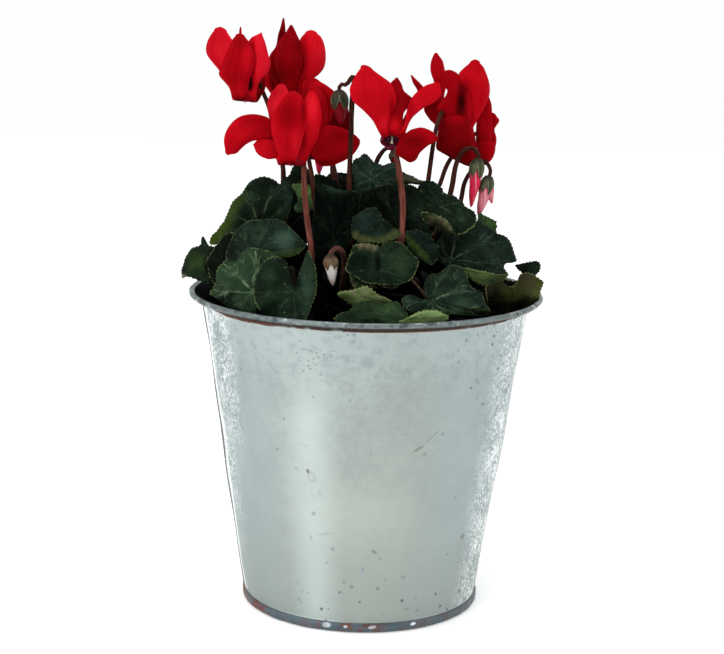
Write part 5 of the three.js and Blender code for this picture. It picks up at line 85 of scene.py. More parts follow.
        {'name': 'flower_1', 'mouth': [-46.7, -4.0, 192.9], 'axis': [0.05, 0.099, 0.994], 'ring': 4.2, 'rad': 0.95, 'petals': [{'name': 'left', 'rows': [[-49.6, -5.0, 192.9, -47.0, -5.0, 193.0], [-53.2, -3.0, 198.3, -49.4, -3.0, 198.4], [-56.7, -1.0, 203.3, -50.7, -2.0, 203.5], [-61.2, 1.0, 209.0, -51.1, -1.0, 208.6], [-61.3, 2.0, 213.0, -50.9, 0.0, 213.0], [-60.3, 2.0, 215.5, -52.5, 1.0, 215.1], [-58.9, 2.0, 217.6, -54.1, 2.0, 217.3]]}, {'name': 'front', 'rows': [[-50.9, -8.0, 192.8, -45.7, -8.0, 193.6], [-52.4, -10.5, 197.7, -45.2, -9.5, 197.4], [-55.6, -12.0, 201.9, -44.3, -10.0, 201.5], [-55.0, -12.0, 204.6, -43.1, -10.0, 204.8], [-53.6, -11.5, 208.6, -42.8, -9.5, 208.4], [-52.4, -10.0, 212.2, -43.8, -8.0, 212.0], [-51.2, -8.0, 214.9, -45.2, -7.0, 214.4], [-50.2, -6.5, 216.3, -46.7, -6.5, 216.0]]}, {'name': 'right', 'rows': [[-45.8, -6.0, 193.5, -42.7, -6.0, 193.9], [-45.7, -7.5, 196.5, -41.9, -6.5, 197.5], [-45.9, -8.0, 199.5, -40.5, -6.0, 200.2], [-45.6, -8.2, 202.4, -38.1, -5.8, 202.8], [-45.3, -7.8, 206.1, -37.1, -5.2, 206.5], [-45.3, -7.5, 210.1, -38.0, -4.5, 209.7], [-45.8, -6.5, 213.3, -39.3, -3.5, 213.7], [-44.3, -4.8, 215.7, -40.3, -3.2, 215.9], [-41.8, -3.5, 216.8, -40.7, -3.5, 217.3]]}, {'name': 'back_right', 'rows': [[-44.2, -2.0, 193.2, -42.4, -2.0, 193.3], [-43.2, -0.5, 195.0, -39.9, 0.5, 195.8], [-43.0, 0.5, 199.0, -39.6, 1.5, 199.8], [-43.1, 2.0, 203.4, -39.3, 2.0, 204.2], [-42.4, 2.0, 207.1, -40.1, 2.0, 207.2]]}, {'name': 'back', 'rows': [[-47.7, -1.0, 193.5, -46.2, -1.0, 193.5], [-49.1, 2.0, 199.6, -45.3, 2.0, 199.6], [-50.8, 4.0, 206.9, -45.5, 4.0, 207.0], [-50.1, 4.0, 212.4, -46.7, 4.0, 212.5], [-49.7, 3.5, 215.4, -48.6, 3.5, 215.6], [-49.5, 3.0, 218.0, -48.8, 3.0, 218.1], [-49.3, 3.0, 219.0, -49.0, 3.0, 219.0]]}], 'stem': [[-45.7, -3.0, 198.1], [-44.4, -1.0, 200.2], [-42.2, 0.0, 199.8], [-40.7, 1.0, 196.1], [-38.5, 2.0, 190.8], [-35.3, 2.5, 179.2], [-32.8, 5.0, 167.6], [-32.5, 6.5, 162.5], [-32.6, 6.5, 157.9], [-30.5, 6.3, 143.5], [-24.8, 5.9, 133.0], [-17.7, 5.4, 124.4], [-11.8, 5.0, 115.4], [-9.3, 4.9, 103.9]]},
        {'name': 'flower_2', 'mouth': [-31.3, 10.0, 191.6], 'axis': [-0.05, 0.099, 0.994], 'ring': 3.9, 'rad': 0.95, 'petals': [{'name': 'spike', 'rows': [[-33.1, 8.0, 192.8, -31.2, 8.0, 192.8], [-36.5, 6.5, 198.1, -32.0, 7.5, 198.1], [-38.7, 6.5, 203.3, -32.5, 7.5, 203.4], [-38.3, 7.5, 208.5, -33.0, 8.5, 208.2], [-36.1, 9.0, 212.2, -32.3, 9.0, 212.3], [-35.4, 10.0, 216.3, -32.6, 10.0, 216.0], [-34.4, 10.0, 219.6, -32.8, 10.0, 219.3], [-33.8, 10.0, 222.3, -33.2, 10.0, 222.3]]}, {'name': 'left', 'rows': [[-33.2, 9.0, 192.3, -32.0, 9.0, 192.4], [-38.3, 9.0, 194.9, -34.3, 9.0, 193.4], [-41.0, 9.0, 199.0, -35.9, 9.0, 197.9], [-40.4, 10.0, 201.5, -36.4, 10.0, 202.4], [-38.7, 10.0, 204.6, -36.1, 10.0, 206.1]]}, {'name': 'front', 'rows': [[-32.1, 10.0, 192.7, -29.8, 10.0, 192.7], [-34.8, 6.0, 199.6, -27.3, 6.0, 199.8], [-36.7, 5.0, 206.4, -25.8, 5.0, 206.2], [-36.0, 6.0, 211.4, -26.1, 6.0, 211.0], [-34.0, 7.0, 215.5, -27.1, 7.0, 214.7], [-32.2, 8.0, 217.9, -28.5, 8.0, 217.4], [-31.1, 8.0, 219.5, -29.8, 8.0, 219.7]]}, {'name': 'right', 'rows': [[-30.6, 10.0, 192.7, -28.7, 10.0, 192.7], [-29.0, 7.5, 196.7, -24.5, 8.5, 198.0], [-28.1, 7.0, 200.9, -19.6, 9.0, 201.7], [-27.6, 6.8, 205.7, -17.4, 9.2, 204.9], [-27.5, 6.8, 210.6, -17.1, 9.2, 209.6], [-27.4, 8.0, 213.7, -18.0, 10.0, 213.5], [-26.5, 9.5, 215.7, -19.2, 10.5, 215.8], [-25.3, 11.0, 216.9, -20.7, 11.0, 217.0]]}, {'name': 'back', 'rows': [[-32.3, 14.0, 192.4, -30.4, 14.0, 192.4], [-33.2, 16.0, 199.1, -27.1, 16.0, 199.2], [-33.4, 18.0, 206.6, -25.8, 18.0, 206.7], [-32.7, 18.0, 211.9, -27.4, 18.0, 212.0], [-31.2, 17.0, 213.5, -29.3, 17.0, 213.5]]}], 'stem': [[-31.0, 11.0, 196.8], [-29.3, 13.0, 199.4], [-27.0, 14.0, 197.4], [-22.3, 16.0, 187.9], [-17.1, 14.0, 176.7], [-14.2, 10.0, 169.4], [-12.8, 6.0, 164.2], [-11.9, 2.0, 158.2], [-8.9, -4.6, 147.0], [-4.8, -8.2, 137.5], [-0.6, -9.8, 128.3], [2.6, -10.0, 117.5], [4.0, -9.9, 103.7]]},
        {'name': 'flower_3', 'mouth': [-28.7, -16.0, 170.7], 'axis': [0.02, 0.119, 0.993], 'ring': 4.4, 'rad': 1.1, 'petals': [{'name': 'left_back', 'rows': [[-31.7, -16.0, 171.8, -30.2, -16.0, 171.8], [-34.4, -14.0, 177.0, -30.7, -14.0, 177.1], [-36.3, -13.0, 182.1, -30.8, -13.0, 182.2], [-37.1, -12.0, 186.7, -30.9, -12.0, 186.9], [-37.7, -11.0, 191.1, -30.6, -12.0, 191.3], [-37.3, -10.5, 194.0, -30.1, -11.5, 194.2], [-36.1, -11.0, 196.4, -30.1, -11.0, 196.0], [-34.6, -11.0, 198.1, -31.1, -11.0, 198.0]]}, {'name': 'front', 'rows': [[-32.0, -20.0, 171.1, -26.7, -20.0, 170.6], [-33.8, -22.5, 176.4, -25.6, -21.5, 175.8], [-35.1, -23.8, 181.2, -24.2, -22.2, 180.2], [-35.7, -24.0, 186.3, -23.0, -22.0, 185.3], [-34.4, -23.0, 190.2, -23.0, -21.0, 189.6], [-32.4, -21.5, 193.7, -23.7, -19.5, 193.1], [-30.6, -19.5, 196.1, -25.1, -18.5, 195.5], [-29.0, -18.0, 196.7, -26.6, -18.0, 196.2]]}, {'name': 'right', 'rows': [[-27.5, -17.0, 170.8, -24.6, -17.0, 171.3], [-26.4, -18.5, 175.1, -21.3, -17.5, 175.5], [-25.7, -20.0, 178.9, -19.4, -18.0, 179.4], [-25.0, -20.0, 182.6, -18.5, -18.0, 183.3], [-24.7, -19.5, 186.2, -17.9, -17.5, 186.5], [-24.6, -19.0, 189.4, -18.0, -17.0, 189.4], [-24.3, -18.0, 192.2, -18.3, -16.0, 192.2], [-23.9, -16.5, 194.5, -18.8, -15.5, 194.6], [-23.0, -15.5, 196.2, -19.8, -15.5, 196.4]]}, {'name': 'drooping', 'rows': [[-32.4, -15.0, 171.6, -30.6, -15.0, 171.3], [-34.4, -15.0, 179.0, -31.8, -15.0, 175.3], [-36.1, -16.0, 186.3, -34.3, -16.0, 178.7], [-39.5, -17.0, 188.0, -37.9, -17.0, 178.6], [-43.8, -18.0, 188.4, -41.9, -18.0, 178.8], [-48.1, -19.0, 187.1, -44.8, -19.0, 177.6], [-51.4, -20.0, 183.7, -46.9, -20.0, 175.9], [-53.0, -21.0, 179.5, -48.6, -21.0, 174.3], [-52.5, -21.0, 175.3, -50.8, -21.0, 174.0]]}, {'name': 'left_low', 'rows': [[-31.3, -15.0, 172.4, -32.1, -15.0, 170.5], [-33.6, -16.0, 177.6, -34.1, -16.0, 172.2], [-36.8, -17.0, 179.3, -37.1, -17.0, 172.0], [-39.4, -17.0, 179.3, -40.1, -17.0, 173.2], [-41.4, -17.0, 178.7, -41.6, -17.0, 174.8], [-42.2, -17.0, 177.6, -42.3, -17.0, 176.8]]}], 'stem': [[-28.7, -14.0, 176.1], [-27.9, -12.0, 178.8], [-26.1, -9.5, 179.0], [-24.6, -9.5, 176.1], [-24.1, -12.0, 172.3], [-23.8, -17.0, 168.4], [-23.5, -20.0, 163.2], [-22.6, -24.0, 154.5], [-21.3, -28.0, 147.0], [-20.3, -32.0, 142.1], [-19.9, -35.0, 137.1], [-20.1, -34.0, 131.4], [-17.1, -28.8, 121.3], [-9.5, -19.9, 116.2], [-0.3, -10.0, 113.4], [7.4, -2.0, 110.1], [10.6, 1.3, 103.7]]},
        {'name': 'flower_4', 'mouth': [-20.1, 4.0, 170.9], 'axis': [0.099, 0.099, 0.99], 'ring': 3.2, 'rad': 0.95, 'petals': [{'name': 'back_top', 'rows': [[-21.6, 4.0, 170.7, -19.4, 4.0, 170.7], [-23.2, 2.0, 177.6, -17.1, 2.0, 177.8], [-24.0, 1.5, 185.2, -14.6, 2.5, 185.3], [-24.4, 2.0, 191.9, -12.9, 4.0, 191.3], [-25.4, 3.0, 196.3, -12.0, 5.0, 194.6], [-25.6, 4.5, 198.8, -14.9, 5.5, 197.1], [-24.2, 6.0, 200.1, -19.0, 6.0, 199.4]]}, {'name': 'right_low', 'rows': [[-22.6, 0.0, 171.1, -21.1, 0.0, 169.2], [-21.7, -1.0, 174.6, -18.8, -1.0, 168.4], [-19.1, -1.5, 179.6, -14.2, -1.5, 168.4], [-16.4, -1.5, 183.4, -9.4, -1.5, 170.3], [-12.1, -1.0, 183.3, -6.2, -1.0, 172.5], [-8.1, -0.5, 181.7, -4.3, -0.5, 175.1], [-5.5, 0.0, 180.1, -3.5, 0.0, 177.3], [-4.1, 0.0, 178.7, -3.7, 0.0, 178.0]]}, {'name': 'right', 'rows': [[-20.1, 5.0, 169.8, -17.8, 5.0, 169.9], [-16.8, 6.0, 175.5, -11.9, 6.0, 175.6], [-15.4, 6.0, 182.0, -6.8, 6.0, 179.9], [-14.8, 7.0, 188.0, -7.8, 7.0, 186.6], [-13.4, 7.0, 192.5, -8.8, 7.0, 191.1], [-12.7, 7.0, 194.8, -10.0, 7.0, 194.1]]}, {'name': 'left', 'rows': [[-21.9, 1.0, 170.2, -20.0, 1.0, 169.1], [-24.2, 0.0, 174.0, -18.9, 0.0, 173.0], [-25.2, -1.0, 178.6, -17.1, -1.0, 177.7], [-25.6, -1.5, 184.7, -15.9, -0.5, 183.7], [-25.7, -1.0, 190.6, -15.8, 0.0, 190.0], [-26.0, -0.5, 194.3, -16.8, 0.5, 194.0], [-25.1, 1.0, 196.8, -18.9, 1.0, 196.6], [-23.3, 2.0, 198.2, -20.9, 2.0, 198.2]]}, {'name': 'back', 'rows': [[-21.0, 8.0, 170.3, -19.1, 8.0, 170.3], [-21.9, 10.0, 176.9, -16.6, 10.0, 177.0], [-22.5, 12.0, 184.4, -16.0, 12.0, 184.5], [-21.8, 12.0, 190.5, -16.5, 12.0, 190.6], [-20.3, 11.0, 192.9, -18.4, 11.0, 192.9]]}], 'stem': [[-19.5, 6.0, 174.7], [-20.0, 9.0, 177.8], [-22.3, 8.0, 177.1], [-23.2, 3.0, 173.8], [-22.6, -1.0, 170.4], [-21.6, -5.0, 166.3], [-20.7, -8.0, 161.1], [-19.8, -9.0, 154.8], [-17.9, -9.3, 146.1], [-15.2, -7.9, 138.6], [-12.5, -5.6, 130.3], [-10.4, -3.4, 119.6], [-9.6, -2.5, 104.6]]},
        {'name': 'flower_5', 'mouth': [8.4, -14.0, 179.6], 'axis': [0.05, 0.75, 0.66], 'ring': 3.9, 'rad': 1.12, 'petals': [{'name': 'left', 'rows': [[4.5, -16.0, 179.6, 7.2, -16.0, 181.8], [3.2, -17.5, 183.3, 7.3, -16.5, 184.8], [1.1, -19.0, 187.2, 7.9, -17.0, 188.1], [-2.6, -20.0, 191.2, 9.2, -17.0, 192.2], [-6.2, -20.0, 194.6, 9.6, -17.0, 195.1], [-7.3, -19.5, 198.3, 9.1, -16.5, 197.6], [-6.7, -18.0, 201.1, 7.6, -16.0, 200.7], [-5.3, -16.5, 203.8, 4.3, -15.5, 203.2], [-3.8, -15.0, 205.8, 0.7, -15.0, 205.5]]}, {'name': 'back', 'rows': [[6.8, -17.0, 181.9, 11.2, -17.0, 182.0], [6.1, -16.5, 185.5, 12.2, -16.5, 185.6], [6.8, -15.5, 189.8, 12.3, -15.5, 189.6], [7.3, -13.0, 192.9, 14.6, -13.0, 192.9], [7.2, -11.5, 195.4, 15.5, -11.5, 195.3], [7.2, -10.0, 198.6, 12.4, -10.0, 197.7], [7.5, -9.0, 200.4, 11.4, -9.0, 200.0], [8.8, -8.0, 201.4, 10.3, -8.0, 201.5]]}, {'name': 'right', 'rows': [[10.9, -15.0, 181.1, 12.5, -15.0, 181.8], [12.6, -16.5, 185.2, 13.9, -15.5, 184.7], [13.4, -16.5, 188.9, 16.1, -15.5, 188.5], [14.0, -15.5, 192.4, 19.5, -14.5, 191.8], [15.6, -14.5, 195.8, 23.3, -13.5, 193.9], [19.5, -13.5, 199.6, 26.1, -12.5, 196.9], [23.1, -12.0, 200.9, 25.6, -12.0, 199.6]]}, {'name': 'right_low', 'rows': [[12.0, -15.5, 180.8, 8.8, -15.5, 176.8], [13.7, -16.5, 183.1, 9.6, -16.5, 175.4], [15.3, -17.5, 184.2, 12.1, -17.5, 173.4], [17.3, -18.5, 184.8, 14.7, -18.5, 172.1], [19.3, -18.5, 184.9, 17.0, -18.5, 172.8], [21.5, -18.5, 184.3, 18.6, -18.5, 175.6], [23.6, -18.0, 183.1, 21.7, -18.0, 178.4], [24.5, -17.5, 181.8, 24.1, -17.5, 179.9]]}, {'name': 'thin', 'rows': [[11.3, -11.0, 181.8, 12.4, -11.0, 182.2], [12.6, -9.0, 187.6, 14.5, -9.0, 186.9], [15.5, -7.0, 193.4, 18.5, -7.0, 192.7], [17.5, -6.0, 197.4, 20.0, -6.0, 197.9], [15.8, -6.0, 200.2, 18.9, -6.0, 199.7], [14.8, -6.0, 203.1, 15.4, -6.0, 202.9]]}], 'stem': [[8.8, -9.0, 183.8], [9.9, -6.0, 186.2], [11.6, -4.5, 186.1], [12.5, -5.5, 183.2], [11.8, -7.0, 178.9], [10.4, -9.0, 175.7], [10.1, -12.0, 173.8], [10.8, -15.0, 170.8], [11.9, -18.0, 164.5], [12.8, -23.0, 157.0], [12.7, -28.0, 150.3], [12.1, -33.0, 144.1], [10.0, -32.6, 137.8], [5.7, -25.2, 130.3], [0.9, -14.9, 122.3], [-3.1, -5.8, 114.5], [-4.8, -1.8, 107.4]]},
        {'name': 'flower_6', 'mouth': [31.9, 6.0, 174.7], 'axis': [0.03, 0.099, 0.995], 'ring': 3.8, 'rad': 0.85, 'petals': [{'name': 'top_left', 'rows': [[29.7, 8.0, 175.2, 31.2, 8.0, 175.2], [26.8, 9.0, 183.8, 30.6, 9.0, 183.9], [25.0, 10.0, 193.2, 28.0, 10.0, 193.2], [24.4, 10.0, 196.6, 28.2, 10.0, 196.3], [24.0, 10.0, 199.9, 29.0, 10.0, 199.7], [22.6, 10.0, 204.1, 27.9, 10.0, 204.9], [22.7, 10.0, 207.6, 27.0, 10.0, 208.1], [23.7, 10.0, 210.3, 25.5, 10.0, 210.0]]}, {'name': 'front', 'rows': [[29.1, 3.0, 174.9, 33.6, 3.0, 175.0], [27.3, 1.0, 181.9, 36.3, 1.0, 181.3], [26.7, 1.0, 186.7, 38.0, 1.0, 186.6], [25.1, 1.5, 190.8, 38.3, 1.5, 191.1], [28.0, 2.0, 194.9, 37.8, 2.0, 195.1], [28.9, 2.5, 197.3, 36.6, 2.5, 197.3], [27.0, 4.0, 199.4, 35.9, 4.0, 199.6], [27.2, 5.0, 203.1, 33.4, 5.0, 202.5]]}, {'name': 'left_low', 'rows': [[29.2, 8.0, 178.3, 31.1, 8.0, 178.3], [25.4, 9.0, 183.0, 30.2, 9.0, 182.7], [22.7, 10.0, 185.9, 29.4, 10.0, 186.4], [20.5, 10.0, 189.7, 28.9, 10.0, 190.2], [22.0, 10.0, 192.5, 28.0, 10.0, 192.7], [25.0, 10.0, 194.3, 26.9, 10.0, 194.4]]}, {'name': 'right', 'rows': [[33.0, 6.0, 174.7, 34.9, 6.0, 174.8], [34.3, 6.0, 183.1, 39.2, 6.0, 183.2], [34.3, 4.5, 190.0, 42.7, 5.5, 189.4], [33.8, 4.0, 195.7, 45.0, 6.0, 194.6], [33.0, 4.0, 200.5, 45.0, 6.0, 199.9], [33.3, 5.5, 203.8, 43.3, 6.5, 204.4], [35.3, 6.0, 206.0, 42.2, 6.0, 206.3], [36.9, 6.0, 207.4, 41.0, 6.0, 207.6]]}, {'name': 'low', 'rows': [[29.2, 4.0, 183.9, 34.1, 4.0, 184.0], [26.7, 0.0, 186.8, 37.8, 0.0, 186.7], [25.8, -1.5, 182.8, 39.2, -1.5, 182.7], [25.3, -2.0, 179.3, 40.2, -2.0, 177.9], [25.5, -2.0, 175.3, 40.3, -2.0, 172.7], [29.7, -1.5, 173.2, 39.8, -1.5, 169.3], [34.1, -1.0, 171.9, 38.7, -1.0, 168.6]]}], 'stem': [[31.8, 8.0, 180.2], [30.6, 9.0, 183.9], [27.9, 4.0, 188.8], [26.3, -3.0, 188.4], [24.8, -5.0, 183.5], [23.6, -6.0, 175.7], [22.9, -5.0, 168.8], [22.1, -3.0, 161.8], [18.8, -0.7, 149.1], [13.3, -0.8, 137.9], [7.2, -2.2, 127.6], [2.3, -3.8, 117.7], [0.2, -4.6, 107.6]]},
        {'name': 'flower_7', 'mouth': [44.4, 14.0, 172.3], 'axis': [0.03, 0.099, 0.995], 'ring': 2.7, 'rad': 0.9, 'petals': [{'name': 'front', 'rows': [[42.6, 12.0, 172.0, 44.9, 12.0, 172.1], [40.9, 10.0, 177.6, 46.5, 10.0, 176.9], [40.8, 10.0, 183.3, 46.9, 10.0, 183.0], [41.2, 10.5, 188.6, 46.5, 10.5, 188.7], [41.6, 11.0, 192.1, 46.2, 11.0, 191.9], [42.9, 12.0, 193.9, 45.5, 12.0, 193.6]]}, {'name': 'right', 'rows': [[44.3, 14.0, 171.5, 46.6, 14.0, 171.2], [44.2, 14.0, 174.2, 48.4, 14.0, 174.7], [44.0, 14.0, 178.0, 48.8, 14.0, 178.7], [44.3, 15.0, 181.8, 48.0, 15.0, 182.2], [44.2, 15.0, 185.0, 49.7, 15.0, 185.5], [44.5, 15.0, 187.1, 48.4, 15.0, 187.4]]}, {'name': 'low', 'rows': [[42.9, 12.0, 173.6, 45.2, 12.0, 173.6], [41.2, 9.0, 177.7, 47.9, 9.0, 177.8], [41.1, 8.5, 174.3, 48.1, 8.5, 174.4], [41.8, 8.7, 171.4, 47.0, 8.7, 171.3], [42.9, 9.0, 170.1, 45.7, 9.0, 170.0]]}, {'name': 'back', 'rows': [[43.8, 18.0, 170.7, 45.7, 18.0, 170.7], [42.5, 21.0, 177.3, 48.0, 21.0, 177.5], [42.4, 22.0, 184.2, 47.8, 22.0, 184.3], [43.3, 22.0, 190.4, 46.4, 22.0, 190.5], [44.4, 21.0, 192.1, 45.1, 21.0, 192.1]]}, {'name': 'back_left', 'rows': [[42.8, 16.0, 171.6, 44.4, 16.0, 170.9], [41.3, 19.0, 177.5, 44.4, 19.0, 177.6], [41.3, 20.0, 183.6, 44.2, 20.0, 183.7], [41.7, 20.0, 188.2, 44.0, 20.0, 188.3], [42.4, 20.0, 189.8, 43.2, 20.0, 189.8]]}], 'stem': [[44.2, 16.0, 175.5], [43.7, 18.5, 179.9], [41.6, 20.0, 180.1], [38.5, 19.0, 177.8], [34.6, 15.0, 174.3], [31.1, 10.5, 170.6], [29.0, 5.5, 167.1], [26.7, 0.0, 161.5], [21.8, -4.8, 153.6], [15.0, -4.5, 145.2], [8.0, -1.4, 135.4], [2.5, 2.2, 123.3], [0.3, 3.9, 107.8]]},
    ],
    "buds": [
        {'name': 'bud_1', 'top': [-11.6, -8.0, 196.8], 'tip': [-10.7, -8.0, 184.4], 'sep': 6.3, 'rs': 3.3, 'rp': 2.4, 'tone': -0.6, 'rad': 0.95, 'stem': [[-11.6, -8.0, 196.6], [-11.5, -8.0, 198.5], [-10.4, -8.0, 199.6], [-9.1, -8.0, 199.2], [-7.7, -8.0, 201.1], [-6.5, -6.6, 202.3], [-6.1, -5.0, 200.6], [-6.6, -4.5, 196.4], [-6.9, -4.5, 189.0], [-6.9, -5.0, 180.5], [-7.1, -5.5, 171.2], [-7.2, -6.0, 159.2], [-5.6, -6.2, 151.1], [-1.7, -6.3, 143.0], [3.0, -6.2, 133.5], [7.0, -6.1, 121.0], [8.6, -6.0, 103.9]]},
        {'name': 'bud_2', 'top': [40.8, -6.0, 172.5], 'tip': [38.7, -6.0, 154.6], 'sep': 6.5, 'rs': 2.8, 'rp': 2.1, 'tone': 0.4, 'rad': 0.95, 'stem': [[40.9, -6.0, 172.3], [40.5, -6.0, 174.8], [38.6, -6.0, 176.7], [36.0, -6.0, 176.3], [33.8, -6.0, 173.9], [32.4, -6.0, 169.5], [31.4, -7.0, 162.9], [30.3, -8.0, 158.1], [25.1, -9.1, 144.6], [17.9, -7.2, 134.2], [10.5, -3.9, 125.5], [4.7, -0.7, 117.3], [2.4, 0.8, 108.1]]},
        {'name': 'bud_3', 'top': [45.3, -3.0, 165.6], 'tip': [41.8, -3.0, 150.9], 'sep': 6.0, 'rs': 2.7, 'rp': 2.2, 'tone': 0.6, 'rad': 0.85, 'stem': [[45.3, -3.0, 165.5], [45.9, -1.5, 167.8], [45.0, 1.0, 170.0], [43.3, 4.0, 171.0], [41.1, 4.0, 169.4], [38.5, 4.0, 166.3], [36.5, 3.0, 162.6], [34.9, 0.0, 155.3], [29.3, -3.3, 141.4], [21.0, -1.8, 130.4], [12.3, 2.1, 121.4], [5.4, 6.2, 113.5], [2.6, 8.1, 105.8]]},
        {'name': 'bud_4', 'top': [-13.0, -47.0, 141.3], 'tip': [-11.8, -47.0, 130.7], 'sep': 4.6, 'rs': 2.6, 'rp': 1.9, 'tone': 1.0, 'rad': 1.1, 'stem': [[-13.0, -47.0, 141.0], [-12.4, -46.0, 142.8], [-10.7, -44.0, 143.7], [-9.1, -41.0, 142.3], [-8.2, -38.0, 138.7], [-8.1, -35.0, 132.9], [-8.9, -31.0, 125.9], [-8.7, -24.5, 122.1], [-7.0, -14.5, 121.7], [-4.6, -3.8, 121.3], [-2.5, 4.7, 117.2], [-1.6, 8.2, 106.0]]},
        {'name': 'bud_5', 'top': [-18.8, 9.0, 172.9], 'tip': [-19.0, 9.0, 163.9], 'sep': 3.5, 'rs': 1.7, 'rp': 1.7, 'tone': 0.5, 'rad': 0.8, 'stem': [[-18.8, 9.0, 172.5], [-18.1, 11.0, 175.4], [-15.9, 13.5, 176.0], [-14.7, 14.3, 172.1], [-14.1, 13.2, 165.3], [-14.0, 11.5, 157.0], [-13.0, 10.1, 147.4], [-10.8, 9.2, 135.8], [-8.4, 8.7, 123.9], [-6.3, 8.5, 113.0], [-5.5, 8.4, 104.7]]},
        {'name': 'bud_6', 'top': [9.5, 9.0, 173.1], 'tip': [9.2, 9.0, 168.7], 'sep': 2.7, 'rs': 1.8, 'rp': 1.4, 'tone': -0.6, 'rad': 0.9, 'stem': [[9.5, 9.0, 172.8], [8.3, 9.0, 174.5], [6.4, 9.0, 174.4], [4.2, 9.0, 171.9], [2.7, 9.0, 168.4], [2.2, 9.0, 160.3], [0.8, 8.4, 150.8], [-1.4, 7.0, 142.0], [-3.8, 5.3, 132.6], [-5.7, 4.0, 121.3], [-6.5, 3.4, 106.6]]},
    ],
}


# ---------------------------------------------------------------- the camera and the picture plane
EYE = np.array([0.0, -663.83, 239.73])
PITCH, YAW, ROLL, FOCAL = 0.1981, -0.00185, 0.0221, 1760.53
FWD = np.array([math.sin(YAW) * math.cos(PITCH), math.cos(YAW) * math.cos(PITCH), -math.sin(PITCH)])
SIDE = np.array([math.cos(YAW), -math.sin(YAW), 0.0])
UPW = np.cross(SIDE, FWD)
CAM_X = math.cos(ROLL) * SIDE + math.sin(ROLL) * UPW
CAM_Y = -math.sin(ROLL) * SIDE + math.cos(ROLL) * UPW


def seen_at(p):
    """Where points of the row frame (mm) fall in the 724 x 654 picture."""
    v = np.asarray(p, float) - EYE
    d = v @ FWD
    return 362 + FOCAL * (v @ CAM_X) / d, 327 - FOCAL * (v @ CAM_Y) / d


def on_depth(px, py, y):
    """The point (mm) seen at a place in the picture, on the plane at depth y."""
    d = FWD + CAM_X * (px - 362) / FOCAL - CAM_Y * (py - 327) / FOCAL
    return EYE + d * (y - EYE[1]) / d[1]


# ---------------------------------------------------------------- shapes in numbers
def unit(v):
    v = np.asarray(v, float)
    return v / max(np.linalg.norm(v), 1e-9)


def smooth(a, b, x):
    t = np.clip((np.asarray(x, float) - a) / (b - a), 0, 1)
    return t * t * (3 - 2 * t)


def catmull(points, closed, n, at=None):
    """Centripetal Catmull-Rom curve through the points, as n points evenly spaced along it (or at the given shares of its length)."""
    P = np.asarray(points, float)
    Q = np.vstack([P[-1], P, P[0], P[1]]) if closed else np.vstack([2 * P[0] - P[1], P, 2 * P[-1] - P[-2]])
    out = []
    for i in range(1, len(Q) - 2):
        p0, p1, p2, p3 = Q[i - 1], Q[i], Q[i + 1], Q[i + 2]
        t0 = 0.0
        t1 = t0 + max(np.linalg.norm(p1 - p0), 1e-6) ** 0.5
        t2 = t1 + max(np.linalg.norm(p2 - p1), 1e-6) ** 0.5
        t3 = t2 + max(np.linalg.norm(p3 - p2), 1e-6) ** 0.5
        t = np.linspace(t1, t2, 24, endpoint=False)[:, None]
        A1 = (t1 - t) / (t1 - t0) * p0 + (t - t0) / (t1 - t0) * p1
        A2 = (t2 - t) / (t2 - t1) * p1 + (t - t1) / (t2 - t1) * p2
        A3 = (t3 - t) / (t3 - t2) * p2 + (t - t2) / (t3 - t2) * p3
        B1 = (t2 - t) / (t2 - t0) * A1 + (t - t0) / (t2 - t0) * A2
        B2 = (t3 - t) / (t3 - t1) * A2 + (t - t1) / (t3 - t1) * A3
        out.append((t2 - t) / (t2 - t1) * B1 + (t - t1) / (t2 - t1) * B2)
    out = np.vstack(out + [[Q[1] if closed else Q[-2]]])
    d = np.concatenate([[0], np.cumsum(np.linalg.norm(np.diff(out, axis=0), axis=1))])
    s = np.linspace(0, d[-1], n, endpoint=not closed) if at is None else np.asarray(at) * d[-1]
    return np.stack([np.interp(s, d, out[:, k]) for k in range(out.shape[1])], 1)


class Waves:
    """Smooth seeded noise in space, about -1 to 1."""

    def __init__(self, seed, size, n=14):
        r = np.random.RandomState(seed)
        k = r.normal(size=(n, 3))
        k /= np.linalg.norm(k, axis=1)[:, None]
        self.k = k * (2 * math.pi / size) * r.uniform(0.5, 1.6, (n, 1))
        self.p = r.uniform(0, 2 * math.pi, n)
        self.a = 1.6 / math.sqrt(n)

    def __call__(self, p):
        return self.a * np.sin(np.asarray(p, float) @ self.k.T + self.p).sum(-1)


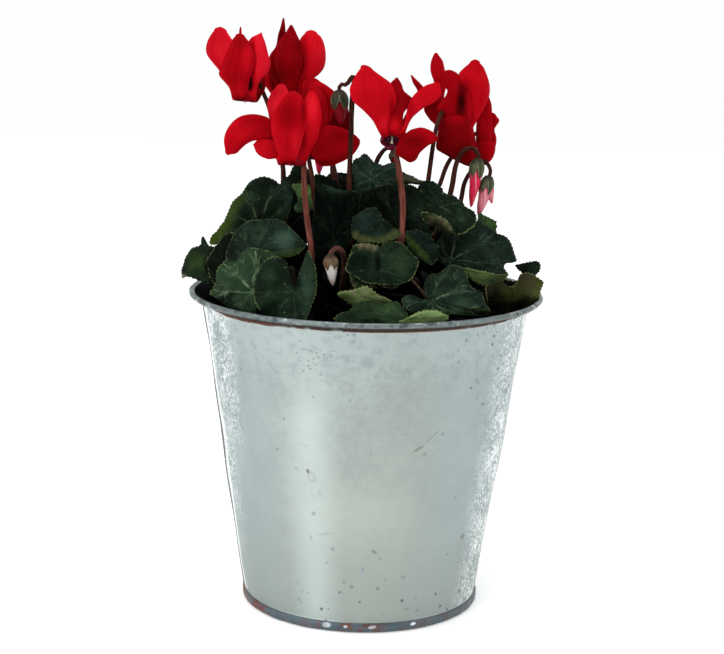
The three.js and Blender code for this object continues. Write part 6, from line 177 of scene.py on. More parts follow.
class Build:
    """Collects points, faces, UV values and material numbers of one piece."""

    def __init__(self):
        self.v, self.f, self.m = [], [], []
        self.uv = {}
        self.n = 0
        self.loops = 0

    def points(self, p):
        p = np.asarray(p, float).reshape(-1, 3)
        first = self.n
        self.v.append(p)
        self.n += len(p)
        return first

    def face(self, ids, mat=0, **uv):
        """uv: name=[(u, v) for each corner]."""
        self.f.append(tuple(int(i) for i in ids))
        self.m.append(mat)
        for name, vals in uv.items():
            self.uv.setdefault(name, {})[len(self.f) - 1] = vals

    def grid(self, P, mat=0, wrap=False, flip=False, **uv):
        """P: rows x columns x 3. uv: name=array rows x (columns + 1 if wrap) x 2."""
        r, c = P.shape[:2]
        o = self.points(P.reshape(-1, 3))
        for i in range(r - 1):
            for j in range(c if wrap else c - 1):
                k = (j + 1) % c
                q = [o + i * c + j, o + i * c + k, o + (i + 1) * c + k, o + (i + 1) * c + j]
                at = [(i, j), (i, j + 1), (i + 1, j + 1), (i + 1, j)]
                if flip:
                    q, at = q[::-1], at[::-1]
                self.face(q, mat, **{n: [tuple(a[x][y]) for x, y in at] for n, a in uv.items()})
        return o

    def fan(self, ring, centre, mat=0, flip=False, **uv):
        n = len(ring)
        for j in range(n):
            q = [centre, ring[j], ring[(j + 1) % n]]
            if flip:
                q = [q[0], q[2], q[1]]
            self.face(q, mat, **{k: [val] * 3 for k, val in uv.items()})

    def done(self, name, mats, body="root", slot=None, replaces=(), shade=True):
        me = bpy.data.meshes.new(name)
        V = np.vstack(self.v) * MM
        me.from_pydata(V.tolist(), [], self.f)
        me.update()
        for uvname, table in self.uv.items():
            layer = me.uv_layers.new(name=uvname)
            flat = np.zeros((len(me.loops), 2), np.float32)
            k = 0
            for i, f in enumerate(self.f):
                vals = table.get(i)
                if vals is not None:
                    flat[k:k + len(f)] = vals
                k += len(f)
            layer.data.foreach_set("uv", flat.ravel())
        for m in mats:
            me.materials.append(m)
        me.polygons.foreach_set("material_index", np.array(self.m, np.int32))
        if shade:
            me.polygons.foreach_set("use_smooth", np.ones(len(me.polygons), bool))
        me.validate()
        o = bpy.data.objects.new(name, me)
        bpy.context.scene.collection.objects.link(o)
        if body:
            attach(o, body)
        if replaces:
            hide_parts(*replaces)
        return o


def tube(b, path, radius, sides, mat, n=None, cap=True, mark=None, wobble=0.0, seed=0):
    """A round stalk along a path (mm). radius: number or function of the share of its length. UV 'run' = (share round, mm along), 'par' = mark."""
    P = np.asarray(path, float)
    length = np.linalg.norm(np.diff(P, axis=0), axis=1).sum()
    n = n or max(8, int(length / 1.4))
    C = catmull(P, False, n)
    T = np.gradient(C, axis=0)
    T /= np.linalg.norm(T, axis=1)[:, None]
    side = unit(np.cross(T[0], [0.13, 0.9, 0.31]))
    rings, uv = [], []
    t = np.linspace(0, 1, n)
    W = Waves(seed + 77, 9.0, 8)
    rad = np.array([radius(x) if callable(radius) else radius for x in t])
    d = np.concatenate([[0], np.cumsum(np.linalg.norm(np.diff(C, axis=0), axis=1))])
    a = np.linspace(0, 2 * math.pi, sides, endpoint=False)
    for i in range(n):
        side = unit(side - T[i] * (side @ T[i]))
        up = np.cross(T[i], side)
        r = rad[i] * (1 + wobble * W(C[i]))
        rings.append(C[i] + r * (np.cos(a)[:, None] * side + np.sin(a)[:, None] * up))
    rings = np.array(rings)
    U = np.zeros((n, sides + 1, 2))
    U[..., 0] = np.linspace(0, 1, sides + 1)
    U[..., 1] = d[:, None]
    M = np.zeros((n, sides + 1, 2))
    M[..., 0] = (mark[0] if mark else 0)
    M[..., 1] = t[:, None]
    o = b.grid(rings, mat, wrap=True, run=U, par=M)
    if cap:
        for end, i in ((0, 0), (1, n - 1)):
            sgn = -1 if end == 0 else 1
            base = [o + i * sides + j for j in range(sides)]
            q = C[i] + T[i] * sgn * rad[i] * 0.55 + (rings[i] - C[i]) * 0.72
            k = b.points(q)
            tip = b.points(C[i] + T[i] * sgn * rad[i] * 0.85)
            for j in range(sides):
                jj = (j + 1) % sides
                quad = [base[j], base[jj], k + jj, k + j]
                tri = [k + j, k + jj, tip]
                if end == 0:
                    quad, tri = quad[::-1], tri[::-1]
                b.face(quad, mat, run=[(0, d[i])] * 4, par=[(M[0, 0, 0], t[i])] * 4)
                b.face(tri, mat, run=[(0, d[i])] * 3, par=[(M[0, 0, 0], t[i])] * 3)
    return C, T


def frame_of(axis):
    z = unit(axis)
    x = unit(np.cross([0.0, 1.0, 0.0], z))
    return x, np.cross(z, x), z


def turned(b, profile, sides, origin, axis, mat, bend=None, flip=False, smooth_n=0):
    """A lathe: profile of (radius, height). bend(angle, row) scales the radius. UV 'run' = (share round, mm along the profile)."""
    prof = np.asarray(profile, float)
    if smooth_n:
        prof = catmull(np.c_[prof, np.zeros(len(prof))], False, smooth_n)[:, :2]
    x, y, z = frame_of(axis)
    a = np.linspace(0, 2 * math.pi, sides, endpoint=False)
    rows = []
    for i, (r, h) in enumerate(prof):
        rr = max(r, 1e-3) * (bend(a, i / (len(prof) - 1), h) if bend else np.ones(sides))
        rows.append(np.asarray(origin) + rr[:, None] * (np.cos(a)[:, None] * x + np.sin(a)[:, None] * y) + h * z)
    rows = np.array(rows)
    d = np.concatenate([[0], np.cumsum(np.linalg.norm(np.diff(prof, axis=0), axis=1))])
    U = np.zeros((len(prof), sides + 1, 2))
    U[..., 0] = np.linspace(0, 1, sides + 1)
    U[..., 1] = d[:, None]
    M = np.zeros_like(U)
    M[..., 1] = (d / d[-1])[:, None]
    return b.grid(rows, mat, wrap=True, flip=flip, run=U, par=M)


# ---------------------------------------------------------------- materials
class Mat:
    """Small helper for building a procedural material with nodes."""

    def __init__(self, name):
        self.mat = bpy.data.materials.new(name)
        self.mat.use_nodes = True
        self.nt = self.mat.node_tree
        self.nt.nodes.clear()
        self.out = self.nt.nodes.new("ShaderNodeOutputMaterial")
        self.bsdf = self.nt.nodes.new("ShaderNodeBsdfPrincipled")
        self.nt.links.new(self.bsdf.outputs[0], self.out.inputs[0])
        self.coords = None

    def set(self, **k):
        for name, v in k.items():
            s = self.bsdf.inputs[name.replace("_", " ")]
            if hasattr(v, "is_output"):
                self.nt.links.new(v, s)
            else:
                s.default_value = v
        return self

    def put(self, socket, v):
        if hasattr(v, "is_output"):
            self.nt.links.new(v, socket)
        else:
            socket.default_value = v

    def node(self, kind, **props):
        n = self.nt.nodes.new(kind)
        for k, v in props.items():
            setattr(n, k, v)
        return n

    def obj(self):
        if self.coords is None:
            self.coords = self.node("ShaderNodeTexCoord")
        return self.coords.outputs["Object"]

    def uv(self, name):
        n = self.node("ShaderNodeUVMap", uv_map=name)
        return n.outputs[0]

    def split(self, vec):
        n = self.node("ShaderNodeSeparateXYZ")
        self.nt.links.new(vec, n.inputs[0])
        return n.outputs[0], n.outputs[1], n.outputs[2]

    def join(self, x, y, z=0.0):
        n = self.node("ShaderNodeCombineXYZ")
        for i, v in enumerate((x, y, z)):
            self.put(n.inputs[i], v)
        return n.outputs[0]

    def m(self, op, a, b=None, c=None, clamp=False):
        n = self.node("ShaderNodeMath", operation=op, use_clamp=clamp)
        self.put(n.inputs[0], a)
        if b is not None:
            self.put(n.inputs[1], b)
        if c is not None:
            self.put(n.inputs[2], c)
        return n.outputs[0]

    def add(self, a, b):
        return self.m("ADD", a, b)

    def mul(self, a, b):
        return self.m("MULTIPLY", a, b)

    def sub(self, a, b):
        return self.m("SUBTRACT", a, b)

    def inv(self, a):
        return self.m("SUBTRACT", 1.0, a)

    def step(self, v, a, b, c=0.0, d=1.0, kind="SMOOTHSTEP"):
        n = self.node("ShaderNodeMapRange", interpolation_type=kind)
        self.put(n.inputs[0], v)
        for i, x in enumerate((a, b, c, d)):
            self.put(n.inputs[i + 1], x)
        return n.outputs[0]

    def scale(self, vec, x, y=None, z=None):
        n = self.node("ShaderNodeVectorMath", operation="MULTIPLY")
        self.put(n.inputs[0], vec)
        n.inputs[1].default_value = (x, x if y is None else y, x if z is None else z)
        return n.outputs[0]

    def shift(self, vec, by):
        n = self.node("ShaderNodeVectorMath", operation="ADD")
        self.put(n.inputs[0], vec)
        self.put(n.inputs[1], by)
        return n.outputs[0]

    def noise(self, vec, scale, detail=2.0, rough=0.5, dist=0.0, colour=False):
        n = self.node("ShaderNodeTexNoise")
        self.put(n.inputs["Vector"], vec)
        n.inputs["Scale"].default_value = scale
        n.inputs["Detail"].default_value = detail
        n.inputs["Roughness"].default_value = rough
        n.inputs["Distortion"].default_value = dist
        return n.outputs["Color" if colour else "Fac"]

    def voronoi(self, vec, scale, feature="F1", out="Distance", rand=1.0):
        n = self.node("ShaderNodeTexVoronoi", feature=feature)
        self.put(n.inputs["Vector"], vec)
        n.inputs["Scale"].default_value = scale
        n.inputs["Randomness"].default_value = rand
        return n.outputs[out]

    def mix(self, fac, a, b, mode="MIX"):
        n = self.node("ShaderNodeMix", data_type="RGBA", blend_type=mode)
        self.put(n.inputs[0], fac)
        for i, v in ((6, a), (7, b)):
            if hasattr(v, "is_output"):
                self.nt.links.new(v, n.inputs[i])
            else:
                n.inputs[i].default_value = (*v, 1.0) if len(v) == 3 else v
        return n.outputs[2]

    def blob(self, vec, at, size, angle=0.0, soft=(1.0, 0.5)):
        """1 inside an ellipse of the given half sizes round a place, fading to 0 at its edge."""
        n = self.node("ShaderNodeMapping", vector_type="TEXTURE")
        self.put(n.inputs[0], vec)
        n.inputs[1].default_value = (at[0], at[1], 0)
        n.inputs[2].default_value = (0, 0, angle)
        n.inputs[3].default_value = (size[0], size[1], 1e6)
        d = self.node("ShaderNodeVectorMath", operation="LENGTH")
        self.nt.links.new(n.outputs[0], d.inputs[0])
        return self.step(d.outputs["Value"], soft[0], soft[1])

    def bump(self, height, strength=0.3, distance=0.001, normal=None):
        n = self.node("ShaderNodeBump")
        n.inputs["Strength"].default_value = strength
        n.inputs["Distance"].default_value = distance
        self.put(n.inputs["Height"], height)
        if normal is not None:
            self.nt.links.new(normal, n.inputs["Normal"])
        return n.outputs[0]


def leaf_veins(M, s, rho):
    """Distance-like masks of the main veins, their forks and side veins, from the count of veins passed (s) and the share of the way out (rho)."""
    t = M.m("ABSOLUTE", M.sub(M.m("FRACT", s), 0.5))
    safe = M.m("MAXIMUM", rho, 0.05)
    w = M.m("DIVIDE", M.sub(0.024, M.mul(rho, 0.014)), safe)
    main = M.step(t, M.mul(w, 1.7), M.mul(w, 0.35))
    fork_at = M.mul(M.m("MAXIMUM", M.sub(rho, 0.42), 0.0), 0.44)
    fork_d = M.m("ABSOLUTE", M.sub(t, fork_at))
    fork = M.mul(M.step(fork_d, M.mul(w, 1.4), M.mul(w, 0.3)), M.step(rho, 0.40, 0.50))
    arc_d = M.m("ABSOLUTE", M.sub(M.sub(0.5, t), M.mul(M.m("MAXIMUM", M.sub(rho, 0.66), 0.0), 0.5)))
    arc = M.mul(M.step(arc_d, M.mul(w, 1.1), M.mul(w, 0.2)), M.step(rho, 0.64, 0.74))
    ladder = M.m("ABSOLUTE", M.sub(M.m("FRACT", M.sub(M.mul(rho, 6.5), M.mul(t, 3.6))), 0.5))
    side = M.mul(M.step(ladder, 0.085, 0.02), M.mul(M.step(t, 0.42, 0.10), M.step(rho, 0.16, 0.3)))
    near = M.m("MINIMUM", t, M.add(fork_d, M.step(rho, 0.5, 0.38, 0.0, 0.5)))
    near = M.mul(near, safe)
    return main, fork, arc, side, near


def mat_leaf_upper():
    M = Mat("leaf_upper_face")
    s, rho, _ = M.split(M.uv("vein"))
    tone, seed, _ = M.split(M.uv("par"))
    olive, pale, _ = M.split(M.uv("patch"))
    cast, vein_k, _ = M.split(M.uv("cast"))
    rim_k, freck_k, _ = M.split(M.uv("edge"))
    P = M.obj()
    wob = M.sub(M.noise(P, 190.0, 2.0), 0.5)
    s2 = M.add(s, M.mul(M.mul(wob, 0.34), M.step(rho, 0.05, 0.5)))
    main, fork, arc, side, near = leaf_veins(M, s2, rho)
    vein = M.m("MAXIMUM", main, M.m("MAXIMUM", M.mul(fork, 0.8), M.mul(arc, 0.55)))
    net = M.voronoi(P, 620.0, "DISTANCE_TO_EDGE")
    net = M.step(net, 0.075, 0.01)
    big = M.noise(P, 95.0, 3.0, 0.55)
    fine = M.noise(P, 900.0, 3.0, 0.6)
    mid = M.noise(P, 330.0, 3.0, 0.62, 0.4)
    # ground colour from near-black through deep green to fresh green, by a tone that carries painted shade and light
    t = M.add(tone, M.add(M.mul(M.sub(big, 0.5), 0.60), M.mul(M.sub(mid, 0.5), 0.62)))
    t = M.add(t, M.mul(M.sub(fine, 0.5), 0.30))
    col = M.mix(M.step(t, -0.60, 0.0, kind="LINEAR"), (0.0006, 0.0012, 0.0006), (0.0050, 0.0110, 0.0056))
    col = M.mix(M.step(t, 0.0, 0.45, kind="LINEAR"), col, (0.0175, 0.0385, 0.0155))
    col = M.mix(M.step(t, 0.45, 1.05, kind="LINEAR"), col, (0.0850, 0.1650, 0.0400))
    # painted sheen: a bluish grey reflection mixed into the colour, strongest where the point's sheen value is high
    sheen_mask = M.m("MULTIPLY", cast, M.step(M.add(mid, M.mul(fine, 0.3)), 0.35, 0.80, 0.30, 1.0), clamp=True)
    col = M.mix(M.mul(sheen_mask, 0.60), col, M.mix(M.step(t, -0.5, 0.5), (0.0050, 0.0120, 0.0105), (0.0300, 0.0560, 0.0500)))
    # silvery marbling along the veins
    close = M.step(near, 0.155, 0.02)
    band = M.mul(M.step(rho, 0.10, 0.34), M.step(rho, 0.98, 0.70))
    marb = M.step(M.add(M.mul(close, 0.62), M.mul(mid, 0.72)), 0.76, 1.04)
    marb = M.mul(M.mul(marb, band), M.step(fine, 0.25, 0.7, 0.35, 1.0))
    # the marbling turns bluish grey under the painted sheen
    lit = M.mix(M.step(cast, 0.1, 0.7), (0.055, 0.095, 0.046), (0.056, 0.088, 0.076))
    col = M.mix(M.m("MULTIPLY", M.mul(marb, 0.42), vein_k, clamp=True), col, lit)
    col = M.mix(M.m("MULTIPLY", M.mul(M.mul(side, M.step(mid, 0.44, 0.66)), 0.26), vein_k, clamp=True), col, (0.080, 0.130, 0.085))
    col = M.mix(M.mul(net, M.mul(M.step(mid, 0.35, 0.7), 0.05)), col, (0.040, 0.070, 0.042))
    broken = M.step(M.add(M.noise(P, 230.0, 3.0, 0.6), M.mul(M.sub(M.split(M.uv("par"))[1], 0.5), 0.10)), 0.42, 0.62, 0.04, 1.0)
    col = M.mix(M.m("MULTIPLY", M.mul(M.mul(vein, broken), 0.62), vein_k, clamp=True), col, (0.165, 0.255, 0.140))
    col = M.mix(M.m("MULTIPLY", M.mul(M.step(rho, 0.11, 0.03), 0.3), vein_k, clamp=True), col, (0.060, 0.080, 0.040))
    # small pale freckles
    freck = M.voronoi(P, 560.0)
    fsize = M.split(M.voronoi(P, 560.0, "F1", "Color"))[0]
    dot = M.mul(M.mul(M.step(M.sub(freck, M.mul(fsize, 0.10)), 0.11, 0.03), M.step(fine, 0.36, 0.58, 0.25, 1.0)), M.mul(M.step(fsize, 0.55, 0.9), M.step(big, 0.42, 0.62, 0.1, 0.7)))
    col = M.mix(M.m("MULTIPLY", dot, freck_k, clamp=True), col, (0.15, 0.21, 0.16))
    # patches: olive light through the blade, pale bits
    col = M.mix(olive, col, M.mix(fine, (0.016, 0.032, 0.0045), (0.042, 0.066, 0.010)))
    col = M.mix(pale, col, (0.24, 0.19, 0.115))
    # margin
    rimn = M.noise(P, 620.0, 1.0)
    rim = M.mul(M.step(rho, 0.962, 0.995), M.step(rimn, 0.42, 0.58, 0.10, 1.0))
    col = M.mix(M.m("MULTIPLY", M.mul(rim, 0.62), rim_k, clamp=True), col, (0.135, 0.165, 0.062))
    M.set(Base_Color=col)
    rough = M.add(M.step(big, 0.3, 0.7, 0.37, 0.47), M.mul(fine, 0.10))
    M.set(Roughness=rough)
    M.bsdf.inputs["Specular IOR Level"].default_value = 0.012
    h = M.sub(M.mul(fine, 0.35), M.mul(vein, 1.0))
    h = M.sub(h, M.mul(side, 0.45))
    h = M.add(h, M.mul(M.voronoi(P, 480.0, "SMOOTH_F1"), -0.7))
    M.set(Normal=M.bump(h, 0.62, 0.0007))
    return M.mat


def mat_leaf_under():
    M = Mat("leaf_lower_face")
    s, rho, _ = M.split(M.uv("vein"))
    tone, kind, _ = M.split(M.uv("par"))
    olive, pale, _ = M.split(M.uv("patch"))
    cast, vein_k, _ = M.split(M.uv("cast"))
    rim_k, freck_k, _ = M.split(M.uv("edge"))
    P = M.obj()
    wob = M.sub(M.noise(P, 190.0, 2.0), 0.5)
    s2 = M.add(s, M.mul(M.mul(wob, 0.34), M.step(rho, 0.05, 0.5)))
    main, fork, arc, side, near = leaf_veins(M, s2, rho)
    vein = M.m("MAXIMUM", main, M.m("MAXIMUM", M.mul(fork, 0.8), M.mul(arc, 0.5)))
    big = M.noise(P, 110.0, 3.0, 0.55)
    fine = M.noise(P, 900.0, 3.0, 0.6)
    # painted shade and light: the tone runs from near-black for undersides in shade to pale where they catch the light
    t = M.add(tone, M.mul(M.sub(big, 0.5), 0.5))
    green = M.mix(M.step(t, -1.0, -0.1, kind="LINEAR"), (0.0022, 0.0034, 0.0020), (0.0200, 0.0300, 0.0110))
    green = M.mix(M.step(t, -0.1, 0.5, kind="LINEAR"), green, (0.0600, 0.0900, 0.0270))
    green = M.mix(M.step(t, 0.5, 1.1, kind="LINEAR"), green, (0.1500, 0.2350, 0.0850))
    brown = M.mix(M.step(t, -1.0, -0.1, kind="LINEAR"), (0.0024, 0.0028, 0.0016), (0.0360, 0.0340, 0.0130))
    brown = M.mix(M.step(t, -0.1, 0.5, kind="LINEAR"), brown, (0.0900, 0.0860, 0.0300))
    col = M.mix(M.step(kind, 0.0, 0.75), green, brown)
    # brown freckles
    spot = M.step(M.voronoi(P, 430.0), 0.22, 0.08)
    col = M.mix(M.m("MULTIPLY", M.mul(spot, 0.75), freck_k, clamp=True), col, (0.060, 0.026, 0.014))
    net = M.step(M.voronoi(P, 620.0, "DISTANCE_TO_EDGE"), 0.075, 0.01)
    col = M.mix(M.m("MULTIPLY", M.mul(net, 0.16), vein_k, clamp=True), col, (0.15, 0.16, 0.08))
    col = M.mix(M.m("MULTIPLY", M.mul(side, 0.30), vein_k, clamp=True), col, (0.14, 0.17, 0.07))
    col = M.mix(M.m("MULTIPLY", M.mul(vein, 0.6), vein_k, clamp=True), col, M.mix(big, (0.18, 0.17, 0.09), (0.17, 0.20, 0.10)))
    # olive: painted light shining through the blade
    col = M.mix(M.mul(olive, 1.0), col, (0.060, 0.085, 0.014))
    col = M.mix(pale, col, (0.26, 0.22, 0.14))
    rim = M.mul(M.step(rho, 0.955, 0.995), M.step(M.noise(P, 620.0, 1.0), 0.38, 0.58, 0.1, 1.0))
    col = M.mix(M.m("MULTIPLY", M.mul(rim, 0.62), rim_k, clamp=True), col, (0.185, 0.205, 0.085))
    M.set(Base_Color=col, Roughness=M.add(0.46, M.mul(fine, 0.12)))
    M.bsdf.inputs["Specular IOR Level"].default_value = 0.012
    h = M.add(M.add(M.mul(fine, 0.3), M.mul(vein, 1.0)), M.mul(side, 0.4))
    M.set(Normal=M.bump(h, 0.6, 0.0006))
    return M.mat


def mat_stalk(name, low, high, base, deep=0.975):
    """A fleshy stalk: colour changes along it, fine lengthwise streaks, and painted shade low down, as strong as deep.
    """
    M = Mat(name)
    around, along, _ = M.split(M.uv("run"))
    kind, t, _ = M.split(M.uv("par"))
    P = M.obj()
    streak = M.noise(M.join(M.mul(around, 9.0), M.mul(along, 0.11)), 1.0, 3.0, 0.6)
    big = M.noise(P, 130.0, 2.0)
    fine = M.noise(P, 1400.0, 2.0, 0.6)
    col = M.mix(M.step(M.add(streak, M.mul(big, 0.4)), 0.5, 0.95), low, high)
    col = M.mix(M.step(t, 0.55, 1.0, 0.0, 0.75), col, base)
    # painted shade: the stalks darken to near-black from 150 mm up to 123 mm up, where they go down between the leaves
    # into the pot
    high_up = M.split(P)[2]
    col = M.mix(M.step(high_up, 0.150, 0.123, 0.0, deep), col, (0.0018, 0.0013, 0.0010))
    col = M.mix(M.mul(M.step(fine, 0.55, 0.72), 0.22), col, tuple(min(1.0, c * 1.7) for c in high))
    M.set(Base_Color=col, Roughness=M.add(0.38, M.mul(fine, 0.16)))
    M.bsdf.inputs["Specular IOR Level"].default_value = 0.02
    M.set(Normal=M.bump(M.add(M.mul(streak, 0.7), M.mul(fine, 0.5)), 0.35, 0.0004))
    return M.mat


def mat_petal(name, rough=0.50, specks_and_glints=0.0):
    """Soft velvety red: the tone of each place, which carries painted light and shade, is worked out with the petal's
    shape, and fine veins run along it.
    """
    M = Mat(name)
    u, v, _ = M.split(M.uv("petal"))
    tone, seed, _ = M.split(M.uv("par"))
    P = M.obj()
    streak = M.noise(M.join(M.mul(u, 5.5), M.mul(v, 0.8), M.mul(seed, 17.0)), 1.0, 3.0, 0.58)
    vein = M.noise(M.join(M.mul(u, 21.0), M.mul(v, 1.1), M.mul(seed, 31.0)), 1.0, 2.0, 0.5)
    cloud = M.noise(P, 140.0, 3.0, 0.5)
    fine = M.noise(P, 1500.0, 3.0, 0.62)
    t = M.add(tone, M.mul(M.sub(streak, 0.5), 0.16))
    t = M.add(t, M.mul(M.sub(vein, 0.5), 0.07))
    t = M.add(t, M.mul(M.sub(cloud, 0.5), 0.14))
    t = M.add(t, M.mul(M.sub(fine, 0.5), 0.12))
    col = M.mix(M.step(t, 0.02, 0.30, kind="LINEAR"), (0.022, 0.0002, 0.0008), (0.118, 0.0005, 0.0018))
    col = M.mix(M.step(t, 0.30, 0.55, kind="LINEAR"), col, (0.275, 0.0010, 0.0038))
    col = M.mix(M.step(t, 0.55, 0.78, kind="LINEAR"), col, (0.450, 0.0030, 0.0085))
    col = M.mix(M.step(t, 0.78, 1.02, kind="LINEAR"), col, (0.640, 0.0105, 0.0230))
    if specks_and_glints:
        # pale specks inside the mouth where the tone is low: partly the ring's own speckling, partly painted glints
        g = M.mul(M.step(M.voronoi(P, 1300.0), 0.34, 0.20), M.step(tone, 0.44, 0.36))
        col = M.mix(M.mul(M.step(tone, 0.60, 0.30), 0.5), col, (0.085, 0.010, 0.028))
        col = M.mix(M.mul(g, specks_and_glints), col, (0.42, 0.24, 0.30))
    M.set(Base_Color=col, Roughness=M.add(rough, M.mul(fine, 0.14)))
    M.bsdf.inputs["Specular IOR Level"].default_value = 0.008
    h = M.add(M.mul(vein, 0.3), M.add(M.mul(streak, 0.3), M.mul(fine, 0.35)))
    M.set(Normal=M.bump(h, 0.16, 0.0005))
    return M.mat


def mat_sepal():
    M = Mat("sepal_green")
    u, v, _ = M.split(M.uv("petal"))
    tone, brown, _ = M.split(M.uv("par"))
    P = M.obj()
    big = M.noise(P, 260.0, 3.0, 0.6)
    fine = M.noise(P, 1300.0, 3.0, 0.6)
    rib = M.noise(M.join(M.mul(u, 4.0), M.mul(v, 1.0)), 1.0, 2.0)
    dark = M.mix(big, (0.010, 0.017, 0.009), (0.040, 0.055, 0.028))
    light = M.mix(M.step(big, 0.35, 0.65), (0.050, 0.060, 0.026), (0.165, 0.195, 0.100))
    # tone runs from dark to light sepals; the dark end is partly painted shade
    col = M.mix(M.step(tone, -0.4, 0.9), dark, light)
    col = M.mix(M.mul(M.step(big, 0.5, 0.7), 0.4), col, (0.075, 0.028, 0.020))
    col = M.mix(M.mul(M.step(M.m("ABSOLUTE", u), 0.70, 1.0), 0.75), col, (0.190, 0.215, 0.125))
    col = M.mix(M.mul(M.step(rib, 0.48, 0.62), 0.70), col, (0.010, 0.013, 0.008))
    col = M.mix(M.mul(brown, M.step(M.add(rib, M.mul(big, 0.4)), 0.56, 0.74, 1.0, 0.30)), col, (0.155, 0.058, 0.036))
    col = M.mix(M.mul(M.step(v, 0.34, 0.05), 0.75), col, (0.022, 0.013, 0.010))
    M.set(Base_Color=col, Roughness=M.add(0.42, M.mul(fine, 0.15)))
    M.bsdf.inputs["Specular IOR Level"].default_value = 0.08
    M.set(Normal=M.bump(M.add(fine, M.mul(rib, 0.6)), 0.4, 0.0005))
    return M.mat


def mat_bud(name, low, mid, high, pale=0.0):
    """Furled petals: colour from the base (under the sepals) to the tip, with twisted streaks."""
    M = Mat(name)
    around, along, _ = M.split(M.uv("run"))
    _, t, _ = M.split(M.uv("par"))
    P = M.obj()
    tw = M.add(M.mul(around, 5.0), M.mul(t, 1.6))
    fold = M.m("ABSOLUTE", M.sub(M.m("FRACT", tw), 0.5))
    streak = M.noise(M.join(M.mul(tw, 2.6), M.mul(t, 1.5)), 1.0, 3.0, 0.6)
    fine = M.noise(P, 1500.0, 2.0)
    col = M.mix(M.step(M.add(t, M.mul(streak, 0.25)), 0.10, 0.55), high, mid)
    col = M.mix(M.step(M.add(t, M.mul(streak, 0.3)), 0.55, 0.98), col, low)
    col = M.mix(M.mul(M.step(streak, 0.54, 0.66), pale), col, (0.78, 0.50, 0.48))
    col = M.mix(M.mul(M.step(streak, 0.44, 0.32), 0.45), col, tuple(c * 0.6 for c in mid))
    # painted shade: darker lines along the twisted folds of the furled petals
    col = M.mix(M.mul(M.step(fold, 0.10, 0.0), 0.6), col, tuple(c * 0.35 for c in mid))
    M.set(Base_Color=col, Roughness=M.add(0.42, M.mul(fine, 0.12)))
    M.bsdf.inputs["Specular IOR Level"].default_value = 0.06
    M.set(Normal=M.bump(M.add(M.mul(streak, 0.8), M.mul(fold, 1.2)), 0.5, 0.0006))
    return M.mat

LEAF_UP = mat_leaf_upper()
LEAF_LOW = mat_leaf_under()
# painted shade: the leaf stalks get a near-black skin, far darker than the bare stalk skin, for the shade under the
# leaves
STALK_SHADED = mat_stalk("leaf_stalk_painted_shade_skin", (0.0026, 0.0014, 0.0010), (0.0100, 0.0050, 0.0034), (0.0020, 0.0013, 0.0010))
PETIOLE = mat_stalk("leaf_stalk_skin_bare", (0.030, 0.020, 0.012), (0.110, 0.075, 0.044), (0.0045, 0.0030, 0.0022), 0.90)
STEM = mat_stalk("flower_stem_skin", (0.055, 0.014, 0.010), (0.165, 0.052, 0.037), (0.034, 0.010, 0.006))
STEM_BROWN = mat_stalk("bud_stem_skin", (0.048, 0.020, 0.015), (0.130, 0.054, 0.040), (0.036, 0.015, 0.011), 0.80)
# painted shade: a darkened copy of the flower stem skin, for stems that stand in shade behind the petals
STEM_SHADED = mat_stalk("flower_stem_painted_shade_skin", (0.0085, 0.0036, 0.0030), (0.085, 0.024, 0.016), (0.022, 0.009, 0.006))
PETAL = mat_petal("petal_red")
MOUTH = mat_petal("flower_mouth_skin", 0.42, 0.6)
SEPAL = mat_sepal()
BUD_RED = mat_bud("bud_petals_red", (0.120, 0.0020, 0.0060), (0.170, 0.0016, 0.0060), (0.170, 0.0012, 0.0050))
BUD_PALE = mat_bud("bud_petals_pale_pink", (0.560, 0.040, 0.085), (0.680, 0.230, 0.270), (0.620, 0.060, 0.110), 0.80)
BUD_PINK = mat_bud("bud_petals_pink", (0.520, 0.020, 0.060), (0.620, 0.018, 0.066), (0.560, 0.010, 0.040), 0.62)
BUD_WHITE = mat_bud("bud_petals_white", (0.560, 0.560, 0.520), (0.560, 0.540, 0.520), (0.300, 0.165, 0.135), 0.1)
PISTIL = mat_bud("pistil_skin", (0.700, 0.640, 0.480), (0.640, 0.560, 0.420), (0.600, 0.480, 0.330), 0.3)

# ---------------------------------------------------------------- leaves
RINGS = [(0.05, 32), (0.12, 32), (0.21, 32), (0.31, 32), (0.41, 64), (0.51, 64), (0.61, 64), (0.70, 64), (0.78, 128), (0.855, 128),
         (0.91, 128), (0.952, 256), (0.98, 256), (1.0, 256)]
EDGE = 256
HUMPS = Waves(5, 17.0)
RIPPLE = Waves(6, 7.5)
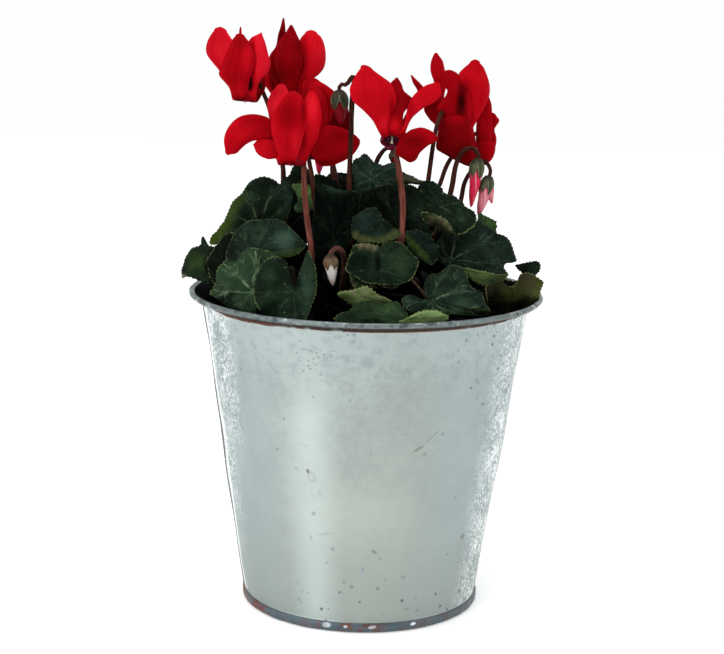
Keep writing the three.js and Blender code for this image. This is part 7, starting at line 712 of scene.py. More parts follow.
# places in the picture where the blade's colour changes: leaf -> list of (x, y, radius, olive, pale); olive is painted
# light shining through the blade
PATCHES = {
    "leaf_upper_left": [(212, 240, 9, 0.9, 0), (217, 233, 9, 0.9, 0), (222, 226, 9, 0.9, 0), (227, 218, 9, 0.85, 0), (231, 210, 8, 0.8, 0), (236, 203, 8, 0.7, 0), (242, 196, 7, 0.5, 0)],
    "leaf_centre_grey": [(355, 236, 6, 0.5, 0.1), (362, 240, 6, 0.75, 0.1), (369, 242, 6, 0.8, 0.1), (376, 243, 6, 0.8, 0.1), (383, 241, 6, 0.8, 0.1), (390, 238, 6, 0.8, 0.1), (396, 234, 6, 0.6, 0.1)],
    "leaf_centre_right_small": [(408, 238, 3.5, 0.55, 0), (412, 243, 4.2, 0.75, 0), (416.5, 248, 4.4, 0.8, 0), (421, 252.5, 4.2, 0.75, 0), (425.5, 257, 3.8, 0.55, 0), (429, 261, 3, 0.3, 0)],
        "leaf_front_centre_lower": [(361, 244.8, 4.2, 0, 0.42), (368, 246, 4.2, 0, 0.45), (374, 248, 4.2, 0, 0.40), (350, 279, 4, 0.3, 0.2), (354, 286, 4, 0.3, 0.25), (362, 288.5, 4, 0.3, 0.25), (372, 288.5, 4, 0.3, 0.2), (384, 288, 4, 0.3, 0.15)],
    "leaf_left_front_high": [(285, 257, 6, 0.5, 0), (292, 255, 6, 0.55, 0), (299, 252, 6, 0.5, 0), (277, 258, 5, 0.4, 0)],
    "leaf_left_rim": [(196, 262, 13, 0.30, 0), (183, 277, 3.5, 0.2, 0.5), (190, 279.5, 3.5, 0.3, 0.2)],
    "leaf_folded_right": [(433, 218, 5, 0, 0.10), (440, 219.5, 5, 0, 0.22), (446, 223, 4.5, 0, 0.24), (450, 228, 3.5, 0, 0.20), (430, 222.5, 3.5, 0, 0.05)],
    "leaf_top_centre": [(424, 180, 5, 0.1, 0.30), (416, 179, 5, 0.1, 0.30), (408, 178, 5, 0.1, 0.25), (400, 178, 5, 0.1, 0.2)],
    "leaf_front_curl": [(352, 291, 6, 0, 0.25), (365, 291, 6, 0, 0.25), (378, 298, 6, 0, 0.2)],
    "leaf_young_bright": [(300, 220, 9, 0, 0.0)],
    "leaf_right_rim": [(512, 291, 16, 0.22, 0), (537, 294, 6.5, 0.55, 0), (540, 286, 5, 0.5, 0), (533, 302, 4, 0.35, 0), (527, 290, 5, 0.25, 0)],
}
# leaf -> tone, partly painted shade and light, painted bluish sheen, strength of the veins, of the margin and of the
# freckles
LOOKS = {
    "leaf_left_rim": (0.03, -0.5, 0.14, 0.5, 0.2), "leaf_upper_left": (-0.13, 0.05, 0.42, 0.3, 0.5), "leaf_left_front_high": (-0.02, 0.3, 0.22, 0.6, 0.9),
    "leaf_left_front_low": (0.29, 0.1, 1.2, 0.8, 0.6), "leaf_front_left": (0.02, 0.05, 0.22, 1.1, 1), "leaf_centre_left_deep": (-0.60, 0.1, 0.05, 0.25, 0.2),
    "leaf_behind_stems_right": (-0.35, 0.2, 0.15, 0.3, 0.3), "leaf_behind_stems_left": (-0.15, 0.1, 0.2, 0.4, 0.3), "leaf_young_bright": (0.78, 0.0, 0.4, 0.8, 0.0),
    "leaf_top_centre": (0.04, 0.55, 0.42, 0.45, 0.9), "leaf_centre_dark": (-0.40, 0.0, 0.15, 0.5, 0.3), "leaf_centre_grey": (-0.2, 0.45, 0.12, 0.7, 0.3),
    "leaf_centre_right_small": (-0.22, 0.45, 0.08, 0.6, 0.2), "leaf_front_centre": (-0.03, 0.1, 0.16, 1.2, 0.3), "leaf_front_centre_lower": (0.12, 0, 0.2, 1.3, 0.2),
    "leaf_front_low": (0.27, -0.1, 0.25, 1.1, 0.4), "leaf_front_right": (0, 0.25, 1, 0.6, 0.6), "leaf_far_right": (0.05, 0.1, 0.1, 0.4, 0.1),
    "leaf_right": (-0.14, 0.35, 0.3, 0.4, 0.5), "leaf_upper_right": (-0.02, 0.05, 0.26, 1.3, 0.3), "leaf_right_top_small": (-0.08, 0.2, 0.2, 0.7, 0.2),
    "leaf_right_back_small": (0.62, -0.2, 0.2, 1.4, 0.0), "leaf_left_inner": (-1.0, 0.0, 0.05, 1.3, 0.0), "leaf_front_curl": (0.68, 0.0, 0.4, 1.3, 0.8),
    "leaf_on_rim": (1.08, 0.0, 0.5, 0.7, 0.2), "leaf_right_strip": (0.50, 0.0, 0.3, 1.1, 0.1), "leaf_folded_right": (-0.8, 0, 0.05, 1.2, 0),
    "leaf_right_rim": (-0.46, 0, 0.08, 0.9, 0),
}
# leaf -> places in the picture with painted shade and light and a painted bluish sheen: (x, y, half width, half height,
# tone change, sheen change)
LEAF_PAINTED_SHADE_AND_SHEEN = {
    "leaf_left_rim": [(196, 262, 9, 10, 0.12, 0), (208, 262, 5, 16, -0.30, 0)],
    "leaf_upper_left": [(251, 194, 12, 14, 0.16, -0.1), (287, 192, 8, 16, 0.04, 0.8), (266, 218, 14, 14, -0.34, 0), (244, 222, 10, 16, -0.16, 0), (272, 186, 6, 8, 0.08, 0.2)],
    "leaf_left_front_high": [(284, 239, 15, 11, 0.34, 1.2), (233, 246, 10, 16, -0.16, -0.1), (259, 236, 12, 13, 0.14, 0), (300, 244, 6, 7, -0.2, 0), (286, 241, 12, 9, 0.12, 0.3), (262, 233, 12, 10, 0.1, 0), (286, 242, 11, 8, 0.06, 0.3)],
    "leaf_left_front_low": [(224, 298, 14, 9, -0.16, 0.35), (232, 268, 14, 12, 0.08, 0), (263, 260, 9, 9, -0.16, 0), (250, 302, 10, 12, -0.12, 0.2)],
    "leaf_front_left": [(284, 272, 9, 20, -0.30, -0.2), (268, 270, 10, 14, 0.06, -0.3), (308, 290, 9, 34, 0.22, 0.45), (280, 312, 24, 12, -0.04, 0.2), (296, 276, 5, 16, -0.35, 0)],
    "leaf_centre_left_deep": [(336, 187.5, 26, 4.5, 0.34, 0.4), (342, 246, 18, 6, 0.34, 0.1), (322, 210, 5, 24, 0.15, 0), (336, 191, 22, 5, 0.3, 0.1), (336, 191, 20, 5, 0.25, 0.1)],
    "leaf_behind_stems_right": [(326, 176, 12, 5, 0.2, 0.4)],
    "leaf_young_bright": [(306, 206, 12, 8, -0.42, 0), (298, 204, 8, 14, -0.22, 0), (309, 188, 7, 8, 0.15, 0)],
    "leaf_top_centre": [(372, 172, 20, 12, 0.04, 0.3), (412, 178, 14, 4, 0.22, 0), (360, 186, 12, 6, -0.22, 0)],
    "leaf_centre_dark": [(380, 208, 16, 26, -0.28, 0), (414, 206, 16, 20, 0.34, -0.1), (400, 230, 24, 8, -0.20, 0)],
    "leaf_centre_grey": [(364, 220, 10, 12, 0.14, 0.3), (388, 226, 12, 8, -0.30, 0), (352, 225, 4, 10, -0.2, 0)],
    "leaf_centre_right_small": [(424, 242, 11, 12, -0.04, 0.3), (430, 256, 10, 8, -0.2, 0), (411, 255, 8, 8, -0.35, -0.4)],
    "leaf_front_centre": [(360, 264, 14, 12, -0.20, 0.2), (399, 262, 17, 18, 0.26, -0.2), (377.5, 262, 2.6, 14, -0.6, 0), (372, 279, 22, 4, -0.2, 0), (360, 264, 13, 13, -0.25, -0.1)],
    "leaf_front_centre_lower": [(376, 275, 18, 8, -0.22, 0)],
    "leaf_front_low": [(388, 310, 17, 8, 0.24, 0), (352, 318, 16, 9, -0.22, 0), (372, 322, 20, 4, -0.15, 0)],
    "leaf_right": [(440, 250, 12, 18, -0.20, 0), (462, 236, 16, 8, -0.06, 0), (492, 250, 18, 14, 0.10, 0.1), (470, 268, 24, 5, -0.25, 0), (452, 258, 14, 16, -0.18, 0), (449, 250, 13, 17, -0.3, 0)],
    "leaf_upper_right": [(464, 220, 11, 12, 0.20, -0.1), (438, 204, 12, 11, -0.14, 0), (452, 224, 8, 6, 0.05, 0)],
    "leaf_front_right": [(412, 304, 14, 8, -0.12, 0.1), (462, 292, 20, 16, 0.08, 0.1), (480, 308, 10, 8, -0.15, 0), (462, 306, 16, 9, 0.14, 0.0), (462, 306, 15, 8, 0.16, 0.1)],
    "leaf_front_curl": [(380, 306, 16, 8, -0.35, 0), (345, 300, 10, 8, -0.45, 0), (358, 296, 14, 5, 0.1, 0)],
    "leaf_right_strip": [(500, 280, 14, 8, -0.75, 0), (488, 284, 14, 5, -0.35, 0)],
    "leaf_folded_right": [(430, 216, 8, 2.4, 0.55, 0), (439, 217.5, 8, 3.4, 0.90, 0), (446, 221.5, 5.5, 4.2, 1.0, 0), (450.5, 228, 3.2, 5, 0.85, 0), (433, 224, 6, 3, -0.3, 0)],
    "leaf_right_rim": [(494, 306, 18, 13, -1.0, 0), (514, 306, 18, 12, -0.70, 0), (498, 290, 12, 8, -0.32, 0), (536, 290, 9, 15, 0.42, 0), (530, 279, 8, 6, 0.14, 0)],
    "leaf_right_back_small": [(480, 222, 6, 10, -0.2, 0)],
}


# leaves whose fine blade reaches a little further than the plain one
SPREAD = {"leaf_back_left_low": 1.07}


def leaf_piece(i, L):
    b = Build()
    name = L["name"]
    c = np.array(L["c"], float)
    E = c + (catmull(L["b"], True, EDGE) - c) * SPREAD.get(name, 1.0)
    d = E - c
    n = unit(np.cross(d, np.roll(d, -1, 0)).sum(0))
    out = d @ n
    flat = d - out[:, None] * n
    reach = np.linalg.norm(flat, axis=1)
    start = int(reach.argmin())
    E, d, out, flat, reach = (np.roll(x, -start, 0) for x in (E, d, out, flat, reach))
    # bearing round the stalk, blended with the share of the outline's length so that it always grows
    turn = []
    for k in range(EDGE):
        a, q = flat[k], flat[(k + 1) % EDGE]
        turn.append(math.atan2(np.cross(a, q) @ n, a @ q))
    step = np.linalg.norm(np.roll(E, -1, 0) - E, axis=1)
    share = 0.72 * np.maximum(turn, 0) / max(np.maximum(turn, 0).sum(), 1e-6) + 0.28 * step / step.sum()
    bearing = np.concatenate([[0], np.cumsum(share)])          # 0 to 1, EDGE + 1 values
    girth = step.sum()
    R = reach.mean()
    veins = 9 if R > 11.5 else 7
    teeth = max(20, int(girth / 1.55))
    arc = np.concatenate([[0], np.cumsum(step)]) / girth
    phase = 2 * math.pi * teeth * (arc[:-1] + 0.004 * np.sin(2 * math.pi * 5 * arc[:-1] + i))
    tooth = 0.5 + 0.5 * np.cos(phase)
    rng = np.random.RandomState(100 + i)
    ph = rng.uniform(0, 2 * math.pi, 6)
    ang = 2 * math.pi * bearing[:-1]
    wave = L["wave"] * (1.05 * np.sin(3 * ang + ph[0]) + 0.75 * np.sin(5 * ang + ph[1]) + 0.45 * np.sin(8 * ang + ph[2]) + 0.30 * np.sin(13 * ang + ph[3]))
    outwards = flat / np.maximum(reach, 1e-6)[:, None]
    fs = np.array([(bearing[:-1] * veins)]).ravel()
    near_vein = np.abs(fs - np.floor(fs) - 0.5)                # 0 on a main vein

    def level(rho, count):
        k = (np.arange(count) * (EDGE // count))
        base = c + flat[k] * rho + n * (out[k] * rho ** 1.7)[:, None]
        # teeth on the last rings
        g = smooth(0.955, 1.0, rho)
        base = base + outwards[k] * ((tooth[k] ** 1.4 * 0.40 - 0.14) * g)[:, None]
        lift = wave[k] * rho ** 2.6
        lift = lift + 0.62 * HUMPS(base) * smooth(0.1, 0.5, rho)
        pucker = (smooth(0.06, 0.42, near_vein[k]) - 0.55) * smooth(0.12, 0.4, rho) * (1 - 0.75 * smooth(0.75, 1.0, rho))
        lift = lift + 0.42 * pucker * min(1.0, R / 14)
        lift = lift + 0.15 * RIPPLE(base)
        lift = lift - 0.42 * smooth(0.86, 1.0, rho) ** 2
        lift = lift + 0.5 * (1 - smooth(0.0, 0.16, rho)) * -1.0
        return base + n * lift[:, None], base

    half = lambda rho: 0.24 * (1 - 0.72 * smooth(0.88, 1.0, rho))
    marks, casts = PATCHES.get(name, []), LEAF_PAINTED_SHADE_AND_SHEEN.get(name, [])
    tone0, cast0, vein_k, rim_k, freck_k = LOOKS.get(name, (0.5 * L["tone"], 0.30, 0.6, 0.5, 0.5))
    kind = {"upper": 0.0, "under": 0.0, "olive": 0.75}[L["kind"]]
    seed = rng.uniform(0, 1)

    def look(P):
        """Olive (painted light through the blade), pale; tone (partly painted shade and light); painted bluish sheen at
        the points.
        """
        x, y = seen_at(P)
        o, p, t, c2 = np.zeros(len(P)), np.zeros(len(P)), np.full(len(P), tone0), np.full(len(P), cast0)
        for mx, my, r, ol, pa in marks:
            f = smooth(1.3, 0.25, np.hypot(x - mx, y - my) / r)
            o, p = np.maximum(o, f * ol), np.maximum(p, f * pa)
        for mx, my, rx, ry, dt, dc in casts:
            f = smooth(1.3, 0.15, np.hypot((x - mx) / rx, (y - my) / ry))
            t, c2 = t + f * dt, c2 + f * dc
        return np.stack([o, p, t, c2], 1)

    first = {}
    for side in (1, -1):
        ids, uvs, looks = [], [], []
        centre = c + n * (-0.5 + side * half(0))
        mid = b.points(centre)
        mat = 0 if side > 0 and L["kind"] == "upper" else 1
        plain = side < 0 and L["kind"] == "upper"          # the hidden face of a leaf seen from above
        for rho, count in RINGS:
            P, _ = level(rho, count)
            P = P + n * side * half(rho)
            o = b.points(P)
            ids.append([o + k for k in range(count)])
            k = np.arange(count + 1) * (EDGE // count)
            uvs.append(np.stack([bearing[k] * veins, np.full(count + 1, rho)], 1))
            q = look(P)
            if plain:
                q = np.tile([0.0, 0.0, 0.15, 0.0], (len(P), 1))
            looks.append(np.vstack([q, q[:1]]))
        order = (lambda x: x) if side > 0 else (lambda x: x[::-1])
        pc = look(centre[None])[0] if not plain else np.array([0.0, 0.0, 0.15, 0.0])

        def uv_of(vein, lk):
            return dict(vein=order([tuple(q) for q in vein]), patch=order([(q[0], q[1]) for q in lk]), par=order([(q[2], seed if mat == 0 else kind) for q in lk]),
                        cast=order([(q[3], vein_k) for q in lk]), edge=[(rim_k, freck_k)] * len(lk))

        m = RINGS[0][1]
        for j in range(m):
            k = (j + 1) % m
            mean = (uvs[0][j][0] + uvs[0][j + 1][0]) / 2
            b.face(order([mid, ids[0][j], ids[0][k]]), mat, **uv_of([(mean, 0.0), uvs[0][j], uvs[0][j + 1]], [pc, looks[0][j], looks[0][j + 1]]))
        for r in range(len(RINGS) - 1):
            A, B2 = RINGS[r][1], RINGS[r + 1][1]
            a, z, ua, uz, pa, pz = ids[r], ids[r + 1], uvs[r], uvs[r + 1], looks[r], looks[r + 1]
            if A == B2:
                for j in range(A):
                    k = (j + 1) % A
                    b.face(order([a[j], z[j], z[k], a[k]]), mat, **uv_of([ua[j], uz[j], uz[j + 1], ua[j + 1]], [pa[j], pz[j], pz[j + 1], pa[j + 1]]))
            else:
                for j in range(A):
                    k = (j + 1) % A
                    tri = [((a[j], z[2 * j], z[2 * j + 1]), (ua[j], uz[2 * j], uz[2 * j + 1]), (pa[j], pz[2 * j], pz[2 * j + 1])),
                           ((a[j], z[2 * j + 1], a[k]), (ua[j], uz[2 * j + 1], ua[j + 1]), (pa[j], pz[2 * j + 1], pa[j + 1])),
                           ((a[k], z[2 * j + 1], z[(2 * j + 2) % B2]), (ua[j + 1], uz[2 * j + 1], uz[2 * j + 2]), (pa[j + 1], pz[2 * j + 1], pz[2 * j + 2]))]
                    for f, uu, pp in tri:
                        b.face(order(list(f)), mat, **uv_of(uu, pp))
        first[side] = (ids[-1], uvs[-1], looks[-1], mat)
    top, ut, lt, mt = first[1]
    low = first[-1][0]
    for j in range(EDGE):
        k = (j + 1) % EDGE
        lk = [lt[j], lt[j], lt[j + 1], lt[j + 1]]
        b.face([top[j], low[j], low[k], top[k]], mt, vein=[tuple(ut[j]), tuple(ut[j]), tuple(ut[j + 1]), tuple(ut[j + 1])], patch=[(0.0, 0.0)] * 4,
               par=[(q[2], seed if mt == 0 else kind) for q in lk], cast=[(q[3], vein_k) for q in lk], edge=[(rim_k, freck_k)] * 4)
    # the stalk, from the lower face to the corm
    path = [np.array(p, float) for p in L["path"]]
    rad = L["rad"]
    path[0] = c - n * (rad + 0.75)
    head = unit(path[1] - path[0])
    path[0] = path[0] - head * 0.2
    tube(b, path, lambda t: rad * (0.86 + 0.20 * t), 12, 2, mark=(0.0,), wobble=0.05, seed=i)
    knob = [(0.0, -0.2), (rad * 0.8, -0.1), (rad * 1.25, 0.35), (rad * 1.5, 0.9), (rad * 1.2, 1.35), (0.0, 1.5)]
    turned(b, knob, 12, c - n * (rad + 1.2), n, 2, smooth_n=9)
    b.done(name + "_grown", [LEAF_UP, LEAF_LOW, PETIOLE if name == "leaf_front_right" else STALK_SHADED], slot="leaf", replaces=(name,))


# ---------------------------------------------------------------- petals and flowers
CURL = Waves(9, 16.0)


def petal_sheet(b, F, rows, seed, mat, style, key):
    """One petal between its left and right edges, as a thin closed sheet."""
    mouth, axis = np.array(F["mouth"], float), unit(F["axis"])
    sx = unit(np.array([1.0, 0, 0]) - axis * axis[0])
    sy = np.cross(axis, sx)
    rows = [(np.array(r[:3], float), np.array(r[3:], float)) for r in rows]
    aim = (rows[1][0] + rows[1][1]) / 2 - mouth
    bearing = math.atan2(aim @ sy, aim @ sx)
    ring = F["ring"]
    at = lambda a, r, drop: mouth + sx * r * math.cos(a) + sy * r * math.sin(a) - axis * drop
    ends = [bearing - 0.5, bearing + 0.5]
    if np.linalg.norm(at(ends[0], ring, 0) - rows[1][0]) > np.linalg.norm(at(ends[1], ring, 0) - rows[1][0]):
        ends.reverse()
    e = ends
    lip = [(at(e[0], ring - 0.7, -1.2), at(e[1], ring - 0.7, -1.2)), (at(e[0], ring - 0.35, 0.4), at(e[1], ring - 0.35, 0.4)),
           (at(e[0], ring + 0.35, 0.75), at(e[1], ring + 0.35, 0.75))]
    allr = lip + rows[1:]
    Lc = np.array([r[0] for r in allr])
    Rc = np.array([r[1] for r in allr])
    # share of the way along, from the middle line
    midl = (Lc + Rc) / 2
    rounds = style.get("round", 1.0)
    n = 46
    both = catmull(np.hstack([Lc, Rc]), False, n)
    Lp, Rp = both[:, :3], both[:, 3:]
    M = (Lp + Rp) / 2
    W = Rp - Lp
    width = np.linalg.norm(W, axis=1)
    T = np.gradient(M, axis=0)
    T /= np.maximum(np.linalg.norm(T, axis=1), 1e-9)[:, None]
    # a rounded end beyond the last row
    end_w = width[-1]
    cap = 6
    tail_dir = T[-1]
    capM = [M[-1] + tail_dir * end_w * 0.32 * rounds * math.sin(a) for a in np.linspace(0, math.pi / 2, cap + 1)[1:]]
    capS = [max(math.cos(a), 0.04) for a in np.linspace(0, math.pi / 2, cap + 1)[1:]]
    M = np.vstack([M, capM])
    W = np.vstack([W, [W[-1] * s for s in capS]])
    T = np.vstack([T, [tail_dir] * cap])
    width = np.linalg.norm(W, axis=1)
    rowsn = len(M)
    N = np.cross(T, W)
    N /= np.maximum(np.linalg.norm(N, axis=1), 1e-9)[:, None]
    away = M - (mouth + np.outer((M - mouth) @ axis, axis))
    sign = style.get("face") or (1.0 if (N[8:] * away[8:]).sum() > 0 else -1.0)
    N *= sign
    for _ in range(3):
        N[1:-1] = (N[:-2] + 2 * N[1:-1] + N[2:]) / 4
    N /= np.maximum(np.linalg.norm(N, axis=1), 1e-9)[:, None]
    u = np.linspace(-1, 1, 25)
    v = np.linspace(0, 1, rowsn)
    amount = style.get("bulge", 0.13) * smooth(0.03, 0.34, v) * (1 - 0.35 * smooth(0.8, 1.0, v))
    rng = np.random.RandomState(seed)
    ph = rng.uniform(0, 6.28, 5)
    S = np.zeros((rowsn, 25, 3))
    for k in range(rowsn):
        w = width[k]
        base = M[k] + np.outer(u, W[k]) / 2
        h = amount[k] * w * (1 - np.abs(u) ** 2.2)
        # a shallow groove or keel down the middle, and margins that roll back
        h += style.get("keel", -0.012) * w * np.exp(-(u / 0.16) ** 2) * smooth(0.02, 0.2, v[k])
        roll = style.get("roll", 0.10) * w * smooth(0.62, 1.0, np.abs(u)) * math.sin(math.pi * min(1, v[k] * 1.05))
        h -= roll
        h += 0.22 * np.sin(9 * v[k] + ph[0] + 2 * u) * np.abs(u) ** 3 * smooth(0.15, 0.5, v[k])
        h += 0.10 * np.sin(21 * v[k] + ph[1]) * np.abs(u) ** 5 * smooth(0.2, 0.5, v[k])
        h += 0.30 * CURL(base + seed * 13.7) * smooth(0.1, 0.4, v[k])
        # fine pleats near the mouth
        h += 0.05 * np.cos(u * 9.4 + ph[2]) * smooth(0.45, 0.08, v[k]) * min(1, w / 5)
        S[k] = base + np.outer(h, N[k])
    G = np.gradient(S, axis=0)
    H = np.gradient(S, axis=1)
    NN = np.cross(G, H)
    NN /= np.maximum(np.linalg.norm(NN, axis=2), 1e-9)[..., None]
    if (NN[10:40, 12] * N[10:40]).sum() < 0:
        NN = -NN
        flip = True
    else:
        flip = False
    thick = 0.19 * (1 - 0.55 * smooth(0.8, 1.0, np.abs(u)))[None, :, None] * np.ones((rowsn, 1, 1))
    top, low = S + NN * thick, S - NN * thick
    U = np.zeros((rowsn, 25, 2))
    U[..., 0] = u
    U[..., 1] = v[:, None]
    Pm = np.zeros((rowsn, 25, 2))
    Pm[..., 0] = petal_tone(key, S, u, v)
    Pm[..., 1] = seed * 0.37 % 1
    o1 = b.grid(top, mat, flip=not flip, petal=U, par=Pm)
    o2 = b.grid(low, mat, flip=flip, petal=U, par=Pm)
    # close the margin
    loop = [(0, j) for j in range(25)] + [(i, 24) for i in range(1, rowsn)] + [(rowsn - 1, j) for j in range(23, -1, -1)] + [(i, 0) for i in range(rowsn - 2, 0, -1)]
    m = len(loop)
    for k in range(m):
        (i0, j0), (i1, j1) = loop[k], loop[(k + 1) % m]
        a0, a1, c0, c1 = o1 + i0 * 25 + j0, o1 + i1 * 25 + j1, o2 + i0 * 25 + j0, o2 + i1 * 25 + j1
        q = [a0, c0, c1, a1] if not flip else [a1, c1, c0, a0]
        uvq = [tuple(U[i0, j0]), tuple(U[i0, j0]), tuple(U[i1, j1]), tuple(U[i1, j1])]
        if flip:
            uvq = [uvq[3], uvq[2], uvq[1], uvq[0]]
        at = [tuple(Pm[i0, j0]), tuple(Pm[i0, j0]), tuple(Pm[i1, j1]), tuple(Pm[i1, j1])]
        b.face(q, mat, petal=uvq, par=at[::-1] if flip else at)


# how light or dark each petal is, as painted light and shade, 0 deep maroon to 1 bright red, and the places where that
# changes: (x, y, half width, half height, change)
PETAL_LIGHT_AND_SHADE = {
    "flower_1": {"left": 0.88, "front": 0.55, "right": 0.90, "back_right": 0.48, "back": 0.64},
    "flower_2": {"spike": 0.39, "left": 0.76, "front": 0.40, "right": 0.80, "back": 0.36},
    "flower_3": {"left_back": 0.96, "front": 0.64, "right": 0.68, "drooping": 0.655, "left_low": 0.74},
    "flower_4": {"back_top": 0.56, "right_low": 0.59, "right": 0.32, "left": 0.62, "back": 0.32},
    "flower_5": {"left": 0.69, "back": 0.40, "right": 0.72, "right_low": 0.44, "thin": 0.52},
    "flower_6": {"top_left": 0.66, "front": 0.50, "left_low": 0.54, "right": 0.66, "low": 0.35},
    "flower_7": {"front": 0.50, "right": 0.56, "low": 0.56, "back": 0.38, "back_left": 0.40},
}
# petal -> places in the picture with painted light and shade, lighter or darker: (x, y, half width, half height,
# change)
SHADES = {
    ("flower_1", "left"): [(233, 66, 5, 14, -0.25)],
    ("flower_1", "front"): [(226, 60, 7, 22, -0.06), (248, 62, 7, 24, 0.16), (241, 90, 9, 12, 0.14), (243, 100, 16, 4, -0.25), (252, 93, 4, 10, 0.10), (240, 44, 8, 9, -0.08)],
    ("flower_1", "right"): [(252, 62, 4, 30, -0.58), (250, 84, 3.0, 9, -1.0), (254, 86, 8, 5, -0.10)],
    ("flower_2", "left"): [(275, 84, 7, 14, -0.36)],
    ("flower_2", "front"): [(296.3, 72, 4, 2.5, 0.20), (292, 82, 12, 9, 0.10), (278, 60, 3.5, 26, 0.02), (299, 46, 4, 16, -0.05)],
    ("flower_2", "spike"): [(281, 34, 4, 14, -0.12)],
    ("flower_2", "right"): [(301, 58, 8, 34, -0.40), (320, 56, 7, 16, 0.04)],
    ("flower_3", "left_back"): [(282, 118, 5, 20, -0.25)],
    ("flower_3", "front"): [(287, 112, 15, 20, -0.20), (297, 144, 9, 18, 0.24), (284, 146, 5, 18, 0.05), (291, 164, 14, 4, -0.30), (303, 112, 3.5, 14, -0.20)],
    ("flower_3", "right"): [(312, 108, 7, 22, 0.24), (306, 152, 10, 9, -0.08), (303.5, 138, 3, 10, -0.30), (303, 105, 2.2, 16, -0.28)],
    ("flower_3", "drooping"): [(254, 119, 20, 5, -0.12), (243, 134, 12, 9, 0.10), (231, 146, 7, 8, -0.06), (262, 131, 14, 7, -0.04)],
    ("flower_4", "back_top"): [(322, 104, 12, 14, -0.16), (318, 84, 10, 3.5, 0.16)],
    ("flower_4", "right_low"): [(316, 150, 8, 12, -0.12), (346, 148, 12, 8, 0.10), (322, 162, 10, 4, -0.12)],
    ("flower_4", "left"): [(306, 100, 6, 20, -0.18), (324, 112, 4, 20, -0.06), (310, 148, 8, 10, -0.12)],
    ("flower_5", "left"): [(392, 112, 4, 22, -0.22), (383, 124, 8, 10, 0.16), (370, 88, 14, 12, 0.02)],
    ("flower_5", "back"): [(395, 126, 7, 10, 0.34), (398, 88, 8, 9, 0.08)],
    ("flower_5", "right"): [(411, 108, 4, 12, -0.16), (406, 128, 4, 8, 0.10)],
    ("flower_5", "right_low"): [(412, 142, 12, 9, -0.10), (430, 138, 7, 6, 0.14), (424, 130, 8, 4, 0.08)],
    ("flower_6", "front"): [(462, 92, 6, 17, -0.30), (461, 108, 6, 15, -0.36), (444, 112, 7, 14, 0.05)],
    ("flower_6", "right"): [(465, 100, 7, 26, -0.34), (482, 80, 6, 12, 0.06)],
    ("flower_6", "low"): [(455, 118, 16, 8, 0.12), (466, 160, 10, 6, 0.06), (472, 128, 4, 12, 0.10)],
    ("flower_6", "left_low"): [(440, 118, 6, 12, 0.06)],
    ("flower_7", "front"): [(484, 100, 8, 6, -0.06), (480, 118, 5, 16, 0.08)],
}


def petal_tone(key, S, u, v):
    """The tone at each point of a petal: darker towards the mouth, a little lighter at the margins, with the petal's
    painted light and shade.
    """
    t = PETAL_LIGHT_AND_SHADE[key[0]].get(key[1], 0.7) + np.zeros(S.shape[:2])
    t = t - 0.32 * smooth(0.20, 0.0, v)[:, None] + 0.07 * smooth(0.72, 1.0, np.abs(u))[None, :]
    x, y = seen_at(S)
    for mx, my, rx, ry, change in SHADES.get(key, []):
        t = t + change * smooth(1.25, 0.15, np.hypot((x - mx) / rx, (y - my) / ry))
    return t


PETAL_STYLE = {
    ("flower_1", "front"): dict(bulge=0.16, keel=-0.03),
    ("flower_3", "front"): dict(bulge=0.17, keel=0.0),
    ("flower_3", "right"): dict(bulge=0.05, roll=0.02),
    ("flower_5", "left"): dict(bulge=0.10),
}


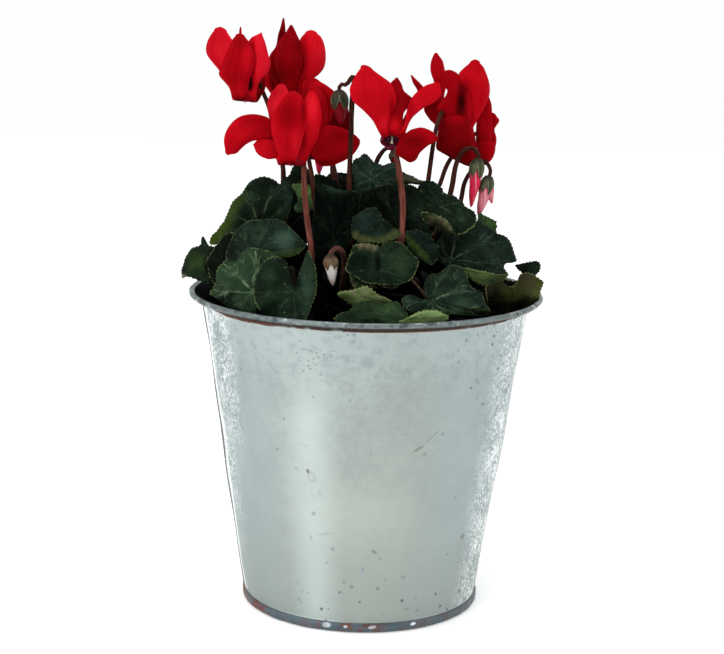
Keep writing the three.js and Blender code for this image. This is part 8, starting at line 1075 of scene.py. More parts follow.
def flower_piece(i, F):
    name = F["name"]
    b = Build()
    mouth, axis, R = np.array(F["mouth"], float), unit(F["axis"]), F["ring"]
    for k, p in enumerate(F["petals"]):
        key = (name, p["name"])
        petal_sheet(b, F, p["rows"], 10 * i + k + 1, 0, PETAL_STYLE.get(key, {}), key)
    # corolla tube with its rolled mouth, five low lobes round it
    prof = [(0.0, 3.4), (R * 0.42, 3.5), (R * 0.72, 2.2), (R * 0.80, 0.7), (R * 0.86, -0.45), (R * 1.0, -0.85), (R * 1.1, -0.35), (R * 1.08, 0.7),
            (R * 0.98, 2.2), (R * 0.80, 3.9), (min(2.3, R * 0.7), 4.9), (1.2, 5.25), (0.0, 5.3)]
    first = len(b.f)
    turned(b, prof, 40, mouth, axis, 1, bend=lambda a, t, h: 1 + 0.05 * np.cos(5 * a + i), smooth_n=40)
    # tone of the mouth: black inside, as painted shade down the tube, a purple edge, red outside; the hidden mouths
    # stay as red as their petals
    lip, out = {"flower_5": (0.34, 0.40), "flower_1": (0.50, 0.48), "flower_3": (0.44, 0.42)}.get(name, (0.50, 0.50))
    across = len(b.f) - first
    for f in range(first, len(b.f)):
        row = (f - first) // 40
        t = 0.12 if row < 10 else 0.26 if row < 15 else lip if row < 21 else out
        b.uv["par"][f] = [(t, 0.3)] * 4
        b.uv.setdefault("petal", {})[f] = [(u, h / 6.0) for u, h in b.uv["run"][f]]
    # pistil
    turned(b, [(0.0, 3.8), (0.50, 3.6), (0.42, 1.0), (0.40, -0.7), (0.55, -1.0), (0.35, -1.3), (0.0, -1.4)], 10, mouth, axis, 2, smooth_n=14)
    b.done(name + "_bloom", [PETAL, MOUTH, PISTIL], slot="petal", replaces=(name + "_petals",))

    # stem with its calyx
    b = Build()
    top = mouth + axis * 5.4
    path = [top + axis * 1.6] + [np.array(p, float) for p in F["stem"][1:]]
    # painted shade: every stem but flower_3's and flower_5's gets the darkened stem skin
    dark = name not in ("flower_3", "flower_5")
    r = F["rad"]
    tube(b, path, lambda t: r * (0.84 + 0.18 * smooth(0, 0.4, t)), 16, 0, mark=(0.0,), wobble=0.03, seed=40 + i)
    turned(b, [(0.0, -0.1), (1.7, -0.1), (2.1, 0.25), (1.95, 1.1), (1.55, 2.1), (r + 0.1, 3.0), (0.0, 3.3)], 16, top, axis, 1, smooth_n=14)
    x, y, z = frame_of(axis)
    for k in range(5):
        a = 2 * math.pi * (k + 0.3 * i) / 5
        er = math.cos(a) * x + math.sin(a) * y
        et = -math.sin(a) * x + math.cos(a) * y
        spine = [top + er * 1.2 + z * 1.5, top + er * 1.95 + z * 0.95, top + er * 2.5 + z * 0.1, top + er * 2.85 - z * 0.8, top + er * 3.0 - z * 1.7]
        sepal_sheet(b, spine, [0.7, 0.95, 0.85, 0.5, 0.1], et, er, 1, -0.2, 0)
    b.done(name + "_stalk", [STEM_SHADED if dark else STEM, SEPAL], slot="stem", replaces=(name + "_stem",))


def sepal_sheet(b, spine, half, side, outward_dir, mat, tone, seed, thick=0.16, brown=0.0):
    C = catmull(spine, False, 12)
    w = np.interp(np.linspace(0, 1, 12), np.linspace(0, 1, len(half)), half)
    T = np.gradient(C, axis=0)
    T /= np.linalg.norm(T, axis=1)[:, None]
    u = np.linspace(-1, 1, 9)
    N = np.cross(side, T)
    N /= np.linalg.norm(N, axis=1)[:, None]
    if (N @ outward_dir).sum() < 0:
        N = -N
    S = C[:, None, :] + u[None, :, None] * w[:, None, None] * np.asarray(side)[None, None, :] - (u ** 2)[None, :, None] * (0.32 * w)[:, None, None] * N[:, None, :]
    S = S + (0.10 * np.exp(-(u / 0.2) ** 2))[None, :, None] * N[:, None, :]
    top, low = S + N[:, None, :] * thick, S - N[:, None, :] * thick
    U = np.zeros((12, 9, 2))
    U[..., 0] = u
    U[..., 1] = np.linspace(0, 1, 12)[:, None]
    Pm = np.zeros((12, 9, 2))
    Pm[..., 0], Pm[..., 1] = tone, brown
    test = np.cross(S[1, 4] - S[0, 4], S[0, 5] - S[0, 4]) @ N[0]
    flip = test > 0
    o1 = b.grid(top, mat, flip=flip, petal=U, par=Pm)
    o2 = b.grid(low, mat, flip=not flip, petal=U, par=Pm)
    loop = [(0, j) for j in range(9)] + [(i, 8) for i in range(1, 12)] + [(11, j) for j in range(7, -1, -1)] + [(i, 0) for i in range(10, 0, -1)]
    m = len(loop)
    for k in range(m):
        (i0, j0), (i1, j1) = loop[k], loop[(k + 1) % m]
        a0, a1, c0, c1 = o1 + i0 * 9 + j0, o1 + i1 * 9 + j1, o2 + i0 * 9 + j0, o2 + i1 * 9 + j1
        b.face([a0, a1, c1, c0] if not flip else [a0, c0, c1, a1], mat, petal=[tuple(U[i0, j0])] * 4, par=[(tone, brown)] * 4)


# ---------------------------------------------------------------- buds
# bud -> material of its petals (place in the bud's list) and the tone of its sepals, partly painted shade
BUD_LOOK = {"bud_1": (0, -0.9), "bud_2": (1, 0.15), "bud_3": (5, 0.25), "bud_4": (2, 0.35), "bud_5": (1, 0.3), "bud_6": (0, -0.5)}
BUD_EXTRA = {"bud_3": [((489.5, 184), (491.8, 203.5), -3.0, 1.45)]}


def furled(b, tip, top, profile, mat, seed, lobes=5, twist=2.6, depth=0.10, bend=None):
    axis = np.asarray(top, float) - np.asarray(tip, float)
    def shape(a, t, h):
        q = lobes * (a + twist * t)
        saw = (q / (2 * math.pi)) % 1.0
        return 1 + depth * (saw - 0.5) * 1.6 + 0.03 * np.sin(3 * a + seed)
    turned(b, profile, 40, tip, axis, mat, bend=shape, smooth_n=34)


def bud_piece(i, B):
    name = B["name"]
    b = Build()
    look, tone = BUD_LOOK[name]
    top, tip = np.array(B["top"], float), np.array(B["tip"], float)
    axis = top - tip
    length = np.linalg.norm(axis)
    axis = axis / length
    s = length - B["sep"]
    rp, rs = B["rp"], B["rs"]
    furled(b, tip, top, [(0.0, -0.1), (0.35, 0.15), (0.62 * rp, s * 0.35), (0.86 * rp, s * 0.68), (rp, s * 0.95), (rp * 0.97, s + B["sep"] * 0.35), (rp * 0.7, s + B["sep"] * 0.75), (0.0, length)], look, i)
    for (ax, ay), (bx, by), y, r in BUD_EXTRA.get(name, []):
        p0, p1 = on_depth(ax, ay, y), on_depth(bx, by, y)
        ln = np.linalg.norm(p0 - p1)
        furled(b, p1, p0, [(0.0, -0.1), (0.4, 0.3), (r * 0.75, ln * 0.35), (r, ln * 0.7), (r * 0.8, ln * 0.92), (0.0, ln)], look, i + 3, lobes=3)
    # sepals hug the base of the bud
    x, y, z = frame_of(axis)
    sep = B["sep"]
    turned(b, [(0.0, length + 0.5), (1.25, length + 0.45), (rs * 0.62, length - sep * 0.12), (rs * 0.86, length - sep * 0.30), (rs * 0.80, length - sep * 0.5), (0.0, length - sep * 0.52)], 20, tip, axis, 3, smooth_n=16, flip=True)
    for k in range(5):
        a = 2 * math.pi * (k + 0.25) / 5
        er = math.cos(a) * x + math.sin(a) * y
        et = -math.sin(a) * x + math.cos(a) * y
        at = lambda r, h: tip + er * r + z * h
        spine = [at(1.2, length + 0.3), at(rs * 0.74, length - sep * 0.14), at(rs * 0.97, length - sep * 0.40), at(rs * 0.99, length - sep * 0.68), at(rs * 0.88, length - sep * 0.94), at(rs * 0.82, length - sep * 1.06)]
        sepal_sheet(b, spine, [0.5, rs * 0.56, rs * 0.62, rs * 0.50, rs * 0.22, 0.05], et, er, 3, tone, i, brown=0.95 if name == "bud_4" else 0.0)
    path = [top - axis * -0.2] + [np.array(p, float) for p in B["stem"][1:]]
    path[0] = top + axis * 0.1
    rad = B["rad"]
    tube(b, path, lambda t: rad * (0.82 + 0.22 * smooth(0.0, 0.2, t)), 14, 4, mark=(0.0,), wobble=0.03, seed=60 + i)
    b.done(name + "_furled", [BUD_RED, BUD_PINK, BUD_WHITE, SEPAL, STEM_BROWN if name == "bud_4" else STEM_SHADED, BUD_PALE], slot="bud", replaces=(name,))


for i, L in enumerate(PLANT["leaves"]):
    leaf_piece(i, L)
for i, F in enumerate(PLANT["flowers"]):
    flower_piece(i, F)
for i, B in enumerate(PLANT["buds"]):
    bud_piece(i, B)

# ---------------------------------------------------------------- the pot, its soil and the corm
FOOT_R, WALL_R, Z_FOOT, Z_WALL = 45.3, 62.1, 3.4, 116.5
SLOPE = (WALL_R - FOOT_R) / (Z_WALL - Z_FOOT)


def on_wall(px, py):
    """Place in the pot's cylinder map (mm round the pot from -Y towards +X, mm up) that is seen at a place in the picture."""
    d = FWD + CAM_X * (px - 362) / FOCAL - CAM_Y * (py - 327) / FOCAL
    c = FOOT_R - SLOPE * Z_FOOT
    k0, k1 = SLOPE * EYE[2] + c, SLOPE * d[2]
    A = d[0] ** 2 + d[1] ** 2 - k1 ** 2
    B = 2 * (EYE[0] * d[0] + EYE[1] * d[1] - k0 * k1)
    C = EYE[0] ** 2 + EYE[1] ** 2 - k0 ** 2
    D = max(B * B - 4 * A * C, 0.0)
    t = (-B - math.sqrt(D)) / (2 * A)
    p = EYE + d * t
    return math.atan2(p[0], -p[1]) * 55.0, p[2]


def galvanised(name, ground=(0.365, 0.412, 0.392), deep=(0.215, 0.255, 0.255), marks=False, rust=0.0, metal=0.86, worn=False):
    """Satin hot-dip zinc: cloudy colour, faint spangle, small pits, and painted highlights broken into bright flecks.
    """
    M = Mat(name)
    P = M.obj()
    C = M.uv("cyl")
    a, z, _ = M.split(C)
    cloud = M.noise(P, 34.0, 3.0, 0.55, 0.3)
    cloud2 = M.noise(M.scale(P, 1.0, 1.0, 0.45), 95.0, 4.0, 0.62, 0.6)
    mott = M.noise(P, 260.0, 4.0, 0.66, 0.5)
    fine = M.noise(P, 1300.0, 3.0, 0.7)
    brush = M.noise(M.join(M.mul(a, 0.055), M.mul(z, 1.6)), 1.0, 4.0, 0.6)
    cell = M.voronoi(P, 170.0, "F1", "Color")
    cell = M.split(cell)[0]
    col = M.mix(M.step(M.add(M.mul(cloud, 0.70), M.mul(cloud2, 0.30)), 0.22, 0.74), deep, ground)
    col = M.mix(M.mul(M.step(mott, 0.42, 0.72), 0.20), col, tuple(min(0.75, c * 1.38) for c in ground))
    col = M.mix(M.mul(M.step(mott, 0.46, 0.28), 0.24), col, tuple(c * 0.72 for c in deep))
    col = M.mix(M.mul(cell, 0.12), col, tuple(min(0.78, c * 1.5) for c in ground))
    col = M.mix(M.mul(M.step(brush, 0.42, 0.66), 0.12), col, tuple(c * 0.8 for c in deep))
    rough = M.add(M.step(cloud2, 0.3, 0.7, 0.40, 0.50), M.sub(M.mul(mott, 0.16), 0.08))
    rough = M.add(rough, M.mul(M.sub(cell, 0.5), 0.07))
    h = M.add(M.mul(fine, 0.25), M.add(M.mul(mott, 0.55), M.mul(brush, 0.15)))
    if marks:
        # the zinc is yellower low on the front and bluer towards the sides and the top
        warm = M.mul(M.step(M.m("ABSOLUTE", M.add(a, 2.0)), 62.0, 8.0), M.step(z, 112.0, 40.0))
        col = M.mix(M.mul(warm, 0.40), col, (0.42, 0.435, 0.375))
        col = M.mix(M.mul(M.step(M.m("ABSOLUTE", M.add(a, 4.0)), 16.0, 46.0), 0.62), col, (0.275, 0.338, 0.350))
        col = M.mix(M.mul(M.step(z, 52.0, 16.0), 0.58), col, (0.280, 0.316, 0.295))
        col = M.mix(M.mul(M.step(M.add(z, M.mul(M.sub(mott, 0.5), 26.0)), 94.0, 114.0), 0.55), col, (0.375, 0.440, 0.440))
        col = M.mix(M.mul(M.step(z, 88.0, 108.0), M.mul(M.step(mott, 0.50, 0.36), 0.34)), col, (0.24, 0.285, 0.295))
        # painted highlight: a bright strip down the front, where the front lamp is reflected, and a darker band beside
        # it
        painted_highlight_strip = M.mul(M.step(a, -33.0, -19.0), M.step(a, -5.0, -19.0))
        col = M.mix(M.mul(painted_highlight_strip, M.step(z, 112.0, 84.0, 0.05, 0.36)), col, (0.60, 0.69, 0.675))
        darker_band = M.mul(M.step(a, -2.0, 14.0), M.step(a, 44.0, 20.0))
        col = M.mix(M.mul(darker_band, 0.22), col, (0.27, 0.30, 0.275))
        # painted highlights at both sides, broken into bright flecks with dark specks among them, thinning out
        # downwards
        side = M.m("MAXIMUM", M.step(a, 44.0, 66.0), M.m("MAXIMUM", M.mul(M.step(a, -54.0, -70.0), M.step(z, 8.0, 70.0)), M.mul(M.step(a, -46.0, -58.0), M.step(z, 52.0, 92.0, 0.0, 0.9))))
        side = M.mul(side, M.step(M.m("ABSOLUTE", a), 110.0, 86.0, 0.12, 1.0))
        highlight_fleck = M.noise(M.scale(P, 1.0, 1.0, 0.85), 900.0, 4.0, 0.82, 0.3)
        clump = M.noise(P, 120.0, 3.0, 0.6)
        f = M.mul(side, M.step(M.add(M.mul(highlight_fleck, 0.85), M.mul(clump, 0.32)), 0.56, 0.66))
        col = M.mix(M.mul(f, 0.85), col, (0.93, 0.95, 0.945))
        rough = M.add(rough, M.mul(f, 0.10))
        speck = M.mul(side, M.step(M.sub(M.voronoi(P, 820.0), M.mul(clump, 0.10)), 0.22, 0.12))
        col = M.mix(M.mul(speck, 0.75), col, (0.10, 0.15, 0.17))
        g = M.mul(side, M.step(M.add(M.mul(highlight_fleck, 0.80), M.mul(clump, 0.30)), 0.53, 0.44))
        col = M.mix(M.mul(g, 0.62), col, (0.16, 0.215, 0.235))
        # pits and specks, thickest high up on the right
        pit = M.voronoi(P, 300.0)
        pitsize = M.split(M.voronoi(P, 300.0, "F1", "Color"))[1]
        where = M.m("MAXIMUM", M.mul(M.step(a, 22.0, 46.0), M.step(z, 66.0, 96.0)), M.mul(M.step(z, 26.0, 12.0), M.step(a, -34.0, -20.0)))
        patch = M.mul(M.blob(C, (-21.0, 99.5), (11.0, 4.5), 0.3, (1.0, 0.2)), M.step(M.noise(P, 240.0, 2.0), 0.40, 0.60))
        where = M.m("MAXIMUM", M.mul(where, 0.85), M.mul(patch, 0.9))
        pits = M.mul(M.step(M.sub(pit, M.mul(pitsize, 0.16)), 0.10, 0.03), M.mul(where, M.step(pitsize, 0.45, 0.75)))
        col = M.mix(M.mul(pits, 0.90), col, (0.06, 0.085, 0.10))
        pit2 = M.voronoi(M.shift(P, (0.31, 0.12, 0.05)), 150.0)
        ps2 = M.split(M.voronoi(M.shift(P, (0.31, 0.12, 0.05)), 150.0, "F1", "Color"))[0]
        pits2 = M.mul(M.step(pit2, 0.17, 0.08), M.step(ps2, 0.62, 0.72))
        col = M.mix(M.mul(pits2, 0.48), col, (0.16, 0.20, 0.20))
        # single marks: (x, y, half length, half width in mm, angle, strength, colour, hollow)
        dk, br, bl = (0.15, 0.18, 0.18), (0.20, 0.19, 0.15), (0.28, 0.34, 0.37)
        ragged = M.step(mott, 0.25, 0.55, 0.35, 1.0)
        for layer in "ab":
            mx, my, _ = M.split(M.uv("mark_" + layer))
            amt, tint, _ = M.split(M.uv("ink_" + layer))
            d = M.m("SQRT", M.add(M.mul(mx, mx), M.mul(my, my)))
            b = M.mul(M.step(d, 1.0, 0.42), ragged)
            b = M.mul(b, M.inv(M.mul(M.mul(M.step(d, 0.72, 0.45), M.m("LESS_THAN", amt, 0.0)), 0.85)))
            b = M.m("MINIMUM", M.mul(M.mul(b, M.m("ABSOLUTE", amt)), 2.0), 0.96)
            col = M.mix(b, col, M.mix(M.m("GREATER_THAN", tint, 1.5), M.mix(M.m("GREATER_THAN", tint, 0.5), dk, br), bl))
            h = M.sub(h, M.mul(b, 0.5))
        # rust that creeps out from under the rolled rim
        creep = M.noise(M.join(M.mul(a, 0.20), M.mul(z, 0.25)), 1.0, 4.0, 0.7)
        thick = M.mul(M.step(a, -56.0, -50.0), M.step(a, -27.0, -33.0))
        line = M.mul(M.step(M.add(z, M.mul(thick, M.add(0.10, M.mul(creep, 0.75)))), 116.75, 117.15), M.m("MAXIMUM", M.step(creep, 0.34, 0.50), M.m("MAXIMUM", M.step(a, -18.0, -32.0), M.mul(M.step(a, -8.0, 2.0), M.step(a, 26.0, 16.0)))))
        keep = M.mul(M.step(a, -68.0, -50.0), M.step(a, 72.0, 60.0))
        col = M.mix(M.mul(M.mul(line, keep), 0.93), col, M.mix(M.step(fine, 0.3, 0.7), (0.030, 0.010, 0.006), (0.240, 0.050, 0.010)))
        rough = M.add(rough, M.mul(line, 0.3))
        # painted shade: near-black just under the flare of the rolled rim
        col = M.mix(M.mul(M.step(z, 117.1, 117.5), 0.85), col, (0.030, 0.032, 0.030))
        # the folded seam up the left side: a painted highlight strip beside it, and painted shade along the seam,
        # near-black in its middle
        shine = M.mul(M.step(a, -70.0, -72.5), M.step(a, -75.2, -74.4))
        col = M.mix(M.mul(shine, 0.75), col, (0.93, 0.95, 0.945))
        seam_shade = M.mul(M.step(a, -74.6, -75.6), M.step(a, -84.5, -83.0))
        flat = M.mul(M.step(a, -77.0, -78.0), M.step(a, -81.8, -80.8))
        col = M.mix(M.mul(seam_shade, 0.97), col, M.mix(flat, (0.018, 0.023, 0.025), M.mix(mott, (0.050, 0.064, 0.068), (0.120, 0.150, 0.156))))
    if worn:
        # the rim is rubbed bright in places and dark with grime in others
        rub = M.noise(P, 165.0, 4.0, 0.70)
        rub2 = M.noise(M.shift(P, (0.4, 0.1, 0.2)), 210.0, 4.0, 0.72)
        col = M.mix(M.mul(M.step(rub, 0.52, 0.66), 0.70), col, (0.56, 0.62, 0.62))
        col = M.mix(M.mul(M.step(rub2, 0.50, 0.36), 0.75), col, (0.030, 0.038, 0.042))
        col = M.mix(M.mul(M.step(z, 119.75, 119.35), M.mul(M.step(rub2, 0.42, 0.56), 0.70)), col, (0.085, 0.024, 0.010))
    if rust:
        rn = M.noise(P, 210.0, 4.0, 0.7)
        rn2 = M.noise(P, 48.0, 2.0, 0.5)
        left = M.m("MAXIMUM", M.step(a, -34.0, -52.0), M.mul(M.step(a, -24.0, -12.0), M.step(a, 16.0, 2.0)))
        r = M.mul(M.step(M.add(M.mul(rn, 0.7), M.mul(rn2, 0.4)), 0.50, 0.60), M.m("MAXIMUM", left, 0.30))
        col = M.mix(M.mul(r, rust), col, M.mix(fine, (0.105, 0.030, 0.020), (0.220, 0.075, 0.045)))
        # painted highlights: bright spots on small raised lumps round the foot ring
        for x, y, rx, ry in ((327, 622, 2.6, 1.4), (372, 625, 2.4, 0.9), (412, 624, 1.8, 0.8), (346, 628, 1.4, 0.7)):
            at = on_wall(x, y - 3)
            b = M.mul(M.blob(C, (at[0], 2.2), (rx, ry), 0.1, (1.0, 0.4)), M.step(mott, 0.35, 0.6, 0.3, 1.0))
            col = M.mix(b, col, (0.78, 0.82, 0.84))
            h = M.add(h, M.mul(b, 1.4))
        # grime where the ring meets the wall
        col = M.mix(M.mul(M.step(z, 3.0, 3.5), 0.6), col, (0.06, 0.075, 0.085))
    M.set(Base_Color=col, Roughness=rough, Metallic=metal)
    if metal < 0.5:
        M.bsdf.inputs["Specular IOR Level"].default_value = 0.0
    M.set(Normal=M.bump(h, 0.16 if marks else 0.30, 0.0006))
    return M.mat


SPOTS = [
    (338, 337, 1.7, 0.75, 5, 0.55, "b", True), (348, 335, 0.6, 0.5, 0, 0.35, "d", False), (353, 342, 0.9, 0.5, 20, 0.30, "d", False),
    (300, 341, 0.35, 0.3, 0, 0.5, "d", False), (303, 349, 0.45, 0.3, 0, 0.5, "d", False), (296, 353, 0.4, 0.5, 0, 0.4, "d", False), (309, 351, 0.5, 0.3, 20, 0.6, "d", False), (316, 353, 0.6, 0.35, 0, 0.55, "b", False), (320, 350.5, 0.4, 0.3, 0, 0.55, "d", False), (324, 355, 0.6, 0.35, -10, 0.6, "d", False), (313, 359, 0.5, 0.3, 0, 0.5, "d", False), (327, 358, 0.5, 0.3, 0, 0.45, "d", False), (308, 361, 0.45, 0.3, 0, 0.5, "b", False), (316, 365, 0.55, 0.3, 0, 0.5, "b", False), (303, 371, 0.5, 0.35, 0, 0.45, "d", False), (325, 366, 0.4, 0.3, 0, 0.45, "d", False), (310, 369, 0.7, 0.35, 10, 0.4, "b", False), (334, 351, 0.5, 0.3, 0, 0.5, "d", False), (322, 361, 0.35, 0.25, 0, 0.5, "d", False), (299, 361, 0.4, 0.3, 0, 0.35, "d", False), (293, 345, 0.4, 0.3, 0, 0.35, "d", False), (318, 357, 1.6, 0.8, 5, 0.16, "b", False), (312, 352, 0.6, 0.45, 0, 0.45, "d", False), (321, 358, 0.8, 0.55, 0, 0.50, "d", False), (331, 356, 0.7, 0.5, 0, 0.35, "d", False),
    (308, 366, 0.8, 0.6, 0, 0.3, "b", False), (411, 343, 1.5, 2.4, -15, 0.42, "l", False), (416, 339, 0.9, 1.4, -30, 0.40, "l", False),
    (258, 374, 1.3, 2.0, 20, 0.30, "l", False), (313, 397, 0.25, 1.1, -12, 0.5, "b", False), (284, 419, 0.55, 0.45, 0, 0.75, "d", False),
    (350, 401, 0.45, 0.35, 0, 0.50, "d", False), (346, 408, 1.4, 0.28, 30, 0.30, "l", False), (408, 398, 0.8, 0.8, 0, 0.42, "l", False),
    (360, 409, 2.4, 0.22, 12, 0.28, "l", False), (381, 406, 2.2, 0.20, 8, 0.22, "l", False), (373, 401, 1.1, 0.2, 75, 0.25, "l", False),
    (433, 437, 4.6, 0.28, 43, 0.42, "d", False), (419, 449, 2.8, 0.75, 30, 0.48, "b", False), (424, 445, 1.4, 0.5, 40, 0.55, "d", False),
    (477, 396, 0.35, 2.2, -28, 0.50, "b", False), (482, 404, 1.4, 0.55, -20, 0.60, "d", False), (468, 462, 0.5, 0.6, 0, 0.35, "l", False),
    (304, 445, 2.6, 0.18, -14, 0.45, "l", False), (278, 470, 1.5, 1.1, 10, 0.32, "l", False), (259, 434, 0.8, 1.3, 0, 0.25, "l", False),
    (308, 471, 0.9, 1.2, 0, 0.50, "b", False), (312, 477, 2.1, 2.7, 20, 0.30, "b", True), (320, 493, 0.9, 2.0, 10, 0.20, "l", False),
    (400, 468, 1.4, 1.4, 0, 0.30, "l", False), (404, 478, 1.6, 1.0, 15, 0.28, "l", False), (462, 536, 2.2, 1.5, -20, 0.40, "b", False), (468, 553, 2.0, 1.2, -25, 0.30, "l", False),
    (447, 554, 0.7, 0.5, 0, 0.60, "d", False), (374, 552, 1.7, 0.9, -35, 0.42, "b", False), (380, 559, 0.8, 0.35, -40, 0.65, "d", False),
    (362, 573, 1.1, 1.7, 0, 0.48, "l", False), (363, 570, 0.6, 0.8, 0, 0.45, "d", False), (325, 534, 3.8, 0.9, 15, 0.26, "l", False), (311, 538, 0.8, 1.7, 0, 0.30, "l", False),
    (270, 566, 0.9, 1.9, 0, 0.42, "l", False), (297, 582, 1.2, 1.0, 0, 0.62, "l", False), (302, 591, 1.0, 0.8, 0, 0.50, "l", False), (307, 593, 0.35, 0.35, 0, 0.9, "d", False),
    (301, 602, 0.4, 0.35, 0, 0.95, "d", False), (297, 598, 0.25, 0.25, 0, 0.7, "d", False), (327, 563, 0.9, 1.1, 0, 0.38, "l", False), (343, 594, 0.9, 0.6, 0, 0.50, "l", False),
    (353, 594, 0.7, 0.5, 0, 0.50, "l", False), (364, 592, 0.5, 0.4, 0, 0.45, "l", False), (327, 603, 0.9, 0.5, 0, 0.52, "l", False), (415, 590, 0.7, 0.8, 0, 0.48, "l", False),
    (441, 589, 0.6, 0.5, 0, 0.45, "b", False), (407, 609, 1.5, 0.8, 10, 0.45, "b", False), (429, 585, 0.5, 0.4, 0, 0.4, "d", False), (457, 562, 0.5, 0.5, 0, 0.4, "d", False),
    (253, 560, 0.5, 0.5, 0, 0.40, "d", False), (262, 548, 0.4, 0.4, 0, 0.35, "d", False), (456, 377, 1.5, 1.3, 0, 0.36, "b", True), (467, 364, 1.2, 0.8, 0, 0.42, "l", False),
    (448, 343, 2.4, 1.2, 0, 0.26, "l", False), (478, 335, 0.6, 0.5, 0, 0.5, "d", False), (487, 328, 0.5, 0.4, 0, 0.6, "d", False), (497, 332, 0.6, 0.4, 0, 0.6, "d", False),
]


def pot_wall():
    b = Build()
    N = 288
    out = [(44.3, 0.05), (44.9, 0.0), (45.5, 0.0), (45.9, 0.35), (46.05, 0.9), (46.0, 1.5), (46.05, 2.2), (45.95, 2.8), (45.65, 3.25), (45.25, 3.5)]
    n_ring = len(out)
    z = np.concatenate([[4.2], np.linspace(5.6, 112.5, 66), [114.3, 115.6, 116.3]])
    out += [(FOOT_R + SLOPE * (q - Z_FOOT) - (0.10 if q < 5 else 0), q) for q in z]
    n_wall = len(out)
    out += [(62.35, 116.9), (62.75, 117.6), (63.4, 118.3), (64.3, 118.85), (65.3, 119.15)]
    cx, cz, r = 66.42, 120.13, 1.04
    for deg in (-95, -75, -55, -35, -15, 5, 25, 45, 65, 85, 105, 125, 145, 165):
        a = math.radians(deg)
        out.append((cx + r * math.cos(a), cz + r * math.sin(a)))
    n_bead = len(out)
    out += [(64.9, 119.75), (63.9, 119.25), (62.9, 118.45), (62.3, 117.5), (61.6, 116.2)]
    out += [(q * SLOPE + FOOT_R - 0.6 - SLOPE * Z_FOOT, q) for q in np.linspace(114.0, 5.0, 40)]
    out += [(44.7, 3.6), (44.4, 3.2), (44.25, 2.0)]
    prof = np.array(out)
    az = np.linspace(-math.pi, math.pi, N, endpoint=False)
    W1, W2, W3 = Waves(31, 46.0), Waves(32, 17.0), Waves(33, 5.0, 22)
    P = np.zeros((len(prof), N, 3))
    U = np.zeros((len(prof), N + 1, 2))
    for i, (rr, zz) in enumerate(prof):
        ring = np.stack([rr * np.sin(az), -rr * np.cos(az), np.full(N, zz)], 1)
        amp = smooth(4.0, 16.0, zz) * smooth(119.0, 108.0, zz)
        d = 0.16 * W1(ring) * amp + 0.055 * W2(ring) * amp
        if n_wall <= i < n_bead or i < n_ring:
            d = d + 0.05 * W3(ring) + 0.05 * W2(ring)
        # the folded seam: a low ridge with soft edges
        u = az * 55.0
        if n_ring - 1 <= i < n_wall + 2:
            d = d + 0.42 * smooth(-85.3, -84.3, u) * smooth(-74.4, -75.4, u)
        rr2 = rr + d
        P[i] = np.stack([rr2 * np.sin(az), -rr2 * np.cos(az), np.full(N, zz)], 1)
        U[i, :, 0] = np.linspace(-math.pi, math.pi, N + 1) * 55.0
        U[i, :, 1] = zz
    o = b.points(P.reshape(-1, 3))
    R = len(prof)
    spots = []
    for x, y, rx, ry, ang, amt, tint, hollow in SPOTS:
        at, q = on_wall(x, y), math.radians(ang)
        spots.append((at[0], at[1], rx, ry, math.cos(q), math.sin(q), -amt if hollow else amt, "dbl".index(tint)))

    def marks(corners):
        """The marks that touch a face, each as its own coordinates at the corners, where the mark is the unit circle."""
        lo, hi = np.min(corners, 0), np.max(corners, 0)
        found = []
        for sx, sz, rx, ry, cq, sq, amt, tint in spots:
            if hi[1] - lo[1] > 6 or hi[0] - lo[0] > 6:
                continue
            far = math.hypot(max(lo[0] - sx, 0, sx - hi[0]), max(lo[1] - sz, 0, sz - hi[1]))
            if far < max(rx, ry):
                found.append(([(((u - sx) * cq + (w - sz) * sq) / rx, ((w - sz) * cq - (u - sx) * sq) / ry) for u, w in corners], [(amt, tint)] * 4))
        found = found[:2] + [([(9.0, 9.0)] * 4, [(0.0, 0.0)] * 4)] * (2 - len(found[:2]))
        return dict(mark_a=found[0][0], ink_a=found[0][1], mark_b=found[1][0], ink_b=found[1][1])

    for i in range(R):
        k = (i + 1) % R
        mat = 1 if i < n_ring - 1 else 0 if i < n_wall + 4 else 2 if i < n_bead - 1 else 3
        if k == 0:
            mat = 1
        for j in range(N):
            jj = (j + 1) % N
            corners = [tuple(U[i, j]), tuple(U[i, j + 1]), tuple(U[k, j + 1]), tuple(U[k, j])]
            b.face([o + i * N + j, o + i * N + jj, o + k * N + jj, o + k * N + j], mat, cyl=corners, **(marks(corners) if mat == 0 else {}))
    # painted shade: the inside of the wall is a near-black, dull copy of the zinc without its shine
    b.done("pot_wall_rolled", [galvanised("zinc_wall", marks=True), galvanised("zinc_foot_ring", (0.115, 0.160, 0.185), (0.060, 0.085, 0.100), rust=0.95),
                               galvanised("zinc_rim", (0.178, 0.212, 0.212), (0.082, 0.102, 0.106), worn=True), galvanised("zinc_inside_painted_shade", (0.0100, 0.0112, 0.0116), (0.0045, 0.0052, 0.0055), metal=0.0)], slot="galvanised", replaces=("pot_wall",))


def disc(name, rows, mats, slot, node, N=96, bend=None):
    """A closed turned body, from the middle of its lower face to the middle of its upper face."""
    b = Build()
    az = np.linspace(0, 2 * math.pi, N, endpoint=False)
    P = np.zeros((len(rows), N, 3))
    U = np.zeros((len(rows), N + 1, 2))
    for i, (r, z) in enumerate(rows):
        ring = np.stack([r * np.sin(az), -r * np.cos(az), np.full(N, z)], 1)
        P[i] = bend(ring, r, z) if bend else ring
        U[i, :, 0] = np.linspace(0, 2 * math.pi, N + 1) * 55
        U[i, :, 1] = z if r > 1 else z
    o = b.points(P.reshape(-1, 3))
    for i in range(len(rows) - 1):
        for j in range(N):
            jj = (j + 1) % N
            b.face([o + i * N + j, o + i * N + jj, o + (i + 1) * N + jj, o + (i + 1) * N + j], 0, cyl=[tuple(U[i, j]), tuple(U[i, j + 1]), tuple(U[i + 1, j + 1]), tuple(U[i + 1, j])])
    return b, o


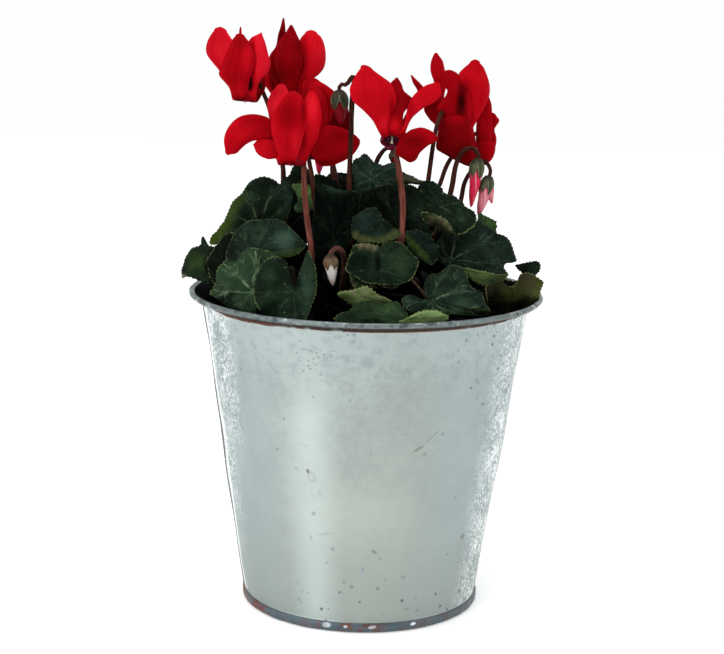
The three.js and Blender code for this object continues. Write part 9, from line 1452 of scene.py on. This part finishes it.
def mat_soil():
    M = Mat("potting_soil")
    P = M.obj()
    clod = M.voronoi(P, 330.0)
    tint = M.split(M.voronoi(P, 330.0, "F1", "Color"))[0]
    fib = M.noise(M.scale(P, 1.0, 2.5, 1.0), 700.0, 4.0, 0.7, 1.0)
    big = M.noise(P, 90.0, 3.0)
    col = M.mix(M.step(M.add(M.mul(tint, 0.5), M.mul(fib, 0.5)), 0.3, 0.75), (0.006, 0.0042, 0.0032), (0.022, 0.015, 0.011))
    col = M.mix(M.mul(M.step(fib, 0.60, 0.72), 0.6), col, (0.095, 0.062, 0.038))
    col = M.mix(M.mul(M.step(big, 0.55, 0.7), 0.4), col, (0.020, 0.020, 0.010))
    M.set(Base_Color=col, Roughness=M.add(0.82, M.mul(fib, 0.12)))
    M.set(Normal=M.bump(M.sub(M.mul(fib, 0.6), M.mul(clod, 1.4)), 0.8, 0.0016))
    return M.mat


def mat_corm():
    M = Mat("corm_skin")
    P = M.obj()
    ring = M.noise(M.scale(P, 1.0, 1.0, 4.0), 210.0, 4.0, 0.6, 0.8)
    crack = M.step(M.voronoi(P, 260.0, "DISTANCE_TO_EDGE"), 0.09, 0.01)
    fine = M.noise(P, 1200.0, 3.0, 0.6)
    col = M.mix(M.step(ring, 0.35, 0.68), (0.030, 0.017, 0.011), (0.085, 0.050, 0.030))
    col = M.mix(M.mul(crack, 0.7), col, (0.012, 0.007, 0.005))
    col = M.mix(M.mul(M.step(fine, 0.55, 0.7), 0.3), col, (0.13, 0.085, 0.052))
    M.set(Base_Color=col, Roughness=M.add(0.66, M.mul(fine, 0.15)))
    M.set(Normal=M.bump(M.sub(M.add(M.mul(ring, 0.8), M.mul(fine, 0.4)), M.mul(crack, 1.0)), 0.7, 0.0009))
    return M.mat


pot_wall()

# base plate, held in the foot
rows = [(0.02, 2.25), (12.0, 2.25), (24.0, 2.24), (34.0, 2.22), (40.0, 2.2), (42.6, 2.2), (43.4, 2.3), (43.75, 2.5), (43.4, 2.7), (42.6, 2.78), (38.0, 2.8), (28.0, 2.8), (14.0, 2.8), (0.02, 2.8)]
b, _ = disc("pot_base", rows, None, "galvanised", "pot_base", 128)
b.done("pot_base_plate", [galvanised("zinc_base", (0.40, 0.44, 0.44), (0.26, 0.30, 0.31))], slot="galvanised", replaces=("pot_base",))

# soil: a root ball with a crumbled top
inner = lambda z: FOOT_R - 0.9 + SLOPE * (z - Z_FOOT)
WS, WT, WU = Waves(51, 21.0), Waves(52, 6.0, 18), Waves(53, 2.6, 24)
rows = [(0.05, 3.15), (20.0, 3.15), (38.0, 3.2), (inner(4.0) - 1.0, 3.5)] + [(inner(z) - 0.35, z) for z in np.linspace(5.0, 99.0, 30)] + [(inner(101.0) - 0.5, 101.0)]
top_r = np.concatenate([[58.2, 56.8], np.linspace(55.6, 9.0, 58), [6.0, 3.0, 0.05]])
n_side = len(rows)
rows += [(r, 102.0 if r > 57.5 else 102.6) for r in top_r]


def soil_shape(ring, r, z):
    if z < 101.5:
        d = 0.18 * WT(ring)
        s = (r + d - 0.2) / max(r, 1e-6) if r > 30 else 1.0
        return ring * [1, 1, 1] if r <= 30 else np.stack([ring[:, 0] * s, ring[:, 1] * s, ring[:, 2]], 1)
    lift = 0.35 * WS(ring) + 0.42 * WT(ring) + 0.30 * np.abs(WU(ring))
    q = ring.copy()
    fade = smooth(58.4, 54.0, r)
    # kept just below the corm, and under the leaf stalks
    q[:, 2] = 102.2 + np.clip(lift, -1.2, 0.8) * fade - 0.5 * (1 - fade)
    return q


b, _ = disc("soil", rows, None, "soil", "soil", 192, soil_shape)
rng = np.random.RandomState(8)
CRUMB = np.array([(1, 1, 1), (-1, -1, 1), (-1, 1, -1), (1, -1, -1)], float)
for k in range(330):
    rr, aa = 57.0 * math.sqrt(rng.uniform(0.02, 1.0)), rng.uniform(0, 2 * math.pi)
    if rr < 15:
        continue
    size = rng.uniform(0.5, 1.5)
    at = np.array([rr * math.cos(aa), rr * math.sin(aa), 102.5 + rng.uniform(-0.2, 0.25)])
    nlat, nlon = 5, 7
    S = np.zeros((nlat, nlon, 3))
    sq = rng.uniform(0.6, 1.25, 3)
    for i in range(nlat):
        th = math.pi * (i + 0.02) / (nlat - 0.96)
        for j in range(nlon):
            ph = 2 * math.pi * j / nlon
            q = np.array([math.sin(th) * math.cos(ph), math.sin(th) * math.sin(ph), -math.cos(th)]) * sq
            S[i, j] = at + q * size * (1 + 0.22 * rng.uniform(-1, 1))
    S[..., 2] = np.minimum(S[..., 2], 104.2)
    b.grid(S, 0, wrap=True, cyl=np.zeros((nlat, nlon + 1, 2)))
b.done("soil_crumbled", [mat_soil()], slot="soil", replaces=("soil",))

# corm: a flattened tuber half sunk in the soil
rows = []
for t in np.linspace(0, 1, 30):
    a = -math.pi / 2 + math.pi * t
    rows.append((max(12.8 * math.cos(a), 0.02), 100.0 + 7.7 * math.sin(a)))
WC = Waves(61, 7.0, 16)


def corm_shape(ring, r, z):
    d = 0.35 * WC(ring) + 0.15 * WU(ring) - 0.45
    q = ring.copy()
    q[:, :2] *= ((r + d) / max(r, 1e-6) if r > 2 else np.ones(len(q)))[:, None]
    q[:, 2] += (0.25 * WC(ring[:, [1, 2, 0]]) if r > 2 else 0) - 0.2
    return q


b = None
b, _ = disc("corm", rows, None, "corm", "corm", 72, corm_shape)
# dead stalk scars round the crown
for k in range(14):
    aa = 2 * math.pi * k / 14 + 0.3
    rr = 6.2 + 2.6 * (k % 3) / 2
    zz = 100.0 + 7.4 * math.sqrt(max(0.0, 1 - (rr / 12.6) ** 2))
    turned(b, [(0.0, -0.8), (0.95, -0.6), (1.05, 0.1), (0.8, 0.35), (0.0, 0.2)], 10, np.array([rr * math.cos(aa), rr * math.sin(aa), zz - 0.1]), np.array([0.35 * math.cos(aa), 0.35 * math.sin(aa), 1.0]), 0, smooth_n=7)
b.done("corm_tuber", [mat_corm()], slot="corm", replaces=("corm",))


# ---------------------------------------------------------------- floor, light and camera
def mat_floor():
    M = Mat("studio_floor")
    P = M.obj()
    soft = M.noise(P, 7.0, 3.0, 0.5)
    fine = M.noise(P, 400.0, 2.0, 0.6)
    col = M.mix(soft, (0.88, 0.88, 0.88), (0.92, 0.92, 0.915))
    M.set(Base_Color=col, Roughness=M.add(0.62, M.mul(fine, 0.08)))
    M.set(Emission_Color=col)
    M.bsdf.inputs["Emission Strength"].default_value = 0.33
    M.set(Normal=M.bump(fine, 0.03, 0.0002))
    return M.mat


me = bpy.data.meshes.new("floor")
r, n = 1.6, 12
pts, faces = [], []
for i in range(n + 1):
    for j in range(n + 1):
        pts.append((-r + 2 * r * i / n, -r + 2 * r * j / n + 0.3, -0.0003))
for i in range(n):
    for j in range(n):
        q = i * (n + 1) + j
        faces.append((q, q + n + 1, q + n + 2, q + 1))
me.from_pydata(pts, [], faces)
me.update()
me.materials.append(mat_floor())
floor = bpy.data.objects.new("studio_floor", me)
bpy.context.scene.collection.objects.link(floor)

world = bpy.data.worlds.new("studio")
bpy.context.scene.world = world
world.use_nodes = True
wt = world.node_tree
bg = wt.nodes["Background"]
ray = wt.nodes.new("ShaderNodeTexCoord")
part = wt.nodes.new("ShaderNodeSeparateXYZ")
ramp = wt.nodes.new("ShaderNodeMapRange")
ramp.interpolation_type = "SMOOTHSTEP"
wt.links.new(ray.outputs["Generated"], part.inputs[0])
wt.links.new(part.outputs[1], ramp.inputs[0])
for i, q in enumerate((-0.35, 0.25, 0.62, 1.0)):
    ramp.inputs[i + 1].default_value = q
wt.links.new(ramp.outputs[0], bg.inputs[1])
bg.inputs[0].default_value = (0.985, 1.0, 1.0, 1.0)


def lamp(name, at, to, size, power, colour=(1, 1, 1), shape="RECTANGLE"):
    d = bpy.data.lights.new(name, "AREA")
    d.shape = shape
    d.size, d.size_y = size
    d.energy = power
    d.color = colour
    o = bpy.data.objects.new(name, d)
    bpy.context.scene.collection.objects.link(o)
    at, to = Vector(at), Vector(to)
    o.location = at
    o.rotation_euler = (to - at).to_track_quat("-Z", "Y").to_euler()
    return o


lamp("soft_right", (0.62, -0.28, 0.42), (0, 0, 0.10), (0.35, 0.75), 1.2)
lamp("soft_left", (-0.62, -0.22, 0.40), (0, 0, 0.10), (0.30, 0.75), 1.0)
lamp("soft_top", (-0.10, -0.15, 0.85), (0, 0, 0.12), (0.55, 0.55), 2.2)
lamp("soft_front", (-0.53, -0.85, 0.45), (0, 0, 0.12), (0.20, 0.90), 2.9)

cam = bpy.data.cameras.new("camera")
cam.lens = 36.0 * FOCAL / 724
cam.sensor_width = 36.0
cam.clip_start, cam.clip_end = 0.01, 20
camera = bpy.data.objects.new("camera", cam)
bpy.context.scene.collection.objects.link(camera)
m = Matrix.Identity(4)
for i in range(3):
    m[i][0], m[i][1], m[i][2], m[i][3] = CAM_X[i], CAM_Y[i], -FWD[i], EYE[i] * MM
camera.matrix_world = m
bpy.context.scene.camera = camera

bpy.context.scene.view_settings.view_transform = "Standard"
bpy.context.scene.view_settings.look = "None"

bpy.context.view_layer.update()
